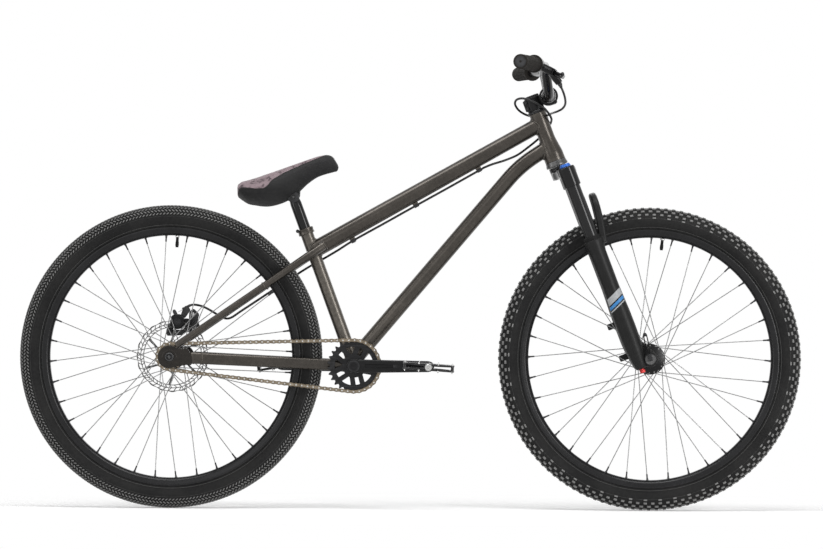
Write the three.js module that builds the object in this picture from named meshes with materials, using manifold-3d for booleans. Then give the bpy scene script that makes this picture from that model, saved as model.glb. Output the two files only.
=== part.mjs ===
// Dirt jump bike with 26 inch wheels, one speed, a suspension fork and a rear disc brake.
// Millimetres. X forward, Y to the rider's left, Z up. The ground is at Z zero, under the middle
// of the wheelbase.

import * as THREE from 'three';
import { mergeVertices } from 'three/addons/utils/BufferGeometryUtils.js';
import Module from 'manifold-3d';

// Driving dimensions

const FIT = { gap: 0.3, overrun: 6, weld: 0.0005 };

const LAYOUT = {
  wheelGap: 388, seatTubeGap: 71.9, crownGap: 148.1, bottomBracketDrop: 18.2,
  headLeanDegrees: 21, seatLeanDegrees: 20.2, forkOffset: 39.2,
};

const WHEEL = {
  radius: 333.5, tyreWidth: 56, tyreHeight: 54, treadWidth: 18, casing: 4, facets: 32,
  flangeRise: 5.5, seatDrop: 1.5, shoulderDrop: 4.5, wellDrop: 9, rimDepth: 12.5,
  rimWidth: 31, rimBase: 16, rimWellWidth: 18, flangeWall: 2.7,
  tubeWall: 1.6, tubeDrop: 4, tubeFacets: 20, tubeBase: 10,
  spokeRadius: 1, nippleRadius: 2.2, nippleLength: 13, spokeSides: 3, spokeSetOff: 1.6,
  spokes: 36, crosses: 3, valveRadius: 3.2, valveDrop: 38.5, valveBore: 1.2, valveSides: 8,
};

const FRONT_HUB = {
  flangeRadius: 34, spokeCircle: 30, flangeSpread: 54, flangeWall: 4, flangeTaper: 3,
  shellRadius: 19, endRadius: 14, width: 100, axleRadius: 10, valveDegrees: 5.9, spokePhaseDegrees: 0.7,
};

const REAR_HUB = {
  flangeRadius: 30, spokeCircle: 26, flangeWall: 4, rightFlange: 30, leftFlange: 29,
  shellRadius: 16, endRadius: 9, width: 135, axleRadius: 5, driverRadius: 17,
  driverEnd: 53, driverStart: 40, valveDegrees: 2.7, spokePhaseDegrees: -2.6,
  axleHead: 5, axleHeadRadius: 8.5,
};

const FRAME = {
  headTubeLength: 113.2, headTopRadius: 19, headBottomRadius: 23, headBore: 17, headWaist: 18,
  cupHeight: 12, upperCupHeight: 6, cupFlare: 2, headFlareLength: 22,
  seatTubeLength: 321.6, seatTubeRadius: 14.3, seatTubeBore: 13, seatTubeSides: 16,
  topTubeRadius: 19, topTubeNose: 17, tubeWall: 2, topTubeSeatDrop: 51.5, topTubeHeadHeight: 88.5,
  downTubeRadius: 17, downTubeHeadHeight: 34.7, downTubeBendBack: 66.9, downTubeBendDrop: 44,
  downTubeOffset: 9.4, shellRadius: 21, shellWidth: 68, shellBore: 17,
  tubeSides: 16, guideLength: 13, guideWidth: 9, guideDrop: 10, guideRise: 4,
  seatstayRadius: 9.2, seatstayTipRadius: 7.5,
  chainstayHeight: 25, chainstayWidth: 13, chainstayTipWidth: 10,
  staySides: 12, seatstayFootAhead: 21.8, seatstayFootRise: 29.7,
  seatstayHeadAhead: 26.5, seatstayHeadRise: 12.2,
  dropoutThickness: 7, dropoutRadius: 25, chainstayEnd: 46.6, brakeTabThickness: 7,
};

const SEAT = {
  postRadius: 12.7, postExtension: 74, postInsertion: 120, postSides: 18,
  clampHeight: 13, clampWall: 3.4, clampEar: 9, clampBoltLength: 26,
  headRadius: 13, headWidth: 24,
  saddleLength: 230, saddleHeight: 75, saddleWidth: 138, saddleTiltDegrees: 18.2,
  saddleRear: 115.3, saddleBase: 5.7, saddleBoltRadius: 4.5, saddleRingPoints: 20,
  cheekWidth: 4.5, tiltRangeDegrees: 12,
};

const DRIVE = {
  pitch: 12.7, ringTeeth: 28, cogTeeth: 14, links: 85, chainline: 48,
  chainWidth: 8.8, plateHeight: 8.8, sprocketThickness: 2.6, toothHeight: 2.4,
  toothRoot: 3.9, ringBore: 16, slotInner: 20, slotOuter: 37, slotWidth: 8,
  windowInner: 22, windowOuter: 40, windowWidth: 24, arms: 5, slotPhaseDegrees: 5,
  crankLength: 165, crankRootWidth: 28.6, crankTipWidth: 23, crankThickness: 14,
  crankTipThickness: 12, crankSides: 12,
  crankInside: 62, crankOutset: 7, spindleRadius: 12, spindleBore: 9, spindleSides: 18, axleSides: 10,
  crankCapRadius: 12.8, crankCapHeight: 2, cupFlangeRadius: 22, cupFlange: 9,
  pedalAxleRadius: 5, pedalLength: 112, pedalWidth: 94, pedalHeight: 14, pedalStart: 90,
  pedalBarrel: 9, pedalRail: 9, pedalCorner: 16, pinRadius: 1.9, pinHeight: 4.2, pinSides: 4,
  pedalEndWall: 6, rightPedalDegrees: 4, leftPedalDegrees: -9,
};

const BRAKE = {
  rotorRadius: 80, rotorTrack: 16, rotorThickness: 1.8, rotorHubRadius: 22, rotorArms: 6,
  rotorArmWidth: 5, rotorWave: 2.2, waveSides: 4, rotorOffset: 52.2, rotorSides: 36, padGap: 0.7,
  caliperRise: 75.9, caliperForward: 10.5, caliperRadius: 16.5, caliperInner: 39, caliperOuter: 66,
  caliperSides: 12, bracketThickness: 6, bracketOffset: 58,
  earThickness: 3.5, stopRadius: 4, stopLength: 10, stopInset: 3, armThickness: 4, armWidth: 9, armBoss: 8,
  armReach: 25, armLean: 9,
};

const FORK = {
  travel: 100, legSpread: 65, legForward: 14.5, stanchionRadius: 16, stanchionSides: 18,
  stanchionWall: 1.5, sealDepth: 183.5, sealHeight: 9, sealRadius: 20.5, legRadius: 18.6,
  legBoreClearance: 1.5, legLowerRadius: 21.4, legDrop: 12.4, legFloor: 24.5, legTaper: 70, legSwell: 190,
  legCutRadius: 15, sleeveTop: 21.5, sleeveBottom: 66.5, sleeveRadius: 19.3,
  crownBottom: 42, crownDepth: 19, crownWaist: 44, steererRadius: 14.3, steererWall: 2.4,
  steererSides: 16, raceRadius: 21,
  archForward: 48.5, archTop: 92, archBottom: 114, archDepth: 17, archFoot: 200, archSpan: 36,
  archFootWidth: 12, archFootForward: 36, archFootInset: 3, archKnee: 150, archKneeBack: 2,
  archKneeSpread: 17, archShoulderDrop: 6, capWall: 2, steererShort: 3,
  pistonDepth: 250, pistonHeight: 12, shaftRadius: 5, shaftFootRadius: 12,
  mountInner: 46, leverLeanDegrees: 8, dialGrip: 1.5,
  dropoutRadius: 17, dropoutThickness: 17.7, axleHead: 13, axleHeadLength: 6, hubPocket: 1.5,
  mountSpacing: 74.2, mountRise: 96, mountWidth: 15, mountReach: 22,
  mountThickness: 14, leverLength: 60, leverThickness: 7, leverWidth: 10, leverBore: 6,
  knobRadius: 6.5, knobHeight: 9, dialRadius: 12.5, dialHeight: 7,
};

const COCKPIT = {
  stemClampHeight: 30, stemClampRadius: 19, stemReach: 36, stemRise: 4, barClampRadius: 15.9,
  barClampWall: 5, barClampWidth: 44, stemNeckWidth: 30, stemNeckHeight: 22,
  topCapRadius: 17, topCapHeight: 4, barWidth: 750, barRise: 62, barSweep: 53.6, barForward: 10.7,
  barRadius: 11.1, barCentre: 42, riseStart: 58, riseEnd: 150, barWall: 2, barSides: 12,
  gripRadius: 16, gripLength: 128, gripFlange: 19.5, gripFlangeWidth: 4, gripCap: 3,
  leverGap: 25, leverClampWidth: 14, leverClampRadius: 14.6, leverReach: 34,
  leverDrop: 16, bodyThickness: 12, bodyWidth: 15, pivotRadius: 3, bladeThickness: 7,
  bladeWidth: 11, bladeLength: 115, bladeBow: 25, bladeRoot: 7, barrelRadius: 5, barrelLength: 16,
  pivotInset: 22,
};

const CABLE = { radius: 2.5, depth: 24.1, sides: 8, frameSteps: 48, loopSteps: 44, loopSides: 6 };

// Finishes

const FINISH = {
  frame: { color: 0x3c3732, roughness: 0.42, metalness: 0.55 },
  black: { color: 0x141414, roughness: 0.45, metalness: 0.3 },
  gloss: { color: 0x0b0b0c, roughness: 0.12, metalness: 0.4 },
  fork: { color: 0x1e1e1e, roughness: 0.55, metalness: 0.2 },
  rubber: { color: 0x181818, roughness: 0.85, metalness: 0 },
  steel: { color: 0xb4b4b2, roughness: 0.3, metalness: 1 },
  chain: { color: 0x6e6455, roughness: 0.4, metalness: 0.9 },
  grip: { color: 0x3a342f, roughness: 0.9, metalness: 0 },
  vinyl: { color: 0x1a1719, roughness: 0.6, metalness: 0 },
  red: { color: 0xa01014, roughness: 0.35, metalness: 0.4 },
  blue: { color: 0x163c8c, roughness: 0.35, metalness: 0.5 },
};

// Geometry helpers

const wasm = await Module();
wasm.setup();

const radians = THREE.MathUtils.degToRad;
const vec = (x, y, z) => new THREE.Vector3(x, y, z);
const SIDEWAYS = vec(0, 1, 0);

// A polygon drawn round a circle: its flats, not its corners, lie at the radius.
const around = (radius, sides) => radius / Math.cos(Math.PI / sides);

function solid(geometry, matrix) {
  const plain = geometry.clone();
  plain.deleteAttribute('normal');
  plain.deleteAttribute('uv');
  if (matrix) plain.applyMatrix4(matrix);
  const merged = mergeVertices(plain, FIT.weld);
  const source = merged.index.array;
  const kept = [];
  for (let i = 0; i < source.length; i += 3) {
    const [a, b, c] = [source[i], source[i + 1], source[i + 2]];
    if (a !== b && b !== c && c !== a) kept.push(a, b, c);
  }
  const vertProperties = new Float32Array(merged.attributes.position.array);
  const build = (triangles) => new wasm.Manifold(
    new wasm.Mesh({ numProp: 3, vertProperties, triVerts: new Uint32Array(triangles) }));
  const body = build(kept);
  if (body.volume() >= 0) return body;
  const turned = [];
  for (let i = 0; i < kept.length; i += 3) turned.push(kept[i], kept[i + 2], kept[i + 1]);
  return build(turned);
}

function geometryOf(body) {
  const mesh = body.getMesh();
  const geometry = new THREE.BufferGeometry();
  geometry.setAttribute('position', new THREE.BufferAttribute(new Float32Array(mesh.vertProperties), 3));
  geometry.setIndex(new THREE.BufferAttribute(new Uint32Array(mesh.triVerts), 1));
  geometry.computeVertexNormals();
  return geometry;
}

const join = (first, ...others) => others.reduce((sum, item) => sum.add(item), first);
const cut = (first, ...others) => others.reduce((rest, item) => rest.subtract(item), first);

// A straight round bar from one point to another, tapered if a second radius is given.
function bar(from, to, radius, sides, endRadius = radius) {
  const along = to.clone().sub(from);
  const geometry = new THREE.CylinderGeometry(endRadius, radius, along.length(), sides);
  const turn = new THREE.Quaternion().setFromUnitVectors(SIDEWAYS, along.clone().normalize());
  const matrix = new THREE.Matrix4().compose(
    from.clone().add(to).multiplyScalar(1 / 2), turn, vec(1, 1, 1));
  return solid(geometry, matrix);
}

// A bar lengthened at both ends, for cutting.
function drill(from, to, radius, sides) {
  const step = to.clone().sub(from).setLength(FIT.overrun);
  return bar(from.clone().sub(step), to.clone().add(step), around(radius, sides), sides);
}

// A turned piece about a line along Y through a centre: the profile lists [radius, y].
function turnedY(profile, sides, centre, start = 0) {
  const points = profile.map(([radius, y]) => new THREE.Vector2(radius, y));
  const geometry = new THREE.LatheGeometry([...points, points[0]], sides, start);
  return solid(geometry, new THREE.Matrix4().makeTranslation(centre.x, centre.y, centre.z));
}

// A turned piece about a line along Z through a centre: the profile lists [radius, z].
function turnedZ(profile, sides, centre = vec(0, 0, 0)) {
  const points = profile.map(([radius, z]) => new THREE.Vector2(radius, z));
  const geometry = new THREE.LatheGeometry([...points, points[0]], sides);
  const matrix = new THREE.Matrix4().makeTranslation(centre.x, centre.y, centre.z)
    .multiply(new THREE.Matrix4().makeRotationX(Math.PI / 2));
  return solid(geometry, matrix);
}

// A flat outline, turned anticlockwise whichever way its points were listed.
function shapeOf(points) {
  const corners = points.map(([x, y]) => new THREE.Vector2(x, y));
  return new THREE.Shape(THREE.ShapeUtils.isClockWise(corners) ? corners.reverse() : corners);
}

// A slab cut from an outline, with its holes, raised from zero and then moved by a matrix.
function slab(outline, depth, holes, matrix) {
  const raise = (points, overrun) => {
    const geometry = new THREE.ExtrudeGeometry(shapeOf(points), {
      depth: depth + overrun * 2, bevelEnabled: false });
    return solid(geometry.translate(0, 0, -overrun), matrix);
  };
  return cut(raise(outline, 0), ...holes.map((hole) => raise(hole, FIT.overrun)));
}

// A plate parallel to XZ: the outline lists [x, z], and the plate spans the two Y values.
function plateY(outline, low, high, holes = []) {
  return slab(outline, high - low, holes, new THREE.Matrix4().makeTranslation(0, high, 0)
    .multiply(new THREE.Matrix4().makeRotationX(Math.PI / 2)));
}

// A plate parallel to XY: the outline lists [x, y], and the plate spans the two Z values.
function plateZ(outline, low, high, holes = []) {
  return slab(outline, high - low, holes, new THREE.Matrix4().makeTranslation(0, 0, low));
}

// A block between two corners.
function block(low, high) {
  const size = high.clone().sub(low);
  const middle = high.clone().add(low).multiplyScalar(1 / 2);
  const geometry = new THREE.BoxGeometry(size.x, size.y, size.z);
  return solid(geometry, new THREE.Matrix4().makeTranslation(middle.x, middle.y, middle.z));
}

// A straight beam with a rectangular section, given its two half axes.
function beam(from, to, halfWide, halfHigh) {
  const section = (centre) => [[1, 1], [-1, 1], [-1, -1], [1, -1]].map(([wide, high]) => centre.clone()
    .addScaledVector(halfWide, wide).addScaledVector(halfHigh, high));
  return loft([section(from), section(to)]);
}

// Joins rings of points, all of one count, into one closed skin.
function loft(rings) {
  const count = rings[0].length;
  const points = rings.flat();
  const index = [];
  for (let r = 0; r + 1 < rings.length; r += 1) {
    for (let i = 0; i < count; i += 1) {
      const a = r * count + i;
      const b = r * count + (i + 1) % count;
      index.push(a, b, a + count, b, b + count, a + count);
    }
  }
  const cap = (first, forward) => {
    const centre = vec(0, 0, 0);
    for (let i = 0; i < count; i += 1) centre.addScaledVector(points[first + i], 1 / count);
    points.push(centre);
    const hub = points.length - 1;
    for (let i = 0; i < count; i += 1) {
      const pair = [first + i, first + (i + 1) % count];
      if (forward) index.push(hub, pair[0], pair[1]);
      else index.push(hub, pair[1], pair[0]);
    }
  };
  cap(0, false);
  cap((rings.length - 1) * count, true);
  const geometry = new THREE.BufferGeometry();
  geometry.setAttribute('position', new THREE.Float32BufferAttribute(points.flatMap((p) => p.toArray()),
    3));
  geometry.setIndex(index);
  return solid(geometry);
}

// A ring with rounded corners about a centre, on two half axes. Power 2 is an ellipse.
function ringAt(centre, across, upward, count, power = 2) {
  const ring = [];
  for (let i = 0; i < count; i += 1) {
    const angle = 2 * Math.PI * (i + 1 / 2) / count;
    const share = (value) => Math.sign(value) * Math.abs(value) ** (2 / power);
    ring.push(centre.clone().addScaledVector(across, share(Math.cos(angle)))
      .addScaledVector(upward, share(Math.sin(angle))));
  }
  return ring;
}

// A round tube along a curve through points.
function tubeThrough(points, radius, sides, steps, tension = 1 / 2) {
  const curve = new THREE.CatmullRomCurve3(points, false, 'catmullrom', tension);
  const outline = [];
  for (let i = 0; i < sides; i += 1) {
    const angle = 2 * Math.PI * i / sides;
    outline.push([radius * Math.cos(angle), radius * Math.sin(angle)]);
  }
  return solid(new THREE.ExtrudeGeometry(shapeOf(outline), {
    steps, extrudePath: curve, bevelEnabled: false,
  }));
}

// A tube through points with straight runs between mitred joints, tapered where radii differ.
function mitredTube(points, radii, sides) {
  const rings = points.map((point, i) => {
    const before = points[Math.max(i - 1, 0)];
    const after = points[Math.min(i + 1, points.length - 1)];
    const back = i > 0 ? point.clone().sub(before).normalize() : after.clone().sub(point).normalize();
    const ahead = i + 1 < points.length ? after.clone().sub(point).normalize() : back;
    const along = back.clone().add(ahead).normalize();
    const across = along.clone().cross(vec(0, 0, 1)).normalize();
    const upward = across.clone().cross(along).normalize();
    const stretch = 1 / Math.sqrt((1 + back.dot(ahead)) / 2);
    const [halfAcross, halfUp] = Array.isArray(radii[i]) ? radii[i] : [radii[i], radii[i]];
    return ringAt(point, across.multiplyScalar(halfAcross), upward.multiplyScalar(halfUp * stretch), sides);
  });
  return loft(rings);
}

const bike = new THREE.Group();

function place(name, body, finish, parent = bike) {
  const mesh = new THREE.Mesh(geometryOf(body), new THREE.MeshStandardMaterial(finish));
  mesh.name = name;
  parent.add(mesh);
  return mesh;
}

// Radii of the rim and the inner tube, counted from the tyre's bead

const beadRadius = WHEEL.radius - WHEEL.tyreHeight;
const rimOuter = beadRadius + WHEEL.flangeRise;
const beadSeat = beadRadius - WHEEL.seatDrop;
const rimShoulder = beadRadius - WHEEL.shoulderDrop;
const rimWell = beadRadius - WHEEL.wellDrop;
const rimInner = beadRadius - WHEEL.rimDepth;
const tubeInner = beadRadius - WHEEL.tubeDrop;
const valveReach = beadRadius - WHEEL.valveDrop;

// Main points of the frame. The tyres' gaps to each other, to the seat tube's foot and to the
// crown set its lengths.

const wheelbase = 2 * WHEEL.radius + LAYOUT.wheelGap;
const chainstay = WHEEL.radius + LAYOUT.seatTubeGap;
const forkLength = WHEEL.radius + LAYOUT.crownGap;
const axleHeight = WHEEL.radius;
const rearAxle = vec(-wheelbase / 2, 0, axleHeight);
const frontAxle = vec(wheelbase / 2, 0, axleHeight);
const bottomBracket = vec(
  rearAxle.x + Math.sqrt(chainstay ** 2 - LAYOUT.bottomBracketDrop ** 2), 0,
  axleHeight - LAYOUT.bottomBracketDrop);
const headLean = radians(LAYOUT.headLeanDegrees);
const seatLean = radians(LAYOUT.seatLeanDegrees);
const steerUp = vec(-Math.sin(headLean), 0, Math.cos(headLean));
const steerAhead = vec(Math.cos(headLean), 0, Math.sin(headLean));
const seatUp = vec(-Math.sin(seatLean), 0, Math.cos(seatLean));
const headBottom = frontAxle.clone().addScaledVector(steerAhead, -LAYOUT.forkOffset)
  .addScaledVector(steerUp, forkLength);
const onSteering = (height) => headBottom.clone().addScaledVector(steerUp, height);
const onSeatTube = (height) => bottomBracket.clone().addScaledVector(seatUp, height);
const seatTop = onSeatTube(FRAME.seatTubeLength);

// The steering group: its origin is the foot of the head tube and its Z runs up the steerer.
const steering = new THREE.Group();
steering.position.copy(headBottom);
steering.rotation.y = -headLean;
bike.add(steering);

// Frame

const topTubeSeat = onSeatTube(FRAME.seatTubeLength - FRAME.topTubeSeatDrop);
const topTubeHead = onSteering(FRAME.topTubeHeadHeight);
const downTubeHead = onSteering(FRAME.downTubeHeadHeight);
const downTubeBend = downTubeHead.clone()
  .add(vec(-FRAME.downTubeBendBack, 0, -FRAME.downTubeBendDrop));

function downTubeFoot() {
  const reach = downTubeBend.clone().sub(bottomBracket);
  const lean = Math.atan2(reach.z, reach.x) - Math.asin(FRAME.downTubeOffset / reach.length());
  const normal = vec(-Math.sin(lean), 0, Math.cos(lean));
  return bottomBracket.clone().addScaledVector(normal, FRAME.downTubeOffset)
    .add(vec(Math.cos(lean), 0, Math.sin(lean)).multiplyScalar(FIT.overrun));
}

const topTubeLine = topTubeHead.clone().sub(topTubeSeat).normalize();
const topTubeDown = vec(topTubeLine.z, 0, -topTubeLine.x);
const atTopTube = (share) => topTubeSeat.clone().lerp(topTubeHead, share);
const guideShares = [0.1535, 0.4294, 0.7054];

// The rear brake cable hangs under the top tube at these shares of the way to the head tube. It
// follows the left seatstay: a row holds the share of the way to the rear axle, the way to the left
// and the height over that line. It ends at the caliper, in places counted from the rear axle.
const frameCableShares = [0.7175, 0.7061, 0.5651, 0.4297, 0.2904, 0.1538];
const stayCablePlaces = [
  [-0.1102, 9, -32.2], [-0.0099, 20.5, -27.7], [0.0656, 22, -23.6], [0.1498, 28, -20.7], [0.2561, 37,
    -17.6],
  [0.3943, 45, -14.4], [0.5354, 50.5, -11.1], [0.6027, 57, -9.4],
];
const axleCablePlaces = [
  [115.5, 66, 84], [100.9, 70, 90.5], [89.5, 68.5, 97.5], [74.5, 66, 106.1], [61.5, 64, 111.5],
  [47.5, 63, 114], [37.5, 63, 112.5], [30.5, 63, 108.5],
];

function frameCablePoints() {
  const stayLine = rearAxle.clone().sub(topTubeSeat).normalize();
  const stayUp = vec(stayLine.z, 0, -stayLine.x);
  return [...frameCableShares.map((share) => atTopTube(share).addScaledVector(topTubeDown, CABLE.depth)),
    ...stayCablePlaces.map(([share, y, rise]) => topTubeSeat.clone().lerp(rearAxle, share)
      .addScaledVector(stayUp, rise).add(vec(0, y, 0))),
    ...axleCablePlaces.map(([x, y, z]) => rearAxle.clone().add(vec(x, y, z)))];
}

// The cable's slack route: from the lever in places counted from the lever's clamp, round the head
// tube twice, and to the first guide in places counted from there. Round the head tube a row holds
// the way ahead of the steerer, the way to the left and the share of the tube's length.
const leverCablePlaces = [[53.2, 40, -47.8], [58.7, 57, -59.6]];
const headCablePlaces = [
  [69.5, -142, 1.253], [65.8, -115, 1.149], [57, -83, 1.068], [45.1, -50, 1.021], [36.4, -20,
    1.002], [29.8, 4, 0.988],
  [17, 24, 0.945], [-2.7, 30, 0.926], [-23.6, 24, 0.955], [-37.9, 9, 1.045], [-42.2, -8, 1.172], [-34.9,
    -22, 1.267],
  [-18.9, -30, 1.291], [-0.8, -32, 1.22], [15.3, -31, 1.125], [23.4, -24, 1.002], [26.1, -10,
    0.898], [24.1, 5, 0.832],
  [15.2, 18, 0.728], [-0.2, 25, 0.595], [-22.3, 27, 0.444], [-51.2, 25, 0.273], [-80.5, 20,
    0.117], [-113.1, 10, 0.004],
];
const guideCablePlaces = [[23.6, 3, 10.6], [5.6, 0, 3.2], [0.6, 0, 0.3]];

function loopCablePoints() {
  const aroundHead = ([x, y, share]) => onSteering(share * FRAME.headTubeLength).add(vec(x, y, 0));
  const from = (origin) => ([x, y, z]) => origin.clone().add(vec(x, y, z));
  return [...leverCablePlaces.map(from(leverFrame().root)), ...headCablePlaces.map(aroundHead),
    ...guideCablePlaces.map(from(frameCablePoints()[0]))];
}

function headSleeve(radius) {
  return drill(onSteering(0), onSteering(FRAME.headTubeLength), radius, FRAME.tubeSides);
}

function buildFrame() {
  const sides = FRAME.tubeSides;
  const clear = FIT.gap;
  const shellEdge = vec(0, FRAME.shellWidth / 2, 0);
  const shellEnds = [bottomBracket.clone().sub(shellEdge), bottomBracket.clone().add(shellEdge)];
  const shellCut = drill(...shellEnds, FRAME.shellRadius + clear, sides);
  const seatTubeCut = drill(bottomBracket, seatTop, FRAME.seatTubeRadius + clear, FRAME.seatTubeSides);

  place('head_tube', turnedZ([
    [FRAME.headBore, 0], [FRAME.headBottomRadius, 0],
    [FRAME.headBottomRadius, FRAME.headFlareLength],
    [FRAME.headWaist, FRAME.headTubeLength / 2],
    [FRAME.headTopRadius, FRAME.headTubeLength - FRAME.headFlareLength / 2],
    [FRAME.headTopRadius, FRAME.headTubeLength], [FRAME.headBore, FRAME.headTubeLength],
  ], sides), FINISH.frame, steering);

  const cup = (low, high, radius, lip) => turnedZ([
    [FORK.steererRadius + clear * 2, low], [radius - lip, low], [radius, (low + high) / 2],
    [radius, high], [FORK.steererRadius + clear * 2, high],
  ], sides);
  place('headset_lower_cup', cup(-FRAME.cupHeight - clear, -clear, FRAME.headBottomRadius, -FRAME.cupFlare),
    FINISH.steel, steering);
  place('headset_upper_cup', cup(FRAME.headTubeLength + FRAME.upperCupHeight + clear,
    FRAME.headTubeLength + clear, FRAME.headTopRadius + FRAME.cupFlare, FRAME.cupFlare),
  FINISH.black, steering);

  place('bottom_bracket_shell', cut(bar(...shellEnds, FRAME.shellRadius, sides),
    drill(...shellEnds, FRAME.shellBore, sides)), FINISH.frame);

  place('seat_tube', cut(bar(bottomBracket, seatTop, FRAME.seatTubeRadius, FRAME.seatTubeSides),
    drill(bottomBracket, seatTop, FRAME.seatTubeBore, FRAME.seatTubeSides), shellCut), FINISH.frame);

  const topOuter = mitredTube([topTubeSeat, topTubeHead], [FRAME.topTubeRadius, FRAME.topTubeNose], sides);
  const topInner = mitredTube([topTubeSeat, topTubeHead],
    [FRAME.topTubeRadius - FRAME.tubeWall, FRAME.topTubeNose - FRAME.tubeWall], sides);
  const headCut = headSleeve(FRAME.headBottomRadius + clear);
  let topTube = cut(topOuter, topInner);
  for (const share of guideShares) {
    const middle = atTopTube(share).addScaledVector(topTubeDown, FRAME.topTubeRadius);
    const half = topTubeLine.clone().multiplyScalar(FRAME.guideLength / 2);
    middle.addScaledVector(topTubeDown, (FRAME.guideDrop - FRAME.guideRise) / 2);
    const guide = beam(middle.clone().sub(half), middle.clone().add(half), vec(0, FRAME.guideWidth / 2, 0),
      topTubeDown.clone().multiplyScalar((FRAME.guideDrop + FRAME.guideRise) / 2));
    topTube = join(topTube, cut(guide, topInner));
  }
  const cableCut = tubeThrough(frameCablePoints(), CABLE.radius + clear, CABLE.sides, CABLE.frameSteps);
  place('top_tube', cut(topTube, seatTubeCut, headCut, cableCut), FINISH.frame);

  const downPoints = [downTubeFoot(), downTubeBend, downTubeHead];
  const downRadii = downPoints.map(() => FRAME.downTubeRadius);
  const downOuter = mitredTube(downPoints, downRadii, sides);
  const downInner = mitredTube(downPoints, downRadii.map((radius) => radius - FRAME.tubeWall), sides);
  const topCut = mitredTube([topTubeSeat, topTubeHead],
    [FRAME.topTubeRadius + clear, FRAME.topTubeNose + clear], sides);
  place('down_tube', cut(downOuter, downInner, shellCut, seatTubeCut, headCut, topCut), FINISH.frame);

  for (const side of [-1, 1]) {
    const word = side < 0 ? 'right' : 'left';
    buildChainstay(side, word, shellCut, seatTubeCut);
    buildSeatstay(side, word, seatTubeCut);
  }
}

// Places along the stays: the share of the run towards the wheel's axle, which on a chainstay ends
// short of it, and the spread in shares of half the rear hub's width.
const chainstayShares = [0.0621, 0.2147, 0.452, 0.565, 0.8927, 1];
const chainstaySpreadShares = [0.49, 0.533, 0.578, 0.652, 0.896, 0.993];
const seatstayShares = [0, 0.19, 0.35, 1];
const seatstaySpreadShares = [0.393, 0.637, 0.652, 0.978];

// The front edge of a dropout as [forward, rise] from the axle in shares of its radius.
const dropoutFrontShares = [[2, -0.82], [2, 0.1], [1.5, 0.9]];

const fromAxle = ([forward, rise]) => [rearAxle.x + forward, rearAxle.z + rise];

function dropoutPlate(side) {
  const inner = REAR_HUB.width / 2 + FIT.gap;
  const outer = inner + FRAME.dropoutThickness;
  const points = [];
  for (let i = 0; i <= FRAME.tubeSides; i += 1) {
    const angle = Math.PI / 3 + i / FRAME.tubeSides * Math.PI * 4 / 3;
    points.push(fromAxle([FRAME.dropoutRadius * Math.cos(angle), FRAME.dropoutRadius * Math.sin(angle)]));
  }
  for (const [forward, rise] of dropoutFrontShares) {
    points.push(fromAxle([forward * FRAME.dropoutRadius, rise * FRAME.dropoutRadius]));
  }
  const [low, high] = side < 0 ? [-outer, -inner] : [inner, outer];
  return plateY(points, low, high);
}

function axleHole(radius) {
  const wide = vec(0, REAR_HUB.width, 0);
  return drill(rearAxle.clone().sub(wide), rearAxle.clone().add(wide), radius, FRAME.tubeSides);
}

function buildChainstay(side, word, shellCut, seatTubeCut) {
  const points = chainstayShares.map((share, i) => {
    const point = bottomBracket.clone().lerp(rearAxle, share * (1 - FRAME.chainstayEnd / chainstay));
    point.y = side * chainstaySpreadShares[i] * REAR_HUB.width / 2;
    return point;
  });
  const last = points.length - 1;
  const radii = points.map((point, i) => (i === last
    ? [FRAME.chainstayTipWidth / 2, FRAME.chainstayHeight / 2]
    : [FRAME.chainstayWidth / 2, FRAME.chainstayHeight / 2]));
  const stay = mitredTube(points, radii, FRAME.staySides);
  const whole = cut(join(stay, dropoutPlate(side)), shellCut, seatTubeCut,
    axleHole(REAR_HUB.axleRadius + FIT.gap));
  place(`chainstay_${word}`, whole, FINISH.frame);
}

function seatstayPoints(side) {
  const foot = rearAxle.clone().add(vec(FRAME.seatstayFootAhead, 0, FRAME.seatstayFootRise));
  const head = topTubeSeat.clone().add(vec(FRAME.seatstayHeadAhead, 0, FRAME.seatstayHeadRise));
  return seatstayShares.map((share, i) => {
    const point = head.clone().lerp(foot, share);
    point.y = side * seatstaySpreadShares[i] * REAR_HUB.width / 2;
    return point;
  });
}

function buildSeatstay(side, word, seatTubeCut) {
  const points = seatstayPoints(side);
  const radii = [FRAME.seatstayRadius, FRAME.seatstayRadius, FRAME.seatstayRadius, FRAME.seatstayTipRadius];
  const topCut = mitredTube([topTubeSeat, topTubeHead],
    [FRAME.topTubeRadius + FIT.gap, FRAME.topTubeNose + FIT.gap], FRAME.tubeSides);
  const inner = REAR_HUB.width / 2;
  const outer = inner + FRAME.dropoutThickness + FIT.gap * 2;
  const [low, high] = side < 0 ? [-outer, -inner] : [inner, outer];
  const reach = FRAME.dropoutRadius;
  const crest = dropoutFrontShares.slice(1).map(([forward, rise]) => [
    forward * reach + FIT.gap, rise * reach + FIT.gap]);
  const rounded = around(reach, FRAME.tubeSides) + FIT.gap * 2;
  const dropoutCut = join(
    plateY([[-reach, -reach], [reach * 2 + FIT.gap, -reach], ...crest, [0, reach + FIT.gap * 2],
      [-reach, reach]].map(fromAxle), low - FIT.overrun, high + FIT.overrun),
    bar(vec(rearAxle.x, low - FIT.overrun, rearAxle.z), vec(rearAxle.x, high + FIT.overrun, rearAxle.z),
      rounded, FRAME.tubeSides * 2));
  let stay = mitredTube(points, radii, FRAME.staySides);
  if (side > 0) stay = join(stay, brakeTab());
  place(`seatstay_${word}`, cut(stay, topCut, seatTubeCut, dropoutCut), FINISH.frame);
}

// Wheels

const mirrorProfile = (half) => half.map(([radius, y]) => [radius, -y]).reverse();

function turnedRing(outer, inner, sides, centre) {
  const loop = [...outer, ...mirrorProfile(outer), ...mirrorProfile(inner).reverse(),
    ...inner.slice().reverse()]
    .map(([radius, y]) => [around(radius, sides), y]);
  return turnedY(loop, sides, centre, Math.PI / sides);
}

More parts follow.
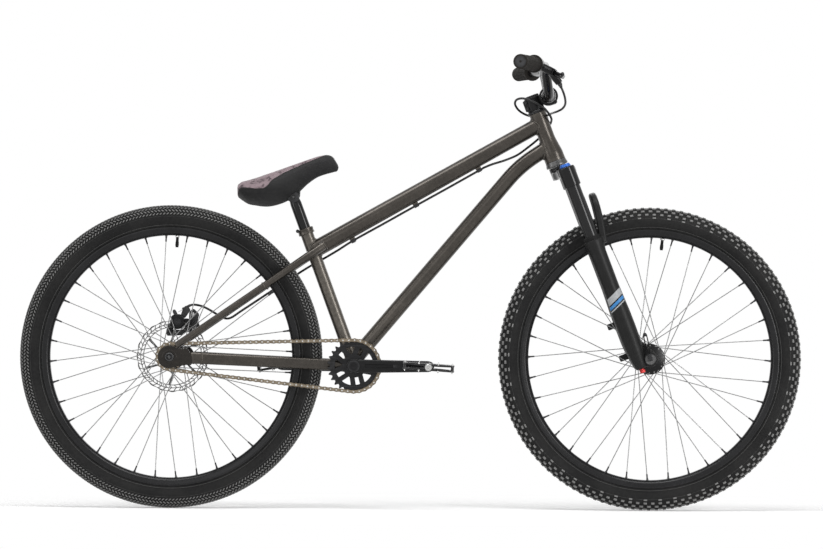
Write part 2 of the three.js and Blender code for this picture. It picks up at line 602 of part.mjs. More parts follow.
// Tyre section as shares of its height over the bead and of its half width.
const tyreOuterShares = [[0.42, 0.98], [0.62, 1], [0.84, 0.76]];
const tyreInnerShares = [[0.5, 0.86]];
const tubeOuterShares = [[0.56, 0.72], [0.87, 0.24]];

function buildTyre(name, centre, parent) {
  const height = WHEEL.tyreHeight;
  const wide = WHEEL.tyreWidth / 2;
  const bead = WHEEL.rimWidth / 2 - WHEEL.flangeWall - FIT.gap;
  const scaled = (shares) => shares.map(([up, out]) => [beadRadius + up * height, out * wide]);
  const outer = [[beadRadius, bead], [rimOuter + FIT.gap * 2, bead],
    ...scaled(tyreOuterShares), [WHEEL.radius, WHEEL.treadWidth / 2]];
  const inner = [[beadRadius, bead - WHEEL.flangeWall], ...scaled(tyreInnerShares),
    [WHEEL.radius - WHEEL.casing, WHEEL.treadWidth / 2]];
  place(name, turnedRing(outer, inner, WHEEL.facets, centre), FINISH.rubber, parent);
}

function valveLine(centre, degrees) {
  const lean = radians(degrees);
  const outward = vec(Math.sin(lean), 0, Math.cos(lean));
  return (reach) => centre.clone().addScaledVector(outward, reach);
}

function buildRim(name, centre, valveDegrees) {
  const flange = WHEEL.rimWidth / 2;
  const seat = flange - WHEEL.flangeWall;
  const outer = [[beadSeat, seat], [rimOuter, seat], [rimOuter, flange],
    [rimShoulder, flange], [rimInner, WHEEL.rimBase / 2]];
  const inner = [[rimWell, WHEEL.rimWellWidth / 2], [beadSeat, seat]];
  const loop = [...outer, ...mirrorProfile(outer), ...mirrorProfile(inner.slice(0, 1)),
    ...inner.slice(0, 1)].map(([radius, y]) => [around(radius, WHEEL.facets), y]);
  const at = valveLine(centre, valveDegrees);
  const hole = drill(at(rimInner), at(rimWell), WHEEL.valveRadius + FIT.gap, WHEEL.valveSides);
  place(name, cut(turnedY(loop, WHEEL.facets, centre, Math.PI / WHEEL.facets), hole), FINISH.black);
}

function buildInnerTube(name, centre, valveDegrees) {
  const height = WHEEL.tyreHeight;
  const wide = WHEEL.tyreWidth / 2;
  const section = (inset) => {
    const half = [[tubeInner + inset, WHEEL.tubeBase / 2 - inset / 2],
      ...tubeOuterShares.map(([up, out]) => [beadRadius + up * height - inset * Math.sign(up - 1 / 2),
        out * wide - inset])];
    const [foot, side, crown] = half;
    return [foot, [side[0] + inset, side[1]], crown];
  };
  const ring = (inset) => {
    const half = section(inset);
    return turnedY([...half, ...mirrorProfile(half)], WHEEL.tubeFacets, centre);
  };
  const at = valveLine(centre, valveDegrees);
  const root = at(tubeInner + WHEEL.tubeWall * 2);
  const stem = bar(root, at(valveReach), WHEEL.valveRadius, WHEEL.valveSides);
  const bore = bar(at(tubeInner + height / 2), at(valveReach - FIT.overrun),
    WHEEL.valveBore, WHEEL.valveSides);
  place(name, cut(join(ring(0), stem), ring(WHEEL.tubeWall), bore), FINISH.rubber);
}

// Spokes laced over three others: every second spoke of a flange leans the other way.
function lacedSpokes(centre, flanges, phaseDegrees) {
  const perFlange = WHEEL.spokes / 2;
  const step = 2 * Math.PI / WHEEL.spokes;
  const spokes = [];
  flanges.forEach(({ y, circle }, f) => {
    for (let i = 0; i < perFlange; i += 1) {
      const rimAngle = (2 * i + f) * step + radians(phaseDegrees);
      const lean = (i % 2 ? 1 : -1) * WHEEL.crosses * 2 * step;
      const at = (radius, angle, offset) => centre.clone()
        .add(vec(radius * Math.sin(angle), offset, radius * Math.cos(angle)));
      const head = at(circle, rimAngle + lean, y + (i % 2 ? 1 : -1) * WHEEL.spokeSetOff);
      const tip = at(rimInner - FIT.gap * 2, rimAngle, Math.sign(y) * WHEEL.nippleRadius);
      const foot = tip.clone().lerp(head, WHEEL.nippleLength / tip.distanceTo(head));
      spokes.push(mitredTube([head, foot, tip],
        [WHEEL.spokeRadius, WHEEL.spokeRadius, WHEEL.nippleRadius], WHEEL.spokeSides));
    }
  });
  return spokes;
}

function buildFrontWheel() {
  buildTyre('front_tyre', frontAxle);
  buildRim('front_rim', frontAxle, FRONT_HUB.valveDegrees);
  buildInnerTube('front_inner_tube', frontAxle, FRONT_HUB.valveDegrees);
  const { flangeRadius, flangeWall, flangeTaper, shellRadius, endRadius } = FRONT_HUB;
  const end = FRONT_HUB.width / 2;
  const flange = FRONT_HUB.flangeSpread / 2;
  const bore = around(FRONT_HUB.axleRadius + FIT.gap, FRAME.tubeSides);
  const half = [[bore, end], [endRadius, end], [endRadius, flange + flangeWall / 2 + flangeTaper],
    [flangeRadius, flange + flangeWall / 2], [flangeRadius, flange - flangeWall / 2],
    [shellRadius, flange - flangeWall / 2 - flangeTaper]];
  const hub = turnedY([...half, ...mirrorProfile(half)], FRAME.tubeSides, frontAxle);
  const flanges = [-1, 1].map((side) => ({ y: side * flange, circle: FRONT_HUB.spokeCircle }));
  place('front_hub', join(hub, ...lacedSpokes(frontAxle, flanges, FRONT_HUB.spokePhaseDegrees)),
    FINISH.black);
}

function buildRearWheel() {
  buildTyre('rear_tyre', rearAxle);
  buildRim('rear_rim', rearAxle, REAR_HUB.valveDegrees);
  buildInnerTube('rear_inner_tube', rearAxle, REAR_HUB.valveDegrees);
  const { flangeRadius, flangeWall, rightFlange, leftFlange, shellRadius, endRadius } = REAR_HUB;
  const end = REAR_HUB.width / 2;
  const bore = around(REAR_HUB.axleRadius + FIT.gap, FRAME.tubeSides);
  const rotorFace = BRAKE.rotorOffset - BRAKE.rotorThickness / 2 - FIT.gap;
  const hub = turnedY([
    [bore, -end], [endRadius, -end], [endRadius, -REAR_HUB.driverEnd],
    [REAR_HUB.driverRadius, -REAR_HUB.driverEnd], [REAR_HUB.driverRadius, -REAR_HUB.driverStart],
    [shellRadius, -rightFlange - flangeWall], [flangeRadius, -rightFlange], [flangeRadius,
      -rightFlange + flangeWall],
    [shellRadius, -rightFlange + flangeWall * 2], [shellRadius, leftFlange - flangeWall * 2],
    [flangeRadius, leftFlange - flangeWall], [flangeRadius, leftFlange],
    [BRAKE.rotorHubRadius, leftFlange + flangeWall], [BRAKE.rotorHubRadius, rotorFace],
    [endRadius, rotorFace], [endRadius, end], [bore, end],
  ], FRAME.tubeSides, rearAxle);
  const flanges = [
    { y: -rightFlange + flangeWall / 2, circle: REAR_HUB.spokeCircle },
    { y: leftFlange - flangeWall / 2, circle: REAR_HUB.spokeCircle }];
  place('rear_hub', join(hub, ...lacedSpokes(rearAxle, flanges, REAR_HUB.spokePhaseDegrees)), FINISH.black);

  const plateFace = end + FIT.gap + FRAME.dropoutThickness;
  const axle = turnedY([[0, -plateFace - FIT.gap - REAR_HUB.axleHead],
    [REAR_HUB.axleHeadRadius, -plateFace - FIT.gap - REAR_HUB.axleHead],
    [REAR_HUB.axleHeadRadius, -plateFace - FIT.gap], [REAR_HUB.axleRadius, -plateFace - FIT.gap],
    [REAR_HUB.axleRadius, plateFace + FIT.gap], [REAR_HUB.axleHeadRadius, plateFace + FIT.gap],
    [REAR_HUB.axleHeadRadius, plateFace + FIT.gap + REAR_HUB.axleHead],
    [0, plateFace + FIT.gap + REAR_HUB.axleHead]], FRAME.tubeSides, rearAxle);
  place('rear_axle', axle, FINISH.black);
}

// Chain drive

const ringPitchRadius = DRIVE.pitch / (2 * Math.sin(Math.PI / DRIVE.ringTeeth));
const cogPitchRadius = DRIVE.pitch / (2 * Math.sin(Math.PI / DRIVE.cogTeeth));

// Half widths of a tooth's root and tip as shares of the tooth's pitch.
const rootShare = 0.3;
const tipShare = 0.13;

function toothedOutline(centre, teeth, pitchRadius) {
  const points = [];
  const step = 2 * Math.PI / teeth;
  for (let i = 0; i < teeth; i += 1) {
    for (const [share, radius] of [
      [-rootShare, pitchRadius - DRIVE.toothRoot], [-tipShare, pitchRadius + DRIVE.toothHeight],
      [tipShare, pitchRadius + DRIVE.toothHeight], [rootShare, pitchRadius - DRIVE.toothRoot]]) {
      const angle = (i + share) * step;
      points.push([centre.x + radius * Math.cos(angle), centre.z + radius * Math.sin(angle)]);
    }
  }
  return points;
}

function circleOutline(centre, radius, sides) {
  const points = [];
  for (let i = 0; i < sides; i += 1) {
    const angle = -2 * Math.PI * i / sides;
    points.push([centre.x + radius * Math.cos(angle), centre.z + radius * Math.sin(angle)]);
  }
  return points;
}

// A polygon of [radius, sideways] corners, turned to an angle about a centre.
function spun(corners, centre, angle) {
  return corners.map(([out, side]) => [
    centre.x + out * Math.cos(angle) - side * Math.sin(angle),
    centre.z + out * Math.sin(angle) + side * Math.cos(angle)]);
}

function chainPath() {
  const line = bottomBracket.clone().sub(rearAxle);
  const distance = line.length();
  const tilt = Math.atan2(line.z, line.x);
  const difference = ringPitchRadius - cogPitchRadius;
  const lean = Math.asin(difference / distance);
  const run = Math.sqrt(distance ** 2 - difference ** 2);
  const ringWrap = (Math.PI + 2 * lean) * ringPitchRadius;
  const cogWrap = (Math.PI - 2 * lean) * cogPitchRadius;
  const upper = tilt + Math.PI / 2 + lean;
  const lower = tilt - Math.PI / 2 - lean;
  const onCircle = (centre, radius, angle) => [
    centre.x + radius * Math.cos(angle), centre.z + radius * Math.sin(angle)];
  const length = 2 * run + ringWrap + cogWrap;
  const at = (travelled, offset) => {
    let s = travelled;
    if (s < run) {
      const from = onCircle(rearAxle, cogPitchRadius + offset, upper);
      const to = onCircle(bottomBracket, ringPitchRadius + offset, upper);
      return from.map((value, i) => value + (to[i] - value) * s / run);
    }
    s -= run;
    if (s < ringWrap) return onCircle(bottomBracket, ringPitchRadius + offset, upper - s / ringPitchRadius);
    s -= ringWrap;
    if (s < run) {
      const from = onCircle(bottomBracket, ringPitchRadius + offset, lower);
      const to = onCircle(rearAxle, cogPitchRadius + offset, lower);
      return from.map((value, i) => value + (to[i] - value) * s / run);
    }
    s -= run;
    return onCircle(rearAxle, cogPitchRadius + offset, lower - s / cogPitchRadius);
  };
  return { length, at };
}

function buildChain() {
  const { length, at } = chainPath();
  const steps = DRIVE.links;
  const edge = (sign) => Array.from({ length: steps }, (item, i) => at(
    i * length / steps, sign * DRIVE.plateHeight / 2));
  const outer = edge(1).reverse();
  const inner = edge(-1);
  const half = DRIVE.chainWidth / 2;
  const band = plateY(outer, -DRIVE.chainline - half, -DRIVE.chainline + half, [inner]);
  const slotHalf = DRIVE.sprocketThickness / 2 + FIT.gap;
  const slot = (centre, radius) => plateY(circleOutline(centre, around(radius, FRAME.tubeSides * 2),
    FRAME.tubeSides * 2), -DRIVE.chainline - slotHalf, -DRIVE.chainline + slotHalf);
  place('chain', cut(band,
    slot(bottomBracket, ringPitchRadius + DRIVE.toothHeight + FIT.gap),
    slot(rearAxle, cogPitchRadius + DRIVE.toothHeight + FIT.gap)), FINISH.chain);
}

// Stations round the ends of a crank arm, as shares of a quarter turn.
const crankEndShares = [0.5, 0.89];

function crankArm(side) {
  const inside = side * DRIVE.crankInside;
  const direction = side < 0 ? 1 : -1;
  const rootRadius = DRIVE.crankRootWidth / 2;
  const tipRadius = DRIVE.crankTipWidth / 2;
  const stations = [];
  for (const turn of crankEndShares.slice().reverse()) {
    const angle = -turn * Math.PI / 2;
    stations.push([rootRadius * Math.sin(angle), rootRadius * Math.cos(angle), 0]);
  }
  stations.push([0, rootRadius, 0]);
  stations.push([DRIVE.crankLength / 4, (rootRadius * 2 + tipRadius) / 3, 1 / 4]);
  stations.push([DRIVE.crankLength, tipRadius, 1]);
  for (const turn of crankEndShares) {
    const angle = turn * Math.PI / 2;
    stations.push([DRIVE.crankLength + tipRadius * Math.sin(angle), tipRadius * Math.cos(angle), 1]);
  }
  const rings = stations.map(([out, half, share]) => {
    const thick = DRIVE.crankThickness + (DRIVE.crankTipThickness - DRIVE.crankThickness) * share;
    const centre = bottomBracket.clone().add(vec(direction * out,
      inside + side * (thick / 2 + DRIVE.crankOutset * share), 0));
    return ringAt(centre, vec(0, thick / 2, 0), vec(0, 0, half), DRIVE.crankSides, 4);
  });
  const boss = bar(bottomBracket.clone().add(vec(0, inside + side * DRIVE.crankThickness / 2, 0)),
    bottomBracket.clone().add(vec(0, side * (cupFace() + FIT.gap), 0)),
    DRIVE.ringBore - FIT.gap, DRIVE.spindleSides);
  const pedalFoot = pedalAxle(side).add(vec(0, inside + side * DRIVE.crankThickness / 2, 0));
  const pedalTip = pedalAxle(side).add(vec(0,
    side * (DRIVE.pedalStart + DRIVE.pedalWidth - DRIVE.pedalEndWall), 0));
  const outer = vec(0, DRIVE.crankInside + DRIVE.crankThickness, 0);
  const spindleHole = drill(bottomBracket.clone().sub(outer), bottomBracket.clone().add(outer),
    DRIVE.spindleRadius + FIT.gap, DRIVE.spindleSides);
  const axle = bar(pedalFoot, pedalTip, DRIVE.pedalAxleRadius, DRIVE.axleSides);
  return join(cut(join(loft(rings), boss), spindleHole), axle);
}

const cupFace = () => FRAME.shellWidth / 2 + FIT.gap + DRIVE.cupFlange;
const pedalAxle = (side) => bottomBracket.clone()
  .add(vec(side < 0 ? DRIVE.crankLength : -DRIVE.crankLength, 0, 0));

function buildDrive() {
  const ringHalf = DRIVE.sprocketThickness / 2;
  const holes = [circleOutline(bottomBracket, around(DRIVE.ringBore, DRIVE.spindleSides),
    DRIVE.spindleSides)];
  for (let i = 0; i < DRIVE.arms; i += 1) {
    const angle = -radians(DRIVE.slotPhaseDegrees) - 2 * Math.PI * i / DRIVE.arms;
    const half = DRIVE.slotWidth / 2;
    holes.push(spun([[DRIVE.slotInner, -half], [DRIVE.slotOuter - half, -half], [DRIVE.slotOuter, 0],
      [DRIVE.slotOuter - half, half], [DRIVE.slotInner, half]], bottomBracket, angle).reverse());
    const between = angle - Math.PI / DRIVE.arms;
    holes.push(spun([[DRIVE.windowInner, 0], [DRIVE.windowOuter, -DRIVE.windowWidth / 2],
      [DRIVE.windowOuter, DRIVE.windowWidth / 2]], bottomBracket, between).reverse());
  }
  place('chainring', plateY(toothedOutline(bottomBracket, DRIVE.ringTeeth, ringPitchRadius),
    -DRIVE.chainline - ringHalf, -DRIVE.chainline + ringHalf, holes), FINISH.black);
  place('rear_cog', plateY(toothedOutline(rearAxle, DRIVE.cogTeeth, cogPitchRadius),
    -DRIVE.chainline - ringHalf, -DRIVE.chainline + ringHalf,
    [circleOutline(rearAxle, around(REAR_HUB.driverRadius + FIT.gap, FRAME.tubeSides), FRAME.tubeSides)]),
  FINISH.black);
  buildChain();

  place('crank_arm_right', crankArm(-1), FINISH.black);
  place('crank_arm_left', crankArm(1), FINISH.black);
  const armFace = DRIVE.crankInside + DRIVE.crankThickness + FIT.gap;
  const half = [[DRIVE.spindleBore, armFace + DRIVE.crankCapHeight],
    [DRIVE.crankCapRadius, armFace + DRIVE.crankCapHeight], [DRIVE.crankCapRadius, armFace],
    [DRIVE.spindleRadius, armFace]];
  place('crank_spindle', turnedY([...half, ...mirrorProfile(half)], DRIVE.spindleSides, bottomBracket),
    FINISH.black);
  for (const side of [-1, 1]) {
    const word = side < 0 ? 'right' : 'left';
    const shellEnd = FRAME.shellWidth / 2 + FIT.gap;
    const bore = around(DRIVE.spindleRadius + FIT.gap, DRIVE.spindleSides);
    const cup = [[bore, shellEnd / 2], [FRAME.shellBore - FIT.gap, shellEnd / 2],
      [FRAME.shellBore - FIT.gap, shellEnd], [DRIVE.cupFlangeRadius, shellEnd],
      [DRIVE.cupFlangeRadius, cupFace()], [bore, cupFace()]];
    place(`bottom_bracket_cup_${word}`, turnedY(cup.map(([radius, y]) => [radius, side * y]),
      DRIVE.spindleSides, bottomBracket), FINISH.black);
    buildPedal(side, word);
  }
}

function buildPedal(side, word) {
  const pedal = new THREE.Group();
  pedal.position.copy(pedalAxle(side));
  pedal.rotation.y = radians(side < 0 ? DRIVE.rightPedalDegrees : DRIVE.leftPedalDegrees);
  bike.add(pedal);
  const halfLength = DRIVE.pedalLength / 2;
  const near = DRIVE.pedalStart;
  const far = near + DRIVE.pedalWidth;
  const corner = DRIVE.pedalCorner;
  const mirrored = (points) => points.map(([x, y]) => [x, side * y]);
  const outline = mirrored([[-halfLength, near + corner], [-halfLength + corner, near],
    [halfLength - corner, near], [halfLength, near + corner], [halfLength, far - corner],
    [halfLength - corner, far], [-halfLength + corner, far], [-halfLength, far - corner]]);
  const holes = [];
  for (const end of [-1, 1]) {
    for (const row of [0, 1]) {
      const low = near + DRIVE.pedalRail + row * (DRIVE.pedalWidth - DRIVE.pedalRail) / 2;
      const high = low + (DRIVE.pedalWidth - DRIVE.pedalRail * 3) / 2;
      const inner = end * (DRIVE.pedalBarrel + FIT.gap);
      const outer = end * (halfLength - DRIVE.pedalRail);
      holes.push(mirrored([[inner, low], [outer, low], [outer, high], [inner, high]]));
    }
  }
  const halfHeight = DRIVE.pedalHeight / 2;
  let body = join(plateZ(outline, -halfHeight, halfHeight, holes),
    bar(vec(0, side * near, 0), vec(0, side * far, 0), DRIVE.pedalBarrel, DRIVE.axleSides));
  const pinRow = [near + corner, (near + far) / 2, far - corner];
  for (const end of [-1, 1]) {
    for (const y of pinRow) {
      const x = end * (halfLength - DRIVE.pedalRail / 2);
      const reach = halfHeight + DRIVE.pinHeight;
      body = join(body, bar(vec(x, side * y, -reach), vec(x, side * y, reach), DRIVE.pinRadius,
        DRIVE.pinSides));
    }
  }
  const bore = bar(vec(0, side * (near - FIT.overrun), 0), vec(0,
    side * (far - DRIVE.pedalEndWall + FIT.gap), 0),
    around(DRIVE.pedalAxleRadius + FIT.gap, DRIVE.axleSides), DRIVE.axleSides);
  place(`pedal_${word}`, cut(body, bore), FINISH.black, pedal);
}

// Rear brake

function buildRotor() {
  const sides = BRAKE.rotorSides;
  const outline = [];
  for (let i = 0; i < sides; i += 1) {
    const angle = 2 * Math.PI * i / sides;
    const radius = BRAKE.rotorRadius - (i % BRAKE.waveSides < BRAKE.waveSides / 2 ? 0 : BRAKE.rotorWave);
    outline.push([rearAxle.x + radius * Math.cos(angle), rearAxle.z + radius * Math.sin(angle)]);
  }
  const holes = [circleOutline(rearAxle, REAR_HUB.endRadius + FIT.gap * 2, FRAME.tubeSides)];
  const trackInner = BRAKE.rotorRadius - BRAKE.rotorTrack;
  const armStep = 2 * Math.PI / BRAKE.rotorArms;
  for (let i = 0; i < BRAKE.rotorArms; i += 1) {
    const middle = (i + 1 / 2) * armStep;
    const atAngle = (radius, share) => {
      const half = armStep / 2 - BRAKE.rotorArmWidth / 2 / radius;
      return spun([[radius, 0]], rearAxle, middle + share * half)[0];
    };
    holes.push([atAngle(trackInner, 1), atAngle(trackInner, 1 / 3), atAngle(trackInner, -1 / 3),
      atAngle(trackInner, -1), atAngle(BRAKE.rotorHubRadius, -1), atAngle(BRAKE.rotorHubRadius, 1)]);
  }
  const half = BRAKE.rotorThickness / 2;
  place('brake_rotor', plateY(outline, BRAKE.rotorOffset - half, BRAKE.rotorOffset + half, holes),
    FINISH.steel);
}

// Outlines round the caliper's centre as [forward, rise] in shares of its radius.
const rearEarShares = [[-0.5, 0], [-1, 0], [-1.5, -1], [-1.2, -1.6], [-0.6, -1.4]];
const frontEarShares = [[0.5, 0.4], [0.5, -0.6], [1.9, -0.7], [2.1, 0], [1.4, 0.5]];
const bracketShares = [[-1.6, -1.05], [-1.45, -1.9], [0.6, -1.8], [2.1, -0.65], [2.2, 0.2], [1.35, -0.1],
  [0.7, -1.06], [-0.6, -1.06]];

function buildCaliper() {
  const centre = rearAxle.clone().add(vec(BRAKE.caliperForward, 0, BRAKE.caliperRise));
  const at = (y) => centre.clone().add(vec(0, y, 0));
  const bodyCore = bar(at(BRAKE.caliperInner), at(BRAKE.caliperOuter), BRAKE.caliperRadius,
    BRAKE.caliperSides);
  const earHigh = BRAKE.bracketOffset - FIT.gap;
  const earLow = earHigh - BRAKE.earThickness;
  const radius = BRAKE.caliperRadius;
  const [cx, cz] = [BRAKE.caliperForward, BRAKE.caliperRise];
  const outlined = (shares) => shares.map(([forward, rise]) => fromAxle([cx + forward * radius,
    cz + rise * radius]));
  const rearEar = plateY(outlined(rearEarShares), earLow, earHigh);
  const frontEar = plateY(outlined(frontEarShares), earLow, earHigh);
  const [cableEnd, beforeEnd] = frameCablePoints().slice(-2).reverse();
  const inward = cableEnd.clone().sub(beforeEnd).normalize();
  const stopTip = cableEnd.clone().addScaledVector(inward, FIT.gap);
  const stopFoot = cableEnd.clone().addScaledVector(inward, BRAKE.stopLength);
  const stopRoot = at(BRAKE.caliperOuter - BRAKE.stopInset).add(vec(radius / 2, 0, radius / 2));
  const stop = join(bar(stopFoot, stopTip, BRAKE.stopRadius, BRAKE.caliperSides / 2),
    bar(stopRoot, stopFoot.clone().lerp(stopTip, 1 / 3), BRAKE.stopRadius, BRAKE.caliperSides / 2));
  const slotHalf = BRAKE.rotorThickness / 2 + BRAKE.padGap;
  const slot = plateY(circleOutline(rearAxle, BRAKE.rotorRadius + BRAKE.padGap * 3, BRAKE.rotorSides),
    BRAKE.rotorOffset - slotHalf, BRAKE.rotorOffset + slotHalf);
  place('brake_caliper', cut(join(bodyCore, rearEar, frontEar, stop), slot), FINISH.black);

  const low = BRAKE.bracketOffset;
  const high = low + BRAKE.bracketThickness;
  place('caliper_bracket', plateY(outlined(bracketShares), low, high), FINISH.black);

  const armLow = BRAKE.caliperOuter + FIT.gap;
  const armHigh = armLow + BRAKE.armThickness;
  const boss = bar(at(armLow), at(armHigh), BRAKE.armBoss, BRAKE.caliperSides);
  const arm = plateY([[cx - BRAKE.armWidth / 2, cz], [cx + BRAKE.armWidth / 2, cz],
    [cx - BRAKE.armLean + BRAKE.armWidth / 2, cz + BRAKE.armReach],
    [cx - BRAKE.armLean - BRAKE.armWidth / 2, cz + BRAKE.armReach]].map(fromAxle), armLow, armHigh);
  place('caliper_arm', join(boss, arm), FINISH.black);
}

// The tab on the left seatstay that carries the caliper bracket, as [forward, rise] from the axle
// in shares of the caliper's own place.
const brakeTabShares = [[3.4, 0.55], [5.8, 0.8], [5.2, 1.08], [5.6, 1.22], [4.3, 1.4], [3.4, 1.3],
  [3.3, 0.9]];

function brakeTab() {
  const low = BRAKE.bracketOffset + BRAKE.bracketThickness + FIT.gap;
  return plateY(brakeTabShares.map(([forward, rise]) => fromAxle(
    [forward * BRAKE.caliperForward, rise * BRAKE.caliperRise])), low, low + FRAME.brakeTabThickness);
}

// Seatpost, clamp and saddle

const saddlePivot = onSeatTube(FRAME.seatTubeLength + SEAT.postExtension);

function buildSeat() {
  const sides = SEAT.postSides;
  const foot = onSeatTube(FRAME.seatTubeLength - SEAT.postInsertion);
  const halfHead = vec(0, SEAT.headWidth / 2, 0);
  const headEnds = [saddlePivot.clone().sub(halfHead), saddlePivot.clone().add(halfHead)];
  const post = join(bar(foot, saddlePivot, SEAT.postRadius, sides),
    bar(...headEnds, SEAT.headRadius, sides));
  const hollow = drill(foot, seatTop, SEAT.postRadius - FRAME.tubeWall, sides);
  const boltCut = drill(...headEnds, SEAT.saddleBoltRadius + FIT.gap, sides / 2);
  place('seatpost', cut(post, hollow, boltCut), FINISH.gloss);

  const low = onSeatTube(FRAME.seatTubeLength - SEAT.clampHeight);
  const outer = FRAME.seatTubeRadius + FIT.gap;
  const ring = bar(low, seatTop, outer + SEAT.clampWall, sides);
  const middle = low.clone().lerp(seatTop, 1 / 2);
  const earMiddle = middle.add(vec(-outer - SEAT.clampWall, 0, 0));
  const boltHalf = vec(0, SEAT.clampBoltLength / 2, 0);
  const ear = bar(earMiddle.clone().sub(boltHalf), earMiddle.clone().add(boltHalf), SEAT.clampEar / 2,
    sides / 2);
  place('seat_clamp', cut(join(ring, ear), drill(low, seatTop, outer, sides)), FINISH.black);
  buildSaddle();
}

// Saddle outline as shares of its length and height, from tail to nose, and half widths as
// shares of its full width.
const saddleStationShares = [0, 0.02, 0.06, 0.13, 0.23, 0.34, 0.45, 0.56, 0.67, 0.78, 0.87, 0.94, 0.985, 1];
const saddleTopShares = [0.66, 0.86, 0.96, 0.97, 0.965, 0.975, 0.98, 0.99, 0.995, 1, 0.99, 0.93, 0.78, 0.6];
const saddleBottomShares = [0.55, 0.46, 0.31, 0.18, 0.045, 0, 0.03, 0.15, 0.31, 0.41, 0.42, 0.41, 0.43,
  0.5];
const saddleHalfShares = [0.2, 0.34, 0.44, 0.49, 0.5, 0.45, 0.36, 0.27, 0.21, 0.175, 0.155, 0.135, 0.09,
  0.03];
const saddleChannelShares = [0, 0.02, 0.05, 0.08, 0.09, 0.09, 0.08, 0.07, 0.06, 0.045, 0.03, 0.01, 0, 0];
const saddleSection = { corner: 0.8, shoulderShare: 0.34, channelSpread: 3.2, skirtShare: 0.6, crown: 0.7 };

function saddleRing(station, count) {
  const x = saddleStationShares[station] * SEAT.saddleLength - SEAT.saddleRear;
  const top = saddleTopShares[station] * SEAT.saddleHeight - SEAT.saddleBase;
  const bottom = saddleBottomShares[station] * SEAT.saddleHeight - SEAT.saddleBase;
  const half = saddleHalfShares[station] * SEAT.saddleWidth;
  const dip = saddleChannelShares[station] * SEAT.saddleHeight;
  const skirt = Math.min(half * saddleSection.skirtShare, SEAT.headWidth / 2 + SEAT.cheekWidth);
  const shoulder = top - (top - bottom) * saddleSection.shoulderShare;
  const ring = [];
  for (let i = 0; i < count; i += 1) {
    const angle = 2 * Math.PI * (i + 1 / 2) / count;
    const upward = Math.abs(Math.sin(angle));
    const across = Math.sign(Math.cos(angle)) * Math.abs(Math.cos(angle)) ** saddleSection.corner;
    if (Math.sin(angle) > 0) {
      const channel = dip * Math.exp(-((across * saddleSection.channelSpread) ** 2));
      ring.push(vec(x, across * half,
        shoulder + (top - shoulder) * upward ** saddleSection.crown - channel));
    } else {
      const reach = half * (1 - upward) + skirt * upward;
      ring.push(vec(x, across * reach, shoulder - (shoulder - bottom) * upward ** saddleSection.crown));
    }
  }
  return ring;
}

function buildSaddle() {
  const rings = saddleStationShares.map((share, i) => saddleRing(i, SEAT.saddleRingPoints));
  const seat = new THREE.Matrix4().makeTranslation(saddlePivot.x, saddlePivot.y, saddlePivot.z)
    .multiply(new THREE.Matrix4().makeRotationY(-radians(SEAT.saddleTiltDegrees)));
  rings.flat().forEach((point) => point.applyMatrix4(seat));
  const clearRadius = around(SEAT.headRadius + FIT.gap, SEAT.postSides);
  const across = (y) => saddlePivot.clone().add(vec(0, y, 0));
  const inner = SEAT.headWidth / 2 + FIT.gap;
  const socket = bar(across(-inner), across(inner), clearRadius, SEAT.postSides);
  const cheek = bar(across(-inner - SEAT.cheekWidth), across(inner + SEAT.cheekWidth),
    SEAT.headRadius, SEAT.postSides);
  const sweep = [-1, 0, 1].map((turn) => {
    const lean = radians(turn * SEAT.tiltRangeDegrees);
    const down = seatUp.clone().multiplyScalar(-SEAT.saddleHeight).applyAxisAngle(SIDEWAYS, lean);
    return bar(saddlePivot, saddlePivot.clone().add(down), clearRadius, SEAT.postSides);
  });
  const bolt = bar(across(-inner), across(inner), SEAT.saddleBoltRadius, SEAT.postSides / 2);
  place('saddle', join(cut(join(loft(rings), cheek), socket, ...sweep), bolt), FINISH.vinyl);
}

// Suspension fork, in the steering group: X ahead of the steerer and Z up it

const legBottom = forkLength + FORK.legDrop;
const boreFoot = FORK.legFloor - legBottom;
const stanchionFoot = -boreFoot - FORK.travel - FORK.legBoreClearance;
const legCentre = (side, z) => vec(FORK.legForward, side * FORK.legSpread, z);
const axleInSteering = vec(LAYOUT.forkOffset, 0, -forkLength);

function archRing(centre, along, halfDepth, halfThick) {
  const across = along.clone().cross(vec(1, 0, 0)).normalize();
  return ringAt(centre, vec(halfDepth, 0, 0), across.multiplyScalar(halfThick), 8, 4);
}

function forkArch() {
  const foot = [FORK.archFootForward, FORK.legSpread - FORK.archFootInset, -FORK.archFoot];
  const knee = [FORK.archForward - FORK.archKneeBack, FORK.archSpan + FORK.archKneeSpread, -FORK.archKnee];
  const shoulder = [FORK.archForward, FORK.archSpan,
    -(FORK.archTop + FORK.archBottom) / 2 - FORK.archShoulderDrop];
  const middle = [FORK.archForward, 0, -(FORK.archTop + FORK.archBottom) / 2];
  const half = [foot, knee, shoulder];
  const points = [...half.map(([x, y, z]) => vec(x, -y, z)), vec(...middle),
    ...half.reverse().map(([x, y, z]) => vec(x, y, z))];
  const thick = (FORK.archBottom - FORK.archTop) / 2;
  const rings = points.map((point, i) => {
    const along = points[Math.min(i + 1, points.length - 1)].clone().sub(points[Math.max(i - 1, 0)]);
    const reach = Math.abs(point.y) > FORK.archSpan ? FORK.archFootWidth / 2 : thick;
    return archRing(point, along.normalize(), FORK.archDepth / 2, reach);
  });
  return loft(rings);
}

// The web from a fork leg to its axle lug: forward in shares of the way from the leg to the axle,
// and up from the axle in shares of the lug's radius.
const lugShares = [[-0.35, 3], [0.7, 3], [1.6, 0.6], [1.6, -0.4], [0, -0.7], [-0.35, 0]];

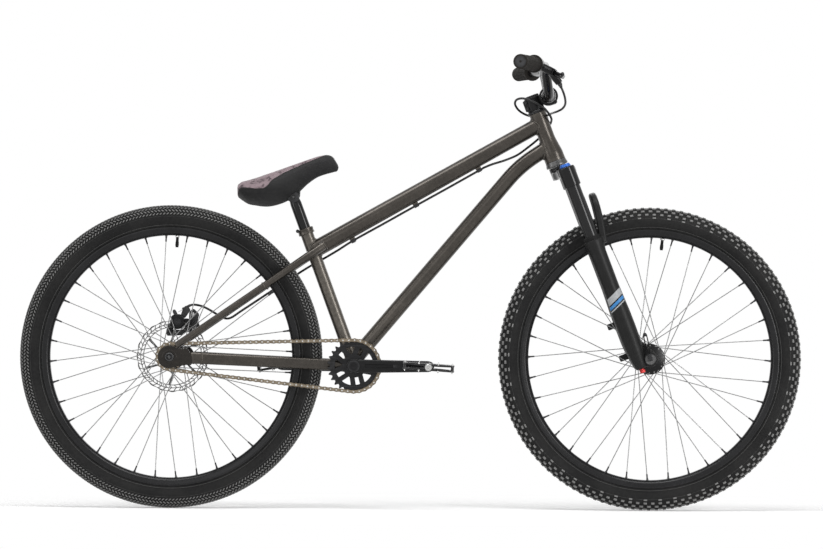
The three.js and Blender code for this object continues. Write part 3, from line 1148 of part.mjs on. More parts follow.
function forkLowers() {
  const sides = FORK.stanchionSides;
  const lowest = -legBottom;
  const pieces = [];
  const cuts = [];
  for (const side of [-1, 1]) {
    pieces.push(turnedZ([[0, lowest], [FORK.legCutRadius, lowest],
      [FORK.legLowerRadius, lowest + FORK.legTaper / 3],
      [FORK.legLowerRadius, lowest + FORK.legSwell - FORK.legTaper],
      [FORK.legRadius, lowest + FORK.legSwell],
      [FORK.legRadius, -FORK.sealDepth - FORK.sealHeight], [FORK.sealRadius,
        -FORK.sealDepth - FORK.sealHeight],
      [FORK.sealRadius, -FORK.sealDepth], [0, -FORK.sealDepth]], sides, legCentre(side, 0)));
    cuts.push(bar(legCentre(side, boreFoot), legCentre(side, -FORK.archTop),
      around(FORK.stanchionRadius + FIT.gap, sides), sides));
    const inner = side * (FRONT_HUB.width / 2 + FIT.gap);
    const outer = inner + side * FORK.dropoutThickness;
    const [low, high] = side < 0 ? [outer, inner] : [inner, outer];
    const { x, z } = axleInSteering;
    const radius = FORK.dropoutRadius;
    pieces.push(plateY(lugShares.map(([forward, rise]) => [
      FORK.legForward + forward * (x - FORK.legForward), z + rise * radius]), low, high));
    pieces.push(bar(vec(x, inner, z), vec(x, outer, z), radius, sides));
  }
  pieces.push(forkArch());
  for (const step of [0, 1]) {
    const z = axleInSteering.z + FORK.mountRise - step * FORK.mountSpacing;
    pieces.push(block(vec(-FORK.mountReach, FORK.mountInner, z - FORK.mountThickness / 2),
      vec(FORK.legForward, FORK.mountInner + FORK.mountWidth, z + FORK.mountThickness / 2)));
  }
  const wide = vec(0, FORK.legSpread * 2, 0);
  cuts.push(drill(axleInSteering.clone().sub(wide), axleInSteering.clone().add(wide),
    FRONT_HUB.axleRadius + FIT.gap, FRAME.tubeSides));
  const pocket = vec(0, FRONT_HUB.width / 2 + FIT.gap, 0);
  cuts.push(bar(axleInSteering.clone().sub(pocket), axleInSteering.clone().add(pocket),
    FRONT_HUB.endRadius + FORK.hubPocket, FRAME.tubeSides));
  const headFace = -pocket.y - FORK.dropoutThickness;
  cuts.push(bar(axleInSteering.clone().add(vec(0, headFace, 0)), axleInSteering.clone().sub(wide),
    FORK.axleHead + FORK.hubPocket, FRAME.tubeSides));
  return cut(join(...pieces), ...cuts);
}

function buildFork() {
  const sides = FORK.stanchionSides;
  place('fork_lowers', forkLowers(), FINISH.fork, steering);

  const sleeve = (side) => bar(legCentre(side, -FORK.sleeveBottom), legCentre(side, -FORK.sleeveTop),
    FORK.sleeveRadius, sides);
  const back = FORK.crownDepth;
  const ahead = FORK.legForward + FORK.crownDepth;
  const half = [[-back, 0], [-back, FORK.crownWaist / 2], [-back / 3, FORK.legSpread],
    [ahead - back / 3, FORK.legSpread], [ahead, FORK.crownWaist / 2]];
  const outline = [...half, ...half.slice(1).map(([x, y]) => [x, -y]).reverse()];
  const stemTop = stemBase + COCKPIT.stemClampHeight;
  const steerer = bar(vec(0, 0, -FORK.crownBottom), vec(0, 0, stemTop - FORK.steererShort),
    FORK.steererRadius, FORK.steererSides);
  const race = bar(vec(0, 0, -FORK.sleeveTop - FIT.overrun), vec(0, 0, -FRAME.cupHeight - FIT.gap * 2),
    FORK.raceRadius, FORK.steererSides);
  const bore = drill(vec(0, 0, -FORK.crownBottom), vec(0, 0, stemTop),
    FORK.steererRadius - FORK.steererWall, FORK.steererSides);
  const legBores = [-1, 1].map((side) => bar(legCentre(side, -FORK.sleeveBottom - FIT.overrun),
    legCentre(side, -FORK.sleeveTop - FORK.capWall), around(FORK.stanchionRadius + FIT.gap, sides), sides));
  place('fork_crown', cut(join(plateZ(outline, -FORK.crownBottom, -FORK.sleeveTop), sleeve(-1), sleeve(1),
    steerer, race), bore, ...legBores), FINISH.gloss, steering);

  for (const side of [-1, 1]) {
    const word = side < 0 ? 'right' : 'left';
    const top = legCentre(side, -FORK.sleeveTop - FORK.capWall - FIT.gap);
    const foot = legCentre(side, -stanchionFoot);
    place(`stanchion_${word}`, cut(bar(foot, top, FORK.stanchionRadius, sides),
      drill(foot, top, FORK.stanchionRadius - FORK.stanchionWall, sides)), FINISH.gloss, steering);
  }
  for (const [side, name] of [[-1, 'damper_shaft'], [1, 'spring_shaft']]) {
    const floor = boreFoot + FIT.gap;
    const pistonFoot = -FORK.pistonDepth - FORK.pistonHeight;
    const pistonRadius = FORK.stanchionRadius - FORK.stanchionWall - FIT.gap;
    place(name, turnedZ([[0, floor], [FORK.shaftFootRadius, floor],
      [FORK.shaftFootRadius, floor + FORK.pistonHeight],
      [FORK.shaftRadius, floor + FORK.pistonHeight], [FORK.shaftRadius, pistonFoot],
      [pistonRadius, pistonFoot], [pistonRadius, -FORK.pistonDepth], [0, -FORK.pistonDepth]],
    sides / 2, legCentre(side, 0)), FINISH.steel, steering);
  }
  const dialFoot = legCentre(-1, -FORK.sleeveTop + FIT.gap);
  const dialTop = legCentre(-1, -FORK.sleeveTop + FIT.gap + FORK.dialHeight);
  place('compression_dial', bar(dialFoot, dialTop, FORK.dialRadius, sides, FORK.dialRadius - FORK.dialGrip),
    FINISH.blue, steering);
  const capTop = legCentre(1, -FORK.sleeveTop + FIT.gap + FORK.dialHeight * 3 / 4);
  place('air_cap', bar(legCentre(1, -FORK.sleeveTop + FIT.gap), capTop, FORK.dialRadius, sides,
    FORK.dialRadius - FORK.dialGrip), FINISH.black, steering);

  const outer = FRONT_HUB.width / 2 + FIT.gap + FORK.dropoutThickness + FIT.gap;
  const shaft = FRONT_HUB.axleRadius;
  place('front_axle', turnedY([[0, -outer - FORK.axleHeadLength],
    [FORK.axleHead, -outer - FORK.axleHeadLength],
    [FORK.axleHead, -outer], [shaft, -outer], [shaft, outer - FIT.gap], [0, outer - FIT.gap]],
  FRAME.tubeSides, axleInSteering), FINISH.black, steering);

  const leverPivot = axleInSteering.clone()
    .add(vec(0, -outer - FORK.axleHeadLength - FIT.gap - FORK.leverThickness / 2, 0));
  const lever = new THREE.Group();
  lever.position.copy(leverPivot);
  lever.rotation.y = radians(FORK.leverLeanDegrees);
  steering.add(lever);
  const across = vec(FORK.leverWidth / 2, 0, 0);
  const hinge = bar(across.clone().negate(), across, FORK.leverThickness / 2, sides / 2);
  const tip = FORK.leverLength;
  const wide = FORK.leverWidth / 2;
  const blade = plateY([[-wide, 0], [wide, 0], [wide, tip - wide], [wide / 2, tip], [-wide / 2, tip],
    [-wide, tip - wide]], -FORK.leverThickness / 2, FORK.leverThickness / 2,
  [[[-FORK.leverBore / 2, tip - wide * 3], [-FORK.leverBore / 2, tip - wide],
    [FORK.leverBore / 2, tip - wide], [FORK.leverBore / 2, tip - wide * 3]]]);
  place('axle_lever', join(hinge, blade), FINISH.black, lever);

  const knobTop = legCentre(-1, -legBottom - FIT.gap);
  const knobFoot = legCentre(-1, -legBottom - FIT.gap - FORK.knobHeight);
  place('rebound_knob', bar(knobFoot, knobTop, FORK.knobRadius, sides / 2), FINISH.red, steering);
}

// Stem, handlebar and brake lever

const stemBase = FRAME.headTubeLength + FRAME.upperCupHeight + FIT.gap * 2;
const barInSteering = vec(COCKPIT.stemReach, 0, stemBase + COCKPIT.stemClampHeight / 2 + COCKPIT.stemRise);
const barCentre = headBottom.clone().addScaledVector(steerUp, barInSteering.z)
  .addScaledVector(steerAhead, barInSteering.x);

function buildStem() {
  const sides = FORK.steererSides;
  const top = stemBase + COCKPIT.stemClampHeight;
  const clamp = bar(vec(0, 0, stemBase), vec(0, 0, top), COCKPIT.stemClampRadius, sides);
  const neck = block(vec(0, -COCKPIT.stemNeckWidth / 2, barInSteering.z - COCKPIT.stemNeckHeight / 2),
    vec(COCKPIT.stemReach, COCKPIT.stemNeckWidth / 2, barInSteering.z + COCKPIT.stemNeckHeight / 2));
  const wide = vec(0, COCKPIT.barClampWidth / 2, 0);
  const ends = [barInSteering.clone().sub(wide), barInSteering.clone().add(wide)];
  const cuff = bar(...ends, COCKPIT.barClampRadius + COCKPIT.barClampWall, sides);
  const barHole = drill(...ends, COCKPIT.barClampRadius + FIT.gap, sides);
  const steererHole = drill(vec(0, 0, stemBase), vec(0, 0, top), FORK.steererRadius + FIT.gap, sides);
  const reach = COCKPIT.stemReach * 2;
  const split = (from, to) => block(vec(from, -COCKPIT.barClampWidth, barInSteering.z - COCKPIT.stemReach),
    vec(to, COCKPIT.barClampWidth, barInSteering.z + COCKPIT.stemReach));
  place('stem', cut(join(clamp, neck, cuff), barHole, steererHole, split(COCKPIT.stemReach, reach)),
    FINISH.black, steering);
  place('stem_faceplate', cut(cuff, barHole, split(-reach, COCKPIT.stemReach + FIT.gap)), FINISH.black,
    steering);
  place('top_cap', bar(vec(0, 0, top + FIT.gap), vec(0, 0, top + FIT.gap + COCKPIT.topCapHeight),
    COCKPIT.topCapRadius, sides), FINISH.black, steering);
}

// Bar stations from the middle outwards: reach along the bar, forward, up and radius.
function barStations() {
  const slope = COCKPIT.barSweep / (COCKPIT.barWidth / 2 - COCKPIT.riseEnd);
  const run = COCKPIT.riseEnd - COCKPIT.riseStart;
  const stations = [[COCKPIT.barCentre, 0, 0, COCKPIT.barClampRadius],
    [COCKPIT.riseStart, 0, 0, COCKPIT.barRadius]];
  const risingShares = [[0.25, 0.15, 0.2], [0.8, 0.8, 0.87], [1, 1, 1]];
  for (const [along, ahead, up] of risingShares) {
    stations.push([COCKPIT.riseStart + along * run, -ahead * COCKPIT.barForward, up * COCKPIT.barRise,
      COCKPIT.barRadius]);
  }
  const tip = COCKPIT.barWidth / 2;
  stations.push([tip, -COCKPIT.barForward - slope * (tip - COCKPIT.riseEnd), COCKPIT.barRise,
    COCKPIT.barRadius]);
  return stations;
}

function barPoint(y) {
  const stations = barStations();
  const reach = Math.abs(y);
  const i = Math.max(1, stations.findIndex(([along]) => along >= reach));
  const [a, b] = [stations[i - 1], stations[i]];
  const share = (reach - a[0]) / (b[0] - a[0]);
  const mix = (k) => a[k] + (b[k] - a[k]) * share;
  return barCentre.clone().add(vec(mix(1), y, mix(2)));
}

function buildBar() {
  const tip = COCKPIT.barWidth / 2 - COCKPIT.gripCap - FIT.gap;
  const half = barStations();
  const toPoint = (side) => ([along]) => barPoint(side * Math.min(along, tip));
  const mirrored = half.slice().reverse();
  const points = [...mirrored.map(toPoint(-1)), ...half.map(toPoint(1))];
  const radii = [...mirrored, ...half].map((station) => station[3]);
  const outer = mitredTube(points, radii, COCKPIT.barSides);
  const inner = mitredTube(points, radii.map((radius) => radius - COCKPIT.barWall), COCKPIT.barSides);
  place('handlebar', cut(outer, inner), FINISH.black);

  for (const side of [-1, 1]) {
    const word = side < 0 ? 'right' : 'left';
    const end = barPoint(side * COCKPIT.barWidth / 2);
    const start = barPoint(side * (COCKPIT.barWidth / 2 - COCKPIT.gripLength));
    const along = end.clone().sub(start).normalize();
    const flangeEnd = start.clone().addScaledVector(along, COCKPIT.gripFlangeWidth);
    const stopEnd = end.clone().addScaledVector(along, -COCKPIT.gripCap);
    const sides = COCKPIT.barSides;
    const bore = bar(start.clone().addScaledVector(along, -FIT.overrun), stopEnd,
      around(COCKPIT.barRadius + FIT.gap, sides), sides);
    place(`grip_${word}`, cut(join(bar(start, end, COCKPIT.gripRadius, sides),
      bar(start, flangeEnd, COCKPIT.gripFlange, sides)), bore), FINISH.grip);
  }
}

// The blade from its pivot outwards, as shares of its length, its bow and its width.
const bladeShares = [[0.02, 0, 1], [0.11, 0.55, 1], [0.26, 1, 1], [0.6, 0.94, 1], [0.92, 0.84, 1],
  [1, 0.95, 0.6]];

const leverOffset = COCKPIT.barWidth / 2 - COCKPIT.gripLength - COCKPIT.leverGap;

function leverFrame() {
  const root = barPoint(-leverOffset);
  const ahead = vec(COCKPIT.leverReach, 0, -COCKPIT.leverDrop).normalize();
  const pivot = root.clone().addScaledVector(ahead, Math.hypot(COCKPIT.leverReach, COCKPIT.leverDrop))
    .add(vec(0, COCKPIT.pivotInset, 0));
  const axis = ahead.clone().cross(SIDEWAYS).normalize();
  return { root, ahead, pivot, axis };
}

function buildLever() {
  const { root, ahead, pivot, axis } = leverFrame();
  const sides = COCKPIT.barSides;
  const along = barPoint(-leverOffset - COCKPIT.leverClampWidth).sub(root).normalize();
  const halfClamp = along.clone().multiplyScalar(COCKPIT.leverClampWidth / 2);
  const ends = [root.clone().sub(halfClamp), root.clone().add(halfClamp)];
  const bore = drill(root.clone().addScaledVector(halfClamp, -3),
    root.clone().addScaledVector(halfClamp, 3),
    COCKPIT.barRadius + FIT.gap, sides);
  const clamp = bar(...ends, COCKPIT.leverClampRadius, sides);
  const thick = axis.clone().multiplyScalar(COCKPIT.bodyThickness / 2);
  const wide = SIDEWAYS.clone().multiplyScalar(COCKPIT.bodyWidth / 2);
  const nose = pivot.clone().addScaledVector(ahead, COCKPIT.pivotRadius * 2);
  const arm = loft([ringAt(root, wide, thick, 8, 4), ringAt(nose, wide, thick, 8, 4)]);
  const [exit, next] = loopCablePoints();
  const outward = next.clone().sub(exit).normalize();
  const barrelFoot = exit.clone().addScaledVector(outward, -COCKPIT.barrelLength);
  const barrel = bar(barrelFoot, exit.clone().addScaledVector(outward, -FIT.gap), COCKPIT.barrelRadius,
    sides / 2);
  const neck = bar(root.clone().lerp(pivot, 2 / 3), barrelFoot.clone().addScaledVector(outward,
    FIT.overrun / 2),
    COCKPIT.barrelRadius, sides / 2);
  const bladeThick = axis.clone().multiplyScalar(COCKPIT.bladeThickness / 2 + FIT.gap);
  const mouth = bar(pivot.clone().sub(bladeThick), pivot.clone().add(bladeThick),
    around(COCKPIT.bladeRoot + FIT.gap, sides), sides);
  const pin = bar(pivot.clone().sub(thick), pivot.clone().add(thick), COCKPIT.pivotRadius, sides / 2);
  const slot = beam(pivot, pivot.clone().add(vec(0, -COCKPIT.bodyWidth * 2, 0)),
    ahead.clone().multiplyScalar(COCKPIT.bladeRoot * 2), bladeThick);
  place('brake_lever_body', join(cut(join(clamp, arm, neck, barrel), mouth, slot, bore), pin),
    FINISH.black);

  const rings = bladeShares.map(([out, bow, wideShare]) => ringAt(pivot.clone()
    .add(vec(0, -out * COCKPIT.bladeLength, 0)).addScaledVector(ahead, bow * COCKPIT.bladeBow),
  ahead.clone().multiplyScalar(wideShare * COCKPIT.bladeWidth / 2),
  axis.clone().multiplyScalar(COCKPIT.bladeThickness / 2), 8, 4));
  const hub = bar(pivot.clone().addScaledVector(axis, -COCKPIT.bladeThickness / 2),
    pivot.clone().addScaledVector(axis, COCKPIT.bladeThickness / 2), COCKPIT.bladeRoot, sides);
  const pinHole = drill(pivot.clone().sub(thick), pivot.clone().add(thick),
    COCKPIT.pivotRadius + FIT.gap, sides / 2);
  place('brake_lever_blade', cut(join(hub, loft(rings)), pinHole), FINISH.black);
}

// Rear brake cable

function buildCable() {
  place('brake_cable_frame', tubeThrough(frameCablePoints(), CABLE.radius, CABLE.sides, CABLE.frameSteps),
    FINISH.rubber);
  place('brake_cable_loop', tubeThrough(loopCablePoints(), CABLE.radius, CABLE.loopSides, CABLE.loopSteps),
    FINISH.rubber);
}

buildFrame();
buildSeat();
buildFrontWheel();
buildRearWheel();
buildDrive();
buildRotor();
buildCaliper();
buildFork();
buildStem();
buildBar();
buildLever();
buildCable();

export default bike;
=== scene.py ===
"""Looks of a dirt jump bike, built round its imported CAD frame.

Sizes in this file are millimetres until a mesh is made. The frame's X points forward, Y to the
rider's left and Z up, and the ground lies at Z zero under the middle of the wheelbase.
"""

import logging
import math
from dataclasses import dataclass, field
from enum import Enum
from typing import Callable, Iterable, Sequence

import bmesh
import bpy
import numpy as np
from mathutils import Matrix, Vector
from mathutils.geometry import tessellate_polygon

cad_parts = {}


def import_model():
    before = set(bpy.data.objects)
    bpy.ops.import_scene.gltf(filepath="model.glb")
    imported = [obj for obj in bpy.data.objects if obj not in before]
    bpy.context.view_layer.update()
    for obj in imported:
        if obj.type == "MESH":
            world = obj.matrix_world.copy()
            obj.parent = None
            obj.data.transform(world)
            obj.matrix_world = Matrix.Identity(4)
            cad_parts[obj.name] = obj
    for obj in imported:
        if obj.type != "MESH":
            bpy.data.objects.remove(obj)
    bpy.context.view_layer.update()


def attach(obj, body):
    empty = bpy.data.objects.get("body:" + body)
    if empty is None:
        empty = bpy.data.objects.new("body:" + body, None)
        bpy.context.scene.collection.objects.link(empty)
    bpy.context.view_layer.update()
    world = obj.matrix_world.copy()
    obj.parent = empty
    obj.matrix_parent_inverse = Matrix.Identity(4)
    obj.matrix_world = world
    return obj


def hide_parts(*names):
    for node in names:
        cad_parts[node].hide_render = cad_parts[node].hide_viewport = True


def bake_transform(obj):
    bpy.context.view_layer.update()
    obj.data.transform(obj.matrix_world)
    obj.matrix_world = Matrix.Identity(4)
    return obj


log = logging.getLogger("dirt_jump_bike")

MM = 0.001
Point = Sequence[float]
Flat = list[tuple[float, float]]
SIDES = ((-1, "right"), (1, "left"))
WHITE = (1, 1, 1, 1)
TINY = 1e-9


# Named choices


class Body(str, Enum):
    """Bodies of the CAD frame that pieces ride on."""

    FRAME = "frame"
    SEATPOST = "seatpost"
    SADDLE = "saddle"
    CRANKS = "cranks"
    PEDAL_RIGHT = "pedal_right"
    PEDAL_LEFT = "pedal_left"
    REAR_WHEEL = "rear_wheel"
    REAR_COG = "rear_cog"
    CALIPER_ARM = "caliper_arm"
    STEERING = "steering"
    DIAL = "compression_dial"
    BLADE = "brake_lever_blade"
    LOWERS = "fork_lowers"
    AXLE_LEVER = "axle_lever"
    KNOB = "rebound_knob"
    FRONT_WHEEL = "front_wheel"


class Slot(str, Enum):
    """Material slots of the record."""

    FRAME = "frame_paint"
    BLACK = "black_metal"
    GLOSS = "gloss_black"
    FORK = "fork_black"
    STEEL = "steel"
    CHAIN = "chain_steel"
    TYRE = "tyre_rubber"
    CABLE = "cable_jacket"
    GRIP = "grip_rubber"
    VINYL = "saddle_vinyl"
    RED = "red_anodised"
    BLUE = "blue_anodised"


class Grain(Enum):
    """Fine texture of a finish."""

    BRUSHED = "long lines along the piece"
    CAST = "fine rounded dimples"
    MATT = "soft specks"
    HIDE = "pebbled skin"
    MOTTLED = "clouded pattern on a pebbled skin"
    # Its lighter block tops are painted highlight.
    TREAD = "worn block tops over dark grooves"


class Tread(Enum):
    """Tread patterns, as rows of blocks from the middle of a tyre out to its right side.

    A row is its share of the section, its count of blocks, how far it is shifted in blocks, and
    the blocks' length, width, slant and height, the last as a share of a full knob.
    """

    SQUARE = ((0.5, 120, 0.0, 8.6, 5.4, 0, 1.45), (0.452, 120, 0.0, 8.6, 5.4, 0, 1.45),
              (0.402, 120, 0.5, 9.4, 5.6, 0, 1.4), (0.348, 120, 0.0, 9.4, 5.2, 0, 1.2),
              (0.292, 120, 0.5, 8.4, 4.8, 0, 1.0), (0.238, 60, 0.25, 9.0, 3.6, 0, 0.6))
    ZIGZAG = ((0.474, 260, 0.0, 3.7, 6.0, 4, 1.0),
              (0.418, 260, 0.5, 3.7, 5.6, -4, 1.0), (0.365, 260, 0.0, 3.6, 5.2, 4, 1.0),
              (0.316, 260, 0.5, 3.6, 5.0, -4, 0.9), (0.270, 260, 0.0, 3.0, 4.4, 4, 0.7))


# Points and paths


def vec(x: float, y: float, z: float) -> np.ndarray:
    """Returns a point as an array."""
    return np.array((x, y, z), float)


def unit(v: np.ndarray) -> np.ndarray:
    """Returns the vector at length one."""
    return v / np.linalg.norm(v)


def units(rows: np.ndarray) -> np.ndarray:
    """Returns every row at length one."""
    return rows / np.maximum(np.linalg.norm(rows, axis=1, keepdims=True), TINY)


def in_side_plane(centre: np.ndarray, radius: float, angle: float) -> np.ndarray:
    """Returns the point of a circle that stands in the bike's side plane."""
    return centre + vec(math.cos(angle) * radius, 0, math.sin(angle) * radius)


def eased(at: float, places: Sequence[float], values: Sequence[float]) -> float:
    """Returns the value of a smooth curve through a table of points, at one place.

    Args:
        at: Place along the table.
        places: Places of the table, rising.
        values: Values at those places.

    Returns:
        The value.
    """
    slopes = np.gradient(np.array(values, float), np.array(places, float))
    i = int(np.clip(np.searchsorted(places, at) - 1, 0, len(places) - 2))
    gap = places[i + 1] - places[i]
    t = min(max((at - places[i]) / gap, 0.0), 1.0)
    return float((1 + 2 * t) * (1 - t) ** 2 * values[i] + t * (1 - t) ** 2 * gap * slopes[i]
                 + t * t * (3 - 2 * t) * values[i + 1] + t * t * (t - 1) * gap * slopes[i + 1])


def lerp(a: np.ndarray, b: np.ndarray, share: float) -> np.ndarray:
    """Returns the point that lies a share of the way from a to b."""
    return a + (b - a) * share


def axes(origin: Point, x: Point, y: Point, z: Point) -> np.ndarray:
    """Returns the 4 by 4 matrix that places local axes in the frame.

    Args:
        origin: Place of the local zero.
        x: Direction of local X.
        y: Direction of local Y.
        z: Direction of local Z.

    Returns:
        The matrix.
    """
    m = np.eye(4)
    m[:3, 0], m[:3, 1], m[:3, 2], m[:3, 3] = x, y, z, origin
    return m


def aimed(origin: Point, along: Point, hint: Point = (0, 0, 1)) -> np.ndarray:
    """Returns a matrix whose local Z runs along a direction.

    Args:
        origin: Place of the local zero.
        along: Direction of local Z.
        hint: Direction that local Y leans towards.

    Returns:
        The 4 by 4 matrix.
    """
    z = unit(np.array(along, float))
    h = np.array(hint, float)
    if abs(z @ unit(h)) > 0.99:
        h = vec(1, 0, 0)
    x = unit(np.cross(h, z))
    return axes(origin, x, np.cross(z, x), z)


def facing_side(centre: Point, side: int = -1) -> np.ndarray:
    """Returns a matrix with local XY in the bike's side plane and local Z out to one side."""
    return axes(centre, (-side, 0, 0), (0, 0, 1), (0, side, 0))


def shifted(place: np.ndarray, x: float, y: float, z: float) -> np.ndarray:
    """Returns a matrix moved along its own axes."""
    return place @ axes((x, y, z), *np.eye(3))


def turn(degrees: float, axis: str) -> np.ndarray:
    """Returns a rotation about a local axis."""
    return np.array(Matrix.Rotation(math.radians(degrees), 4, axis))


def rounded_path(points: Sequence[Point], per_span: int = 8) -> np.ndarray:
    """Returns a smooth curve that passes through every point.

    Args:
        points: Points in order.
        per_span: Steps between two points.

    Returns:
        Array of points along the curve.
    """
    p = np.array(points, float)
    p = np.vstack([2 * p[0] - p[1], p, 2 * p[-1] - p[-2]])
    out = []
    for i in range(1, len(p) - 2):
        for t in np.linspace(0, 1, per_span, endpoint=False):
            a, b, c, d = p[i - 1 : i + 3]
            out.append(
                0.5 * (2 * b + (c - a) * t + (2 * a - 5 * b + 4 * c - d) * t * t
                       + (3 * b - a - 3 * c + d) * t**3)
            )
    out.append(p[-2])
    return np.array(out)


def bent_path(points: Sequence[Point], radius: float, steps: int = 8) -> np.ndarray:
    """Returns straight runs whose corners are rounded.

    Args:
        points: Ends and corners in order.
        radius: Length that each corner takes from its runs.
        steps: Steps round a corner.

    Returns:
        Array of points along the path.
    """
    p = [np.array(q, float) for q in points]
    out = [p[0]]
    for a, b, c in zip(p, p[1:], p[2:]):
        r = min(radius, np.linalg.norm(b - a) * 0.49, np.linalg.norm(c - b) * 0.49)
        start, end = b + unit(a - b) * r, b + unit(c - b) * r
        for t in np.linspace(0, 1, steps + 1):
            out.append((1 - t) ** 2 * start + 2 * t * (1 - t) * b + t * t * end)
    out.append(p[-1])
    return np.array(out)


def arc(radius: float, low: float, high: float, steps: int) -> Flat:
    """Returns flat points round an arc between two angles."""
    return [(radius * math.cos(a), radius * math.sin(a)) for a in np.linspace(low, high, steps)]


def circle(radius: float, sides: int, centre: Point = (0, 0)) -> Flat:
    """Returns a round outline, anticlockwise."""
    ring = arc(radius, 0, 2 * math.pi, sides + 1)[:-1]
    return [(centre[0] + x, centre[1] + y) for x, y in ring]


def even(half: Flat) -> Flat:
    """Returns a profile that is the same on both sides of zero, from its upper half."""
    return [(r, -y) for r, y in half if y] + half[::-1]


def rounded(outline: Flat, radius: float, steps: int = 5) -> Flat:
    """Returns a closed outline whose corners are rounded.

    Args:
        outline: Corners in order.
        radius: Length that each corner takes from its sides.
        steps: Steps round a corner.

    Returns:
        The outline.
    """
    out: Flat = []
    n = len(outline)
    for i in range(n):
        a, b, c = (np.array(outline[k % n], float) for k in (i - 1, i, i + 1))
        r = min(radius, np.linalg.norm(b - a) * 0.48, np.linalg.norm(c - b) * 0.48)
        start, end = b + unit(a - b) * r, b + unit(c - b) * r
        for t in np.linspace(0, 1, steps + 1):
            out.append(tuple((1 - t) ** 2 * start + 2 * t * (1 - t) * b + t * t * end))
    return out


def oblong(left: float, low: float, right: float, high: float, radius: float = 0) -> Flat:
    """Returns a rectangle, with rounded corners where a radius is given."""
    corners = [(left, low), (right, low), (right, high), (left, high)]
    return rounded(corners, radius) if radius else corners


def inset(outline: Flat, distance: float) -> Flat:
    """Returns an outline moved inwards, taking anticlockwise as solid inside.

    Args:
        outline: Corners in order.
        distance: How far it moves.

    Returns:
        The outline, with as many points.
    """
    p = np.array(outline, float)
    quarter = np.array([(0.0, 1.0), (-1.0, 0.0)])
    back, ahead = (units(step @ quarter) for step in (p - np.roll(p, 1, 0), np.roll(p, -1, 0) - p))
    middle = units(back + ahead)
    grow = 1 / np.clip((middle * ahead).sum(1, keepdims=True), 0.5, 1)
    return [tuple(q) for q in p + middle * grow * distance]


def wound(outline: Flat, anticlockwise: bool) -> Flat:
    """Returns the outline in the asked direction."""
    area = sum(a[0] * b[1] - b[0] * a[1] for a, b in zip(outline, outline[1:] + outline[:1]))
    return list(outline) if (area > 0) == anticlockwise else list(reversed(outline))


# Skins


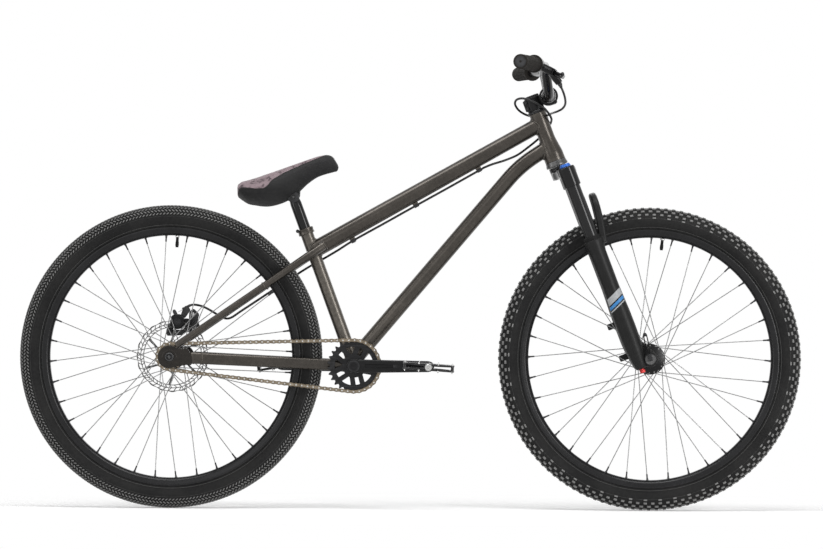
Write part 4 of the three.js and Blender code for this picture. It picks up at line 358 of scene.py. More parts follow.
@dataclass
class Skin:
    """Points and faces of a mesh, with the direction that a brushed finish follows.

    Attributes:
        points: Corners in millimetres.
        faces: Corner numbers of each face.
        grain: One row per point: two numbers across the grain, and the way along it.
    """

    points: np.ndarray
    faces: list[tuple[int, ...]]
    grain: np.ndarray

    @staticmethod
    def loft(rings: Sequence[np.ndarray], closed: bool = False) -> "Skin":
        """Joins rings of equal count, and fills the two ends of an open row.

        Args:
            rings: Rings in order along the piece.
            closed: The last ring meets the first.

        Returns:
            The skin.
        """
        n, count = len(rings[0]), len(rings)
        points = np.vstack(rings)
        centres = [r.mean(0) for r in rings]
        along = np.concatenate([[0], np.cumsum([np.linalg.norm(b - a)
                                               for a, b in zip(centres, centres[1:])])])
        angle = np.linspace(0, 2 * math.pi, n, endpoint=False)
        grain = np.vstack([
            np.stack([np.cos(angle) * size, np.sin(angle) * size, np.full(n, way)], 1)
            for way, size in zip(along, (np.linalg.norm(r - c, axis=1).mean()
                                         for r, c in zip(rings, centres)))
        ])
        faces = []
        for k in range(count if closed else count - 1):
            a, b = k * n, (k + 1) % count * n
            faces += [(a + i, a + (i + 1) % n, b + (i + 1) % n, b + i) for i in range(n)]
        if not closed:
            faces.append(tuple(range(n - 1, -1, -1)))
            faces.append(tuple(range((count - 1) * n, count * n)))
        return Skin(points, faces, grain)

    @staticmethod
    def tube(path: Sequence[Point] | np.ndarray, size: float | Sequence[Point] | np.ndarray,
             sides: int = 32, hint: Point = (0, 1, 0), power: float = 2, closed: bool = False) -> "Skin":
        """Sweeps a section along a path.

        Args:
            path: Points of the centre line.
            size: One radius, or a half width and half height for each point.
            sides: Corners of the section.
            hint: Direction of the section's width.
            power: 2 gives an ellipse, more gives squarer corners.
            closed: The path is a loop.

        Returns:
            The skin.
        """
        path, count = np.array(path, float), len(path)
        if np.isscalar(size):
            size = [(size, size)] * count
        step = np.roll(path, -1, 0) - np.roll(path, 1, 0) if closed else np.gradient(path, axis=0)
        across = np.array(hint, float)
        rings = []
        angle = (np.arange(sides) + 0.5) * 2 * math.pi / sides
        out, over = (np.sign(v) * np.abs(v) ** (2 / power) for v in (np.cos(angle), np.sin(angle)))
        for centre, way, (wide, high) in zip(path, step, size):
            way = unit(way)
            across = unit(across - way * (across @ way))
            up = np.cross(way, across)
            rings.append(centre + np.outer(out * wide, across) + np.outer(over * high, up))
        return Skin.loft(rings, closed=closed)

    @staticmethod
    def lathe(profile: Flat, sides: int = 48, place: np.ndarray | None = None,
              loop: bool = False) -> "Skin":
        """Turns a profile about local Z.

        Args:
            profile: Pairs of radius and height.
            sides: Corners of the circle.
            place: Matrix that places the piece.
            loop: The profile is a closed section, as of a ring.

        Returns:
            The skin, with its ends filled unless it is a ring.
        """
        angle = np.linspace(0, 2 * math.pi, sides, endpoint=False)
        rings = [np.stack([r * np.cos(angle), r * np.sin(angle), np.full(sides, h)], 1)
                 for r, h in profile]
        skin = Skin.loft(rings, closed=loop)
        skin.grain = np.vstack([np.stack([np.full(sides, r), np.full(sides, h), angle * r], 1)
                                for r, h in profile])
        return skin if place is None else skin.placed(place)

    @staticmethod
    def rod(radius: float, low: float, high: float, sides: int, place: np.ndarray) -> "Skin":
        """Makes a plain cylinder about local Z."""
        return Skin.lathe([(0, low), (radius, low), (radius, high), (0, high)], sides, place)

    @staticmethod
    def plate(outline: Flat, low: float, high: float, place: np.ndarray,
              holes: Sequence[Flat] = (), bevel: float = 0.5) -> "Skin":
        """Raises a flat outline along local Z, with bevelled edges.

        Args:
            outline: Outer edge in local XY.
            low: Lower face.
            high: Upper face.
            place: Matrix that places the piece.
            holes: Edges of the holes.
            bevel: Width of the bevels.

        Returns:
            The skin.
        """
        loops = [wound(outline, True), *(wound(h, False) for h in holes)]
        points: list[tuple[float, float, float]] = []
        faces: list[tuple[int, ...]] = []
        starts = []
        for edge in loops:
            n, first = len(edge), len(points)
            starts.append(first)
            small = inset(edge, bevel)
            for level, shape in ((low, small), (low + bevel, edge),
                                 (high - bevel, edge), (high, small)):
                points += [(x, y, level) for x, y in shape]
            for k in range(3):
                a = first + k * n
                faces += [(a + i, a + (i + 1) % n, a + n + (i + 1) % n, a + n + i)
                          for i in range(n)]
        for row, flip in ((0, True), (3, False)):
            index = [[start + row * len(edge) + i for i in range(len(edge))]
                     for start, edge in zip(starts, loops)]
            flat = [[Vector((*points[i][:2], 0)) for i in ring] for ring in index]
            numbers = [i for ring in index for i in ring]
            for tri in tessellate_polygon(flat):
                a, b, c = (numbers[t] for t in tri)
                (ax, ay, _), (bx, by, _), (cx, cy, _) = points[a], points[b], points[c]
                area = (bx - ax) * (cy - ay) - (cx - ax) * (by - ay)
                faces.append((a, b, c) if (area > 0) != flip else (a, c, b))
        made = np.array(points, float)
        return Skin(made, faces, made[:, [1, 2, 0]]).placed(place)

    @staticmethod
    def join(parts: Iterable["Skin"]) -> "Skin":
        """Puts several skins in one mesh.

        Args:
            parts: Skins to join.

        Returns:
            The joined skin.
        """
        parts = list(parts)
        faces: list[tuple[int, ...]] = []
        start = 0
        for part in parts:
            faces += [tuple(i + start for i in face) for face in part.faces]
            start += len(part.points)
        return Skin(np.vstack([p.points for p in parts]), faces,
                    np.vstack([p.grain for p in parts]))

    def placed(self, place: np.ndarray) -> "Skin":
        """Returns the skin moved by a matrix."""
        points = self.points @ place[:3, :3].T + place[:3, 3]
        return Skin(points, self.faces, self.grain)

    def mesh(self, name: str) -> bpy.types.Mesh:
        """Returns a Blender mesh in metres, with its faces turned outwards.

        Args:
            name: Name of the mesh.

        Returns:
            The mesh, with the grain as an attribute.
        """
        mesh = bpy.data.meshes.new(name)
        mesh.from_pydata((self.points * MM).tolist(), [], self.faces)
        grain = mesh.attributes.new("grain", "FLOAT_VECTOR", "POINT")
        grain.data.foreach_set("vector", (self.grain * MM).astype(np.float32).ravel())
        edit = bmesh.new()
        edit.from_mesh(mesh)
        bmesh.ops.recalc_face_normals(edit, faces=edit.faces)
        edit.to_mesh(mesh)
        edit.free()
        return mesh


def bolt(place: np.ndarray, radius: float, height: float, socket: float = 0) -> Skin:
    """Makes a round bolt head with a hexagon socket.

    Args:
        place: Matrix with local Z out of the head.
        radius: Radius of the head.
        height: Height of the head.
        socket: Radius of the socket, half the head's unless given.

    Returns:
        The skin.
    """
    inner = socket or radius * 0.5
    edge = radius * 0.12
    rim = Skin.lathe([(radius, 0), (radius, height - edge), (radius - edge, height),
                      (inner * 1.25, height)], 28)
    hexagon = circle(inner, 6)
    levels = ((1.25, height), (1, height - edge), (1, height * 0.3))
    well = Skin.loft([np.array([(x * wide, y * wide, z) for x, y in hexagon]) for wide, z in levels])
    rim.faces = rim.faces[:-1]
    well.faces = [f for f in well.faces if f != tuple(range(5, -1, -1))]
    return Skin.join([rim, well]).placed(place)


def knurled(radius: float, low: float, high: float, place: np.ndarray, teeth: int,
            depth: float = 0.5, bore: float = 0) -> Skin:
    """Makes a turned knob whose rim is notched.

    Args:
        radius: Outer radius.
        low: Lower face along local Z.
        high: Upper face along local Z.
        place: Matrix that places the knob.
        teeth: Count of notches.
        depth: Depth of the notches.
        bore: Radius of a hole through it, or zero.

    Returns:
        The skin.
    """
    count = teeth * 4
    outline = [(radius - depth * (i % 4 in (0, 3)), i * 2 * math.pi / count) for i in range(count)]
    outline = [(r * math.cos(a), r * math.sin(a)) for r, a in outline]
    holes = [circle(bore, 32)] if bore else []
    return Skin.plate(outline, low, high, place, holes, min(depth, 0.4))


# Shaders


class Socket:
    """An output of a shader node, which takes part in ordinary expressions."""

    def __init__(self, graph: "Graph", socket: bpy.types.NodeSocket) -> None:
        """Keeps the graph and the node's output."""
        self.graph, self.socket = graph, socket

    def _math(self, operation: str, *terms: "Socket | float") -> "Socket":
        """Returns the operation on this output and other terms, as vectors where any is one.

        Args:
            operation: Name of the operation.
            terms: Outputs and numbers in order.

        Returns:
            The node's output.
        """
        wide = any(isinstance(t, Socket) and t.socket.type in ("VECTOR", "RGBA")
                   for t in (self, *terms))
        kind = "ShaderNodeVectorMath" if wide else "ShaderNodeMath"
        values = {i: (v,) * 3 if wide and isinstance(v, (int, float)) else v
                  for i, v in enumerate(terms)}
        return self.graph.node(kind, {"operation": operation}, values)

    def __add__(self, other: "Socket | float") -> "Socket":
        """Returns the sum."""
        return self._math("ADD", self, other)

    def __sub__(self, other: "Socket | float") -> "Socket":
        """Returns the difference."""
        return self._math("SUBTRACT", self, other)

    def __rsub__(self, other: float) -> "Socket":
        """Returns a number less this output."""
        return self._math("SUBTRACT", other, self)

    def __mul__(self, other: "Socket | float") -> "Socket":
        """Returns the product."""
        return self._math("MULTIPLY", self, other)

    def __pow__(self, other: "Socket | float") -> "Socket":
        """Returns the power."""
        return self._math("POWER", self, other)

    def __rpow__(self, other: float) -> "Socket":
        """Returns a number to the power of this output."""
        return self._math("POWER", other, self)

    __radd__ = __add__
    __rmul__ = __mul__

    def ramp(self, low: float, high: float) -> "Socket":
        """Returns 0 below low, 1 above high and a smooth step between."""
        return self.graph.node("ShaderNodeMapRange", {"interpolation_type": "SMOOTHSTEP"},
                               {"Value": self, "From Min": low, "From Max": high})

    def mix(self, a: "Socket | Point", b: "Socket | Point") -> "Socket":
        """Returns the colour at this share between two colours.

        Args:
            a: Colour at 0.
            b: Colour at 1.

        Returns:
            The colour.
        """
        first, second = (c if isinstance(c, Socket) else (*c, 1.0) for c in (a, b))
        return self.graph.node("ShaderNodeMix",
                               {"data_type": "RGBA"}, {"Factor": self, 6: first, 7: second}, 2)


class Graph:
    """The node tree of a material or world."""

    def __init__(self, owner: bpy.types.Material | bpy.types.World) -> None:
        """Empties the owner's node tree.

        Args:
            owner: Material or world that is given nodes.
        """
        owner.use_nodes = True
        self.tree = owner.node_tree
        self.tree.nodes.clear()

    def node(self, kind: str, settings: dict | None = None, inputs: dict | None = None,
             output: int | str = 0) -> Socket:
        """Adds a node.

        Args:
            kind: Type of the node.
            settings: Properties, which are set first.
            inputs: Values or outputs by the name or number of the input.
            output: Name or number of the output to return.

        Returns:
            The node's output.
        """
        made = self.tree.nodes.new(kind)
        for key, value in (settings or {}).items():
            setattr(made, key, value)
        for key, value in (inputs or {}).items():
            if isinstance(value, Socket):
                self.tree.links.new(value.socket, made.inputs[key])
            else:
                made.inputs[key].default_value = value
        return Socket(self, made.outputs[output] if made.outputs else None)

    def noise(self, place: Socket, scale: float, detail: float = 2, rough: float = 0.5) -> Socket:
        """Returns soft noise from 0 to 1 at a place."""
        return self.node("ShaderNodeTexNoise", None,
                         {"Vector": place, "Scale": scale, "Detail": detail, "Roughness": rough})

    def place(self) -> Socket:
        """Returns the place in the object's own axes."""
        return self.node("ShaderNodeTexCoord", None, None, "Object")

    def grain(self) -> Socket:
        """Returns the grain that a skin carries."""
        return self.node("ShaderNodeAttribute", {"attribute_name": "grain"}, None, "Vector")

    def lift(self) -> Socket:
        """Returns the last number of the grain."""
        return self.node("ShaderNodeVectorMath",
                         {"operation": "DOT_PRODUCT"}, {0: self.grain(), 1: (0, 0, 1)}, "Value")

    def plain(self, kind: str, strength: float) -> Socket:
        """Returns white light of a strength, as background or glow."""
        return self.node(f"ShaderNode{kind}", None, {"Color": WHITE, "Strength": strength})

    def end(self, shader: Socket, kind: str = "ShaderNodeOutputMaterial") -> None:
        """Joins the shader to the output."""
        self.node(kind, None, {"Surface": shader})


@dataclass(frozen=True)
class Finish:
    """How one material looks.

    Attributes:
        name: Name of the material.
        slot: Material slot of its pieces, unless they say another.
        colour: Main colour.
        second: Colour that it varies towards.
        rough: Roughness.
        metal: Share of metal.
        coat: Weight of a clear coat.
        grain: Kind of fine texture.
        scale: Cells of the grain in a metre.
        depth: Strength of the grain's bump.
        wear_and_highlight: Share of the edge colour on edges, for bare or dusty wear and, on the tyre and
            the edged black finish, painted highlight.
        worn_and_highlit: Colour of the edges, as wear and painted highlight, and of a tyre's painted
            highlight on its block tops and ribs.
        sheen: Weight of a soft fabric sheen.
        shine: Level of the mirror reflection, 0.5 for plain plastic.
    """

    name: str
    slot: Slot
    colour: Point
    second: Point
    rough: float = 0.4
    metal: float = 0.0
    coat: float = 0.0
    grain: Grain = Grain.CAST
    scale: float = 900.0
    depth: float = 0.1
    wear_and_highlight: float = 0.15
    worn_and_highlit: Point = (0.2, 0.2, 0.2)
    sheen: float = 0.0
    shine: float = 0.5

    def _height(self, graph: Graph, place: Socket) -> Socket:
        """Returns the grain's height at a place.

        Args:
            graph: Node tree.
            place: Place on the piece.

        Returns:
            The height.
        """
        if self.grain is Grain.BRUSHED:
            return graph.noise(graph.grain() * (1, 1, 0.02), self.scale, 3, 0.6)
        if self.grain in (Grain.HIDE, Grain.MOTTLED):
            cells = graph.node("ShaderNodeTexVoronoi", {"feature": "F1"},
                               {"Vector": place, "Scale": self.scale}, "Distance")
            return cells ** 0.6 + graph.noise(place, self.scale * 3) * 0.25
        return graph.noise(place, self.scale, 4, 0.55)

    def material(self) -> bpy.types.Material:
        """Builds the material, once for each name.

        Returns:
            The material.
        """
        name = f"look_{self.name}"
        if name in bpy.data.materials:
            return bpy.data.materials[name]
        made = bpy.data.materials.new(name)
        graph = Graph(made)
        graph.end(self.shader(graph))
        return made

    def shader(self, graph: Graph) -> Socket:
        """Adds the finish to a node tree and returns its shader.

        Args:
            graph: Node tree.

        Returns:
            The shader's output.
        """
        place = graph.place()
        height = self._height(graph, place)
        broad = graph.noise(place, 14, 4, 0.6)
        fine = graph.noise(place, 160, 3, 0.6)
        edge = graph.node("ShaderNodeNewGeometry", None, None, "Pointiness").ramp(0.52, 0.62)
        share = (broad * 0.6 + fine * 0.4).ramp(0.32, 0.68)
        if self.grain is Grain.MOTTLED:
            veins = graph.node("ShaderNodeTexVoronoi", {"feature": "SMOOTH_F1"},
                               {"Vector": place + graph.noise(place, 60) * 0.03, "Scale": 55},
                               "Distance")
            share = (veins + graph.noise(place, 180, 5, 0.7) - 0.25).ramp(0.3, 0.75)
        colour = share.mix(self.colour, self.second)
        # Tyres: block tops and ribs, marked by the grain's last number, are painted lighter: painted
        # highlight on the tread.
        if self.grain is Grain.TREAD:
            top = graph.lift()
            colour = (top * 0.9 + fine * 0.1).ramp(0.15, 1.05).mix(colour, self.worn_and_highlit)
            edge = edge * top
        # Edges take the edge colour: wear, and on the tyre and the edged black parts also painted
        # highlight.
        colour = (edge * fine * (self.wear_and_highlight * 2)).mix(colour, self.worn_and_highlit)
        rough = height * 0.12 + fine * 0.1 + (self.rough - 0.11) + edge * (self.wear_and_highlight * 0.3)
        bump = graph.node("ShaderNodeBump", None, {
            "Strength": self.depth, "Distance": 0.0006, "Height": height}, "Normal")
        return graph.node("ShaderNodeBsdfPrincipled", None, {
            "Base Color": colour, "Roughness": rough, "Metallic": self.metal,
            "Coat Weight": self.coat, "Coat Roughness": 0.25, "Sheen Weight": self.sheen,
            "Specular IOR Level": self.shine, "Normal": bump})


class Palette:
    """Finishes of the bike."""

    BRONZE = Finish("bronze_paint", Slot.FRAME, (0.034, 0.0295, 0.0245), (0.058, 0.0505, 0.043),
                    0.26, 0.80, 0.25, Grain.BRUSHED, 2600, 0.05, 0.30, (0.22, 0.20, 0.17))
    WELD = Finish("welded_paint", Slot.FRAME, (0.034, 0.030, 0.025),
                  (0.058, 0.051, 0.044), 0.36, 0.75, 0.2, Grain.CAST, 700, 0.25, 0.35, (0.2, 0.18, 0.15))
    ANODISED = Finish("black_anodised", Slot.BLACK, (0.0045, 0.0045, 0.0050), (0.009, 0.009, 0.0096),
                      0.30, 0.25, 0.05, Grain.CAST, 1600, 0.08, 0.35, (0.10, 0.10, 0.105), shine=0.22)
    # Black with light edges: partly edge wear, partly painted highlight on the edges of the pedals.
    EDGED = Finish("black_worn_and_highlit_edges", Slot.BLACK, (0.0050, 0.0050, 0.0054), (0.010, 0.010, 0.0105),
                   0.26, 0.4, 0.1, Grain.CAST, 1600, 0.06, 0.35, (0.20, 0.20, 0.20), shine=0.2)
    # The dropout plates take a darker copy of the frame's bronze: painted shade, as they are the same
    # paint in shadow.
    DROPOUT = Finish("bronze_in_painted_shade", Slot.FRAME, (0.0105, 0.0090, 0.0078), (0.0185, 0.0160, 0.0138),
                     0.30, 0.5, 0.1, Grain.CAST, 1400, 0.05, 0.2, (0.06, 0.05, 0.04), shine=0.3)
    RIM = Finish("rim_black", Slot.BLACK, (0.0055, 0.0055, 0.006), (0.011, 0.011, 0.012),
                 0.26, 0.2, 0.15, Grain.CAST, 1800, 0.05, 0.2, (0.13, 0.13, 0.13), shine=0.2)
    GLOSS = Finish("black_gloss", Slot.GLOSS, (0.0018, 0.0018, 0.0021), (0.0032, 0.0032, 0.0036),
                   0.13, 0.0, 0.0, Grain.CAST, 500, 0.006, 0.1, (0.05, 0.05, 0.05), shine=0.3)
    MATT = Finish("fork_black", Slot.FORK, (0.0085, 0.0085, 0.0085), (0.0140, 0.0140, 0.0140),
                  0.40, 0.0, 0.0, Grain.CAST, 1300, 0.10, 0.1, (0.04, 0.04, 0.04), shine=0.16)
    # The tyre's light edge colour paints highlight on block tops, ribs and knob edges.
    TYRE = Finish("tyre_rubber", Slot.TYRE, (0.0150, 0.0150, 0.0152), (0.0240, 0.0238, 0.0235),
                  0.62, 0.0, 0.0, Grain.TREAD, 1500, 0.22, 0.1, (0.200, 0.199, 0.196), shine=0.05)
    GRIP = Finish("grip_rubber", Slot.GRIP, (0.0125, 0.0113, 0.0102), (0.0210, 0.0190, 0.0170),
                  0.70, 0.0, 0.0, Grain.MATT, 1800, 0.25, 0.2, (0.04, 0.037, 0.034), shine=0.1)
    SEAL = Finish("seal_rubber", Slot.TYRE, (0.006, 0.006, 0.006), (0.011, 0.011, 0.011),
                  0.55, 0.0, 0.0, Grain.MATT, 1800, 0.15, 0.1, (0.04, 0.04, 0.04), shine=0.1)
    JACKET = Finish("cable_jacket", Slot.CABLE, (0.0050, 0.0050, 0.0052), (0.0100, 0.0100, 0.0102),
                    0.32, 0.0, 0.0, Grain.BRUSHED, 1500, 0.05, 0.1, (0.05, 0.05, 0.05), shine=0.35)
    STEEL = Finish("bright_steel", Slot.STEEL, (0.46, 0.46, 0.45),
                   (0.58, 0.58, 0.57), 0.24, 1.0, 0.0, Grain.BRUSHED, 2200, 0.05, 0.2, (0.75, 0.75, 0.75))
    SPOKE = Finish("spoke_steel", Slot.STEEL, (0.17, 0.17, 0.17),
                   (0.28, 0.28, 0.28), 0.28, 1.0, 0.0, Grain.BRUSHED, 2200, 0.05, 0.1, (0.5, 0.5, 0.5))
    ROTOR = Finish("rotor_steel", Slot.STEEL, (0.045, 0.045, 0.045), (0.090, 0.090, 0.088),
                   0.30, 1.0, 0.0, Grain.BRUSHED, 3000, 0.12, 0.2, (0.45, 0.45, 0.44))
    CHAIN = Finish("chain_steel", Slot.CHAIN, (0.050, 0.038, 0.026),
                   (0.100, 0.078, 0.054), 0.30, 1.0, 0.0, Grain.CAST, 900, 0.10, 0.5, (0.55, 0.47, 0.36))
    PINS = Finish("chain_pins", Slot.CHAIN, (0.045, 0.036, 0.028),
                  (0.095, 0.078, 0.06), 0.36, 1.0, 0.0, Grain.CAST, 900, 0.1, 0.3, (0.4, 0.36, 0.3))
    COG = Finish("cog_steel", Slot.STEEL, (0.20, 0.165, 0.125),
                 (0.32, 0.27, 0.21), 0.34, 1.0, 0.0, Grain.CAST, 900, 0.1, 0.3, (0.5, 0.45, 0.4))
    CUP = Finish("grey_alloy", Slot.STEEL, (0.07, 0.07, 0.07),
                 (0.12, 0.12, 0.12), 0.34, 0.9, 0.0, Grain.BRUSHED, 2200, 0.08, 0.2, (0.4, 0.4, 0.4))
    VINYL = Finish("saddle_vinyl", Slot.VINYL, (0.0150, 0.0150, 0.0155), (0.0230, 0.0228, 0.0232),
                   0.50, 0.0, 0.0, Grain.HIDE, 1100, 0.30, 0.1, (0.04, 0.04, 0.04), shine=0.12)
    TOP = Finish("saddle_top", Slot.VINYL, (0.040, 0.028, 0.033), (0.240, 0.185, 0.200),
                 0.52, 0.0, 0.0, Grain.MOTTLED, 1500, 0.30, 0.0, (0.1, 0.08, 0.09), shine=0.15)
    THREAD = Finish("saddle_thread", Slot.VINYL, (0.012, 0.012, 0.012), (0.022, 0.021, 0.021),
                    0.7, 0.0, 0.0, Grain.MATT, 3000, 0.3, 0.0, (0.03, 0.03, 0.03), 0.1, 0.2)
    RED = Finish("red_anodised", Slot.RED, (0.36, 0.008, 0.007),
                 (0.48, 0.015, 0.012), 0.28, 0.5, 0.1, Grain.CAST, 1600, 0.06, 0.1, (0.6, 0.15, 0.15))
    BLUE = Finish("blue_anodised", Slot.BLUE, (0.008, 0.09, 0.42),
                  (0.012, 0.12, 0.55), 0.26, 0.5, 0.1, Grain.CAST, 1600, 0.06, 0.1, (0.2, 0.4, 0.8))
    BLACK_STEEL = Finish("black_steel", Slot.BLACK, (0.009, 0.009, 0.0095), (0.019, 0.019, 0.020),
                         0.28, 0.6, 0.0, Grain.CAST, 1400, 0.06, 0.45, (0.2, 0.2, 0.2), shine=0.4)
    PALE_BAND = Finish("pale_band", Slot.FORK, (0.30, 0.31, 0.32), (0.38, 0.39, 0.40),
                       0.42, 0.0, 0.1, Grain.CAST, 1300, 0.05, 0.1, (0.4, 0.4, 0.4), shine=0.3)
    BLUE_BAND = Finish("blue_band", Slot.BLUE, (0.02, 0.16, 0.42), (0.03, 0.20, 0.50),
                       0.42, 0.0, 0.1, Grain.CAST, 1300, 0.05, 0.1, (0.2, 0.4, 0.6), shine=0.3)


# Making pieces


def shown(name: str, data: bpy.types.Mesh | bpy.types.Camera | bpy.types.Light) -> bpy.types.Object:
    """Returns a new object that is in the scene.

    Args:
        name: Name of the object.
        data: Its mesh, camera or lamp.

    Returns:
        The object.
    """
    obj = bpy.data.objects.new(name, data)
    bpy.context.scene.collection.objects.link(obj)
    return obj


def smoothed(obj: bpy.types.Object, material: bpy.types.Material, sharp: float) -> None:
    """Gives an object its material, and smooth shading but for edges sharper than an angle.

    Args:
        obj: The object.
        material: Its only material.
        sharp: Angle in degrees above which an edge stays sharp.
    """
    obj.data.materials.clear()
    obj.data.materials.append(material)
    obj.data.shade_smooth()
    obj.data.set_sharp_from_angle(angle=math.radians(sharp))


def counted(obj: bpy.types.Object) -> None:
    """Reports a finished piece with its count of faces."""
    log.info("%s: %d faces", obj.name, len(obj.data.polygons))


def signed(obj: bpy.types.Object, body: Body, nodes: Sequence[str]) -> bpy.types.Object:
    """Says what carries a piece and the CAD nodes that it stands for.

    Args:
        obj: The piece.
        body: CAD body that it rides on.
        nodes: CAD nodes that it stands for.

    Returns:
        The piece.
    """
    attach(obj, body.value)
    if nodes:
        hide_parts(*nodes)
    counted(obj)
    return obj


def add_piece(name: str, skin: Skin | Sequence[Skin], finish: Finish, body: Body,
              nodes: Sequence[str] = (), sharp: float = 38) -> bpy.types.Object:
    """Adds a piece that moves with a body.

    Args:
        name: Name of the piece.
        skin: One skin, or several that share the finish.
        finish: How it looks.
        body: CAD body that it rides on.
        nodes: CAD nodes that it stands for.
        sharp: Angle in degrees above which an edge stays sharp.

    Returns:
        The object.
    """
    whole = skin if isinstance(skin, Skin) else Skin.join(skin)
    obj = shown(name, whole.mesh(name))
    smoothed(obj, finish.material(), sharp)
    return signed(obj, body, nodes)


def applied(obj: bpy.types.Object) -> None:
    """Replaces the object's mesh by what its modifiers make of it.

    Args:
        obj: The object.
    """
    bpy.context.view_layer.update()
    made = bpy.data.meshes.new_from_object(
        obj.evaluated_get(bpy.context.evaluated_depsgraph_get()))
    obj.modifiers.clear()
    obj.data = made


def add_casting(name: str, skins: Sequence[Skin],
                finish: Finish, body: Body, nodes: Sequence[str] = (), voxel: float = 1.2,
                smooth: int = 6, cuts: Sequence[Skin] = (), sharp: float = 60) -> bpy.types.Object:
    """Adds a piece melted from overlapping solids, with soft fillets, and then drilled.

    Args:
        name: Name of the piece.
        skins: Solids that are joined.
        finish: How it looks.
        body: CAD body that it rides on.
        nodes: CAD nodes that it stands for.
        voxel: Cell of the melting in millimetres.
        smooth: Passes of smoothing.
        cuts: Solids that are taken away.
        sharp: Angle in degrees above which an edge stays sharp.

    Returns:
        The object.
    """
    obj = shown(name, Skin.join(skins).mesh(name))
    melt = obj.modifiers.new("melt", "REMESH")
    melt.mode, melt.voxel_size = "VOXEL", voxel * MM
    soften = obj.modifiers.new("soften", "SMOOTH")
    soften.factor, soften.iterations = 0.5, smooth
    thin = obj.modifiers.new("thin", "DECIMATE")
    thin.ratio = 0.4
    applied(obj)
    if cuts:
        tool = shown("tool", Skin.join(cuts).mesh("tool"))
        drill = obj.modifiers.new("drill", "BOOLEAN")
        drill.object, drill.operation, drill.solver = tool, "DIFFERENCE", "EXACT"
        drill.use_self = True
        applied(obj)
        bpy.data.objects.remove(tool)
    smoothed(obj, finish.material(), sharp)
    return signed(obj, body, nodes)


# Layout


@dataclass(frozen=True)
class Layout:
    """Main points and directions of the bike."""

    wheelbase: float = 1055
    wheel_radius: float = 333.5
    chainstay: float = 405.4
    drop: float = 18.2
    head_lean: float = 21
    seat_lean: float = 20.2
    fork_length: float = 481.6
    fork_offset: float = 39.2
    head_length: float = 113.2
    seat_length: float = 321.6
    post_reach: float = 74
    hub_half: float = 67.5

    @property
    def rear_axle(self) -> np.ndarray:
        """Returns the middle of the rear axle."""
        return vec(-self.wheelbase / 2, 0, self.wheel_radius)

    @property
    def front_axle(self) -> np.ndarray:
        """Returns the middle of the front axle."""
        return vec(self.wheelbase / 2, 0, self.wheel_radius)

    @property
    def bottom_bracket(self) -> np.ndarray:
        """Returns the middle of the crank spindle."""
        run = math.sqrt(self.chainstay**2 - self.drop**2)
        return self.rear_axle + vec(run, 0, -self.drop)

    @property
    def steer_up(self) -> np.ndarray:
        """Returns the direction up the steerer."""
        return in_side_plane(vec(0, 0, 0), 1, math.radians(90 + self.head_lean))

    @property
    def steer_ahead(self) -> np.ndarray:
        """Returns the direction ahead, square to the steerer."""
        return in_side_plane(vec(0, 0, 0), 1, math.radians(self.head_lean))

    @property
    def seat_up(self) -> np.ndarray:
        """Returns the direction up the seat tube."""
        return in_side_plane(vec(0, 0, 0), 1, math.radians(90 + self.seat_lean))

    @property
    def head_bottom(self) -> np.ndarray:
        """Returns the foot of the head tube."""
        return self.front_axle - self.steer_ahead * self.fork_offset + self.steer_up * self.fork_length

    def on_steering(self, height: float) -> np.ndarray:
        """Returns the point on the steerer's line at a height over the head tube's foot."""
        return self.head_bottom + self.steer_up * height

    def on_seat_tube(self, height: float) -> np.ndarray:
        """Returns the point on the seat tube's line at a height over the bottom bracket."""
        return self.bottom_bracket + self.seat_up * height

    def steering(self, x: float = 0, y: float = 0, z: float = 0) -> np.ndarray:
        """Returns the matrix of the steering axes, moved by local millimetres."""
        origin = self.head_bottom + self.steer_ahead * x + vec(0, y, 0) + self.steer_up * z
        return axes(origin, self.steer_ahead, (0, 1, 0), self.steer_up)

    def steered(self, x: float, y: float, z: float) -> np.ndarray:
        """Returns a point of the steering axes in the frame."""
        return self.steering(x, y, z)[:3, 3]


LAYOUT = Layout()


# Studio


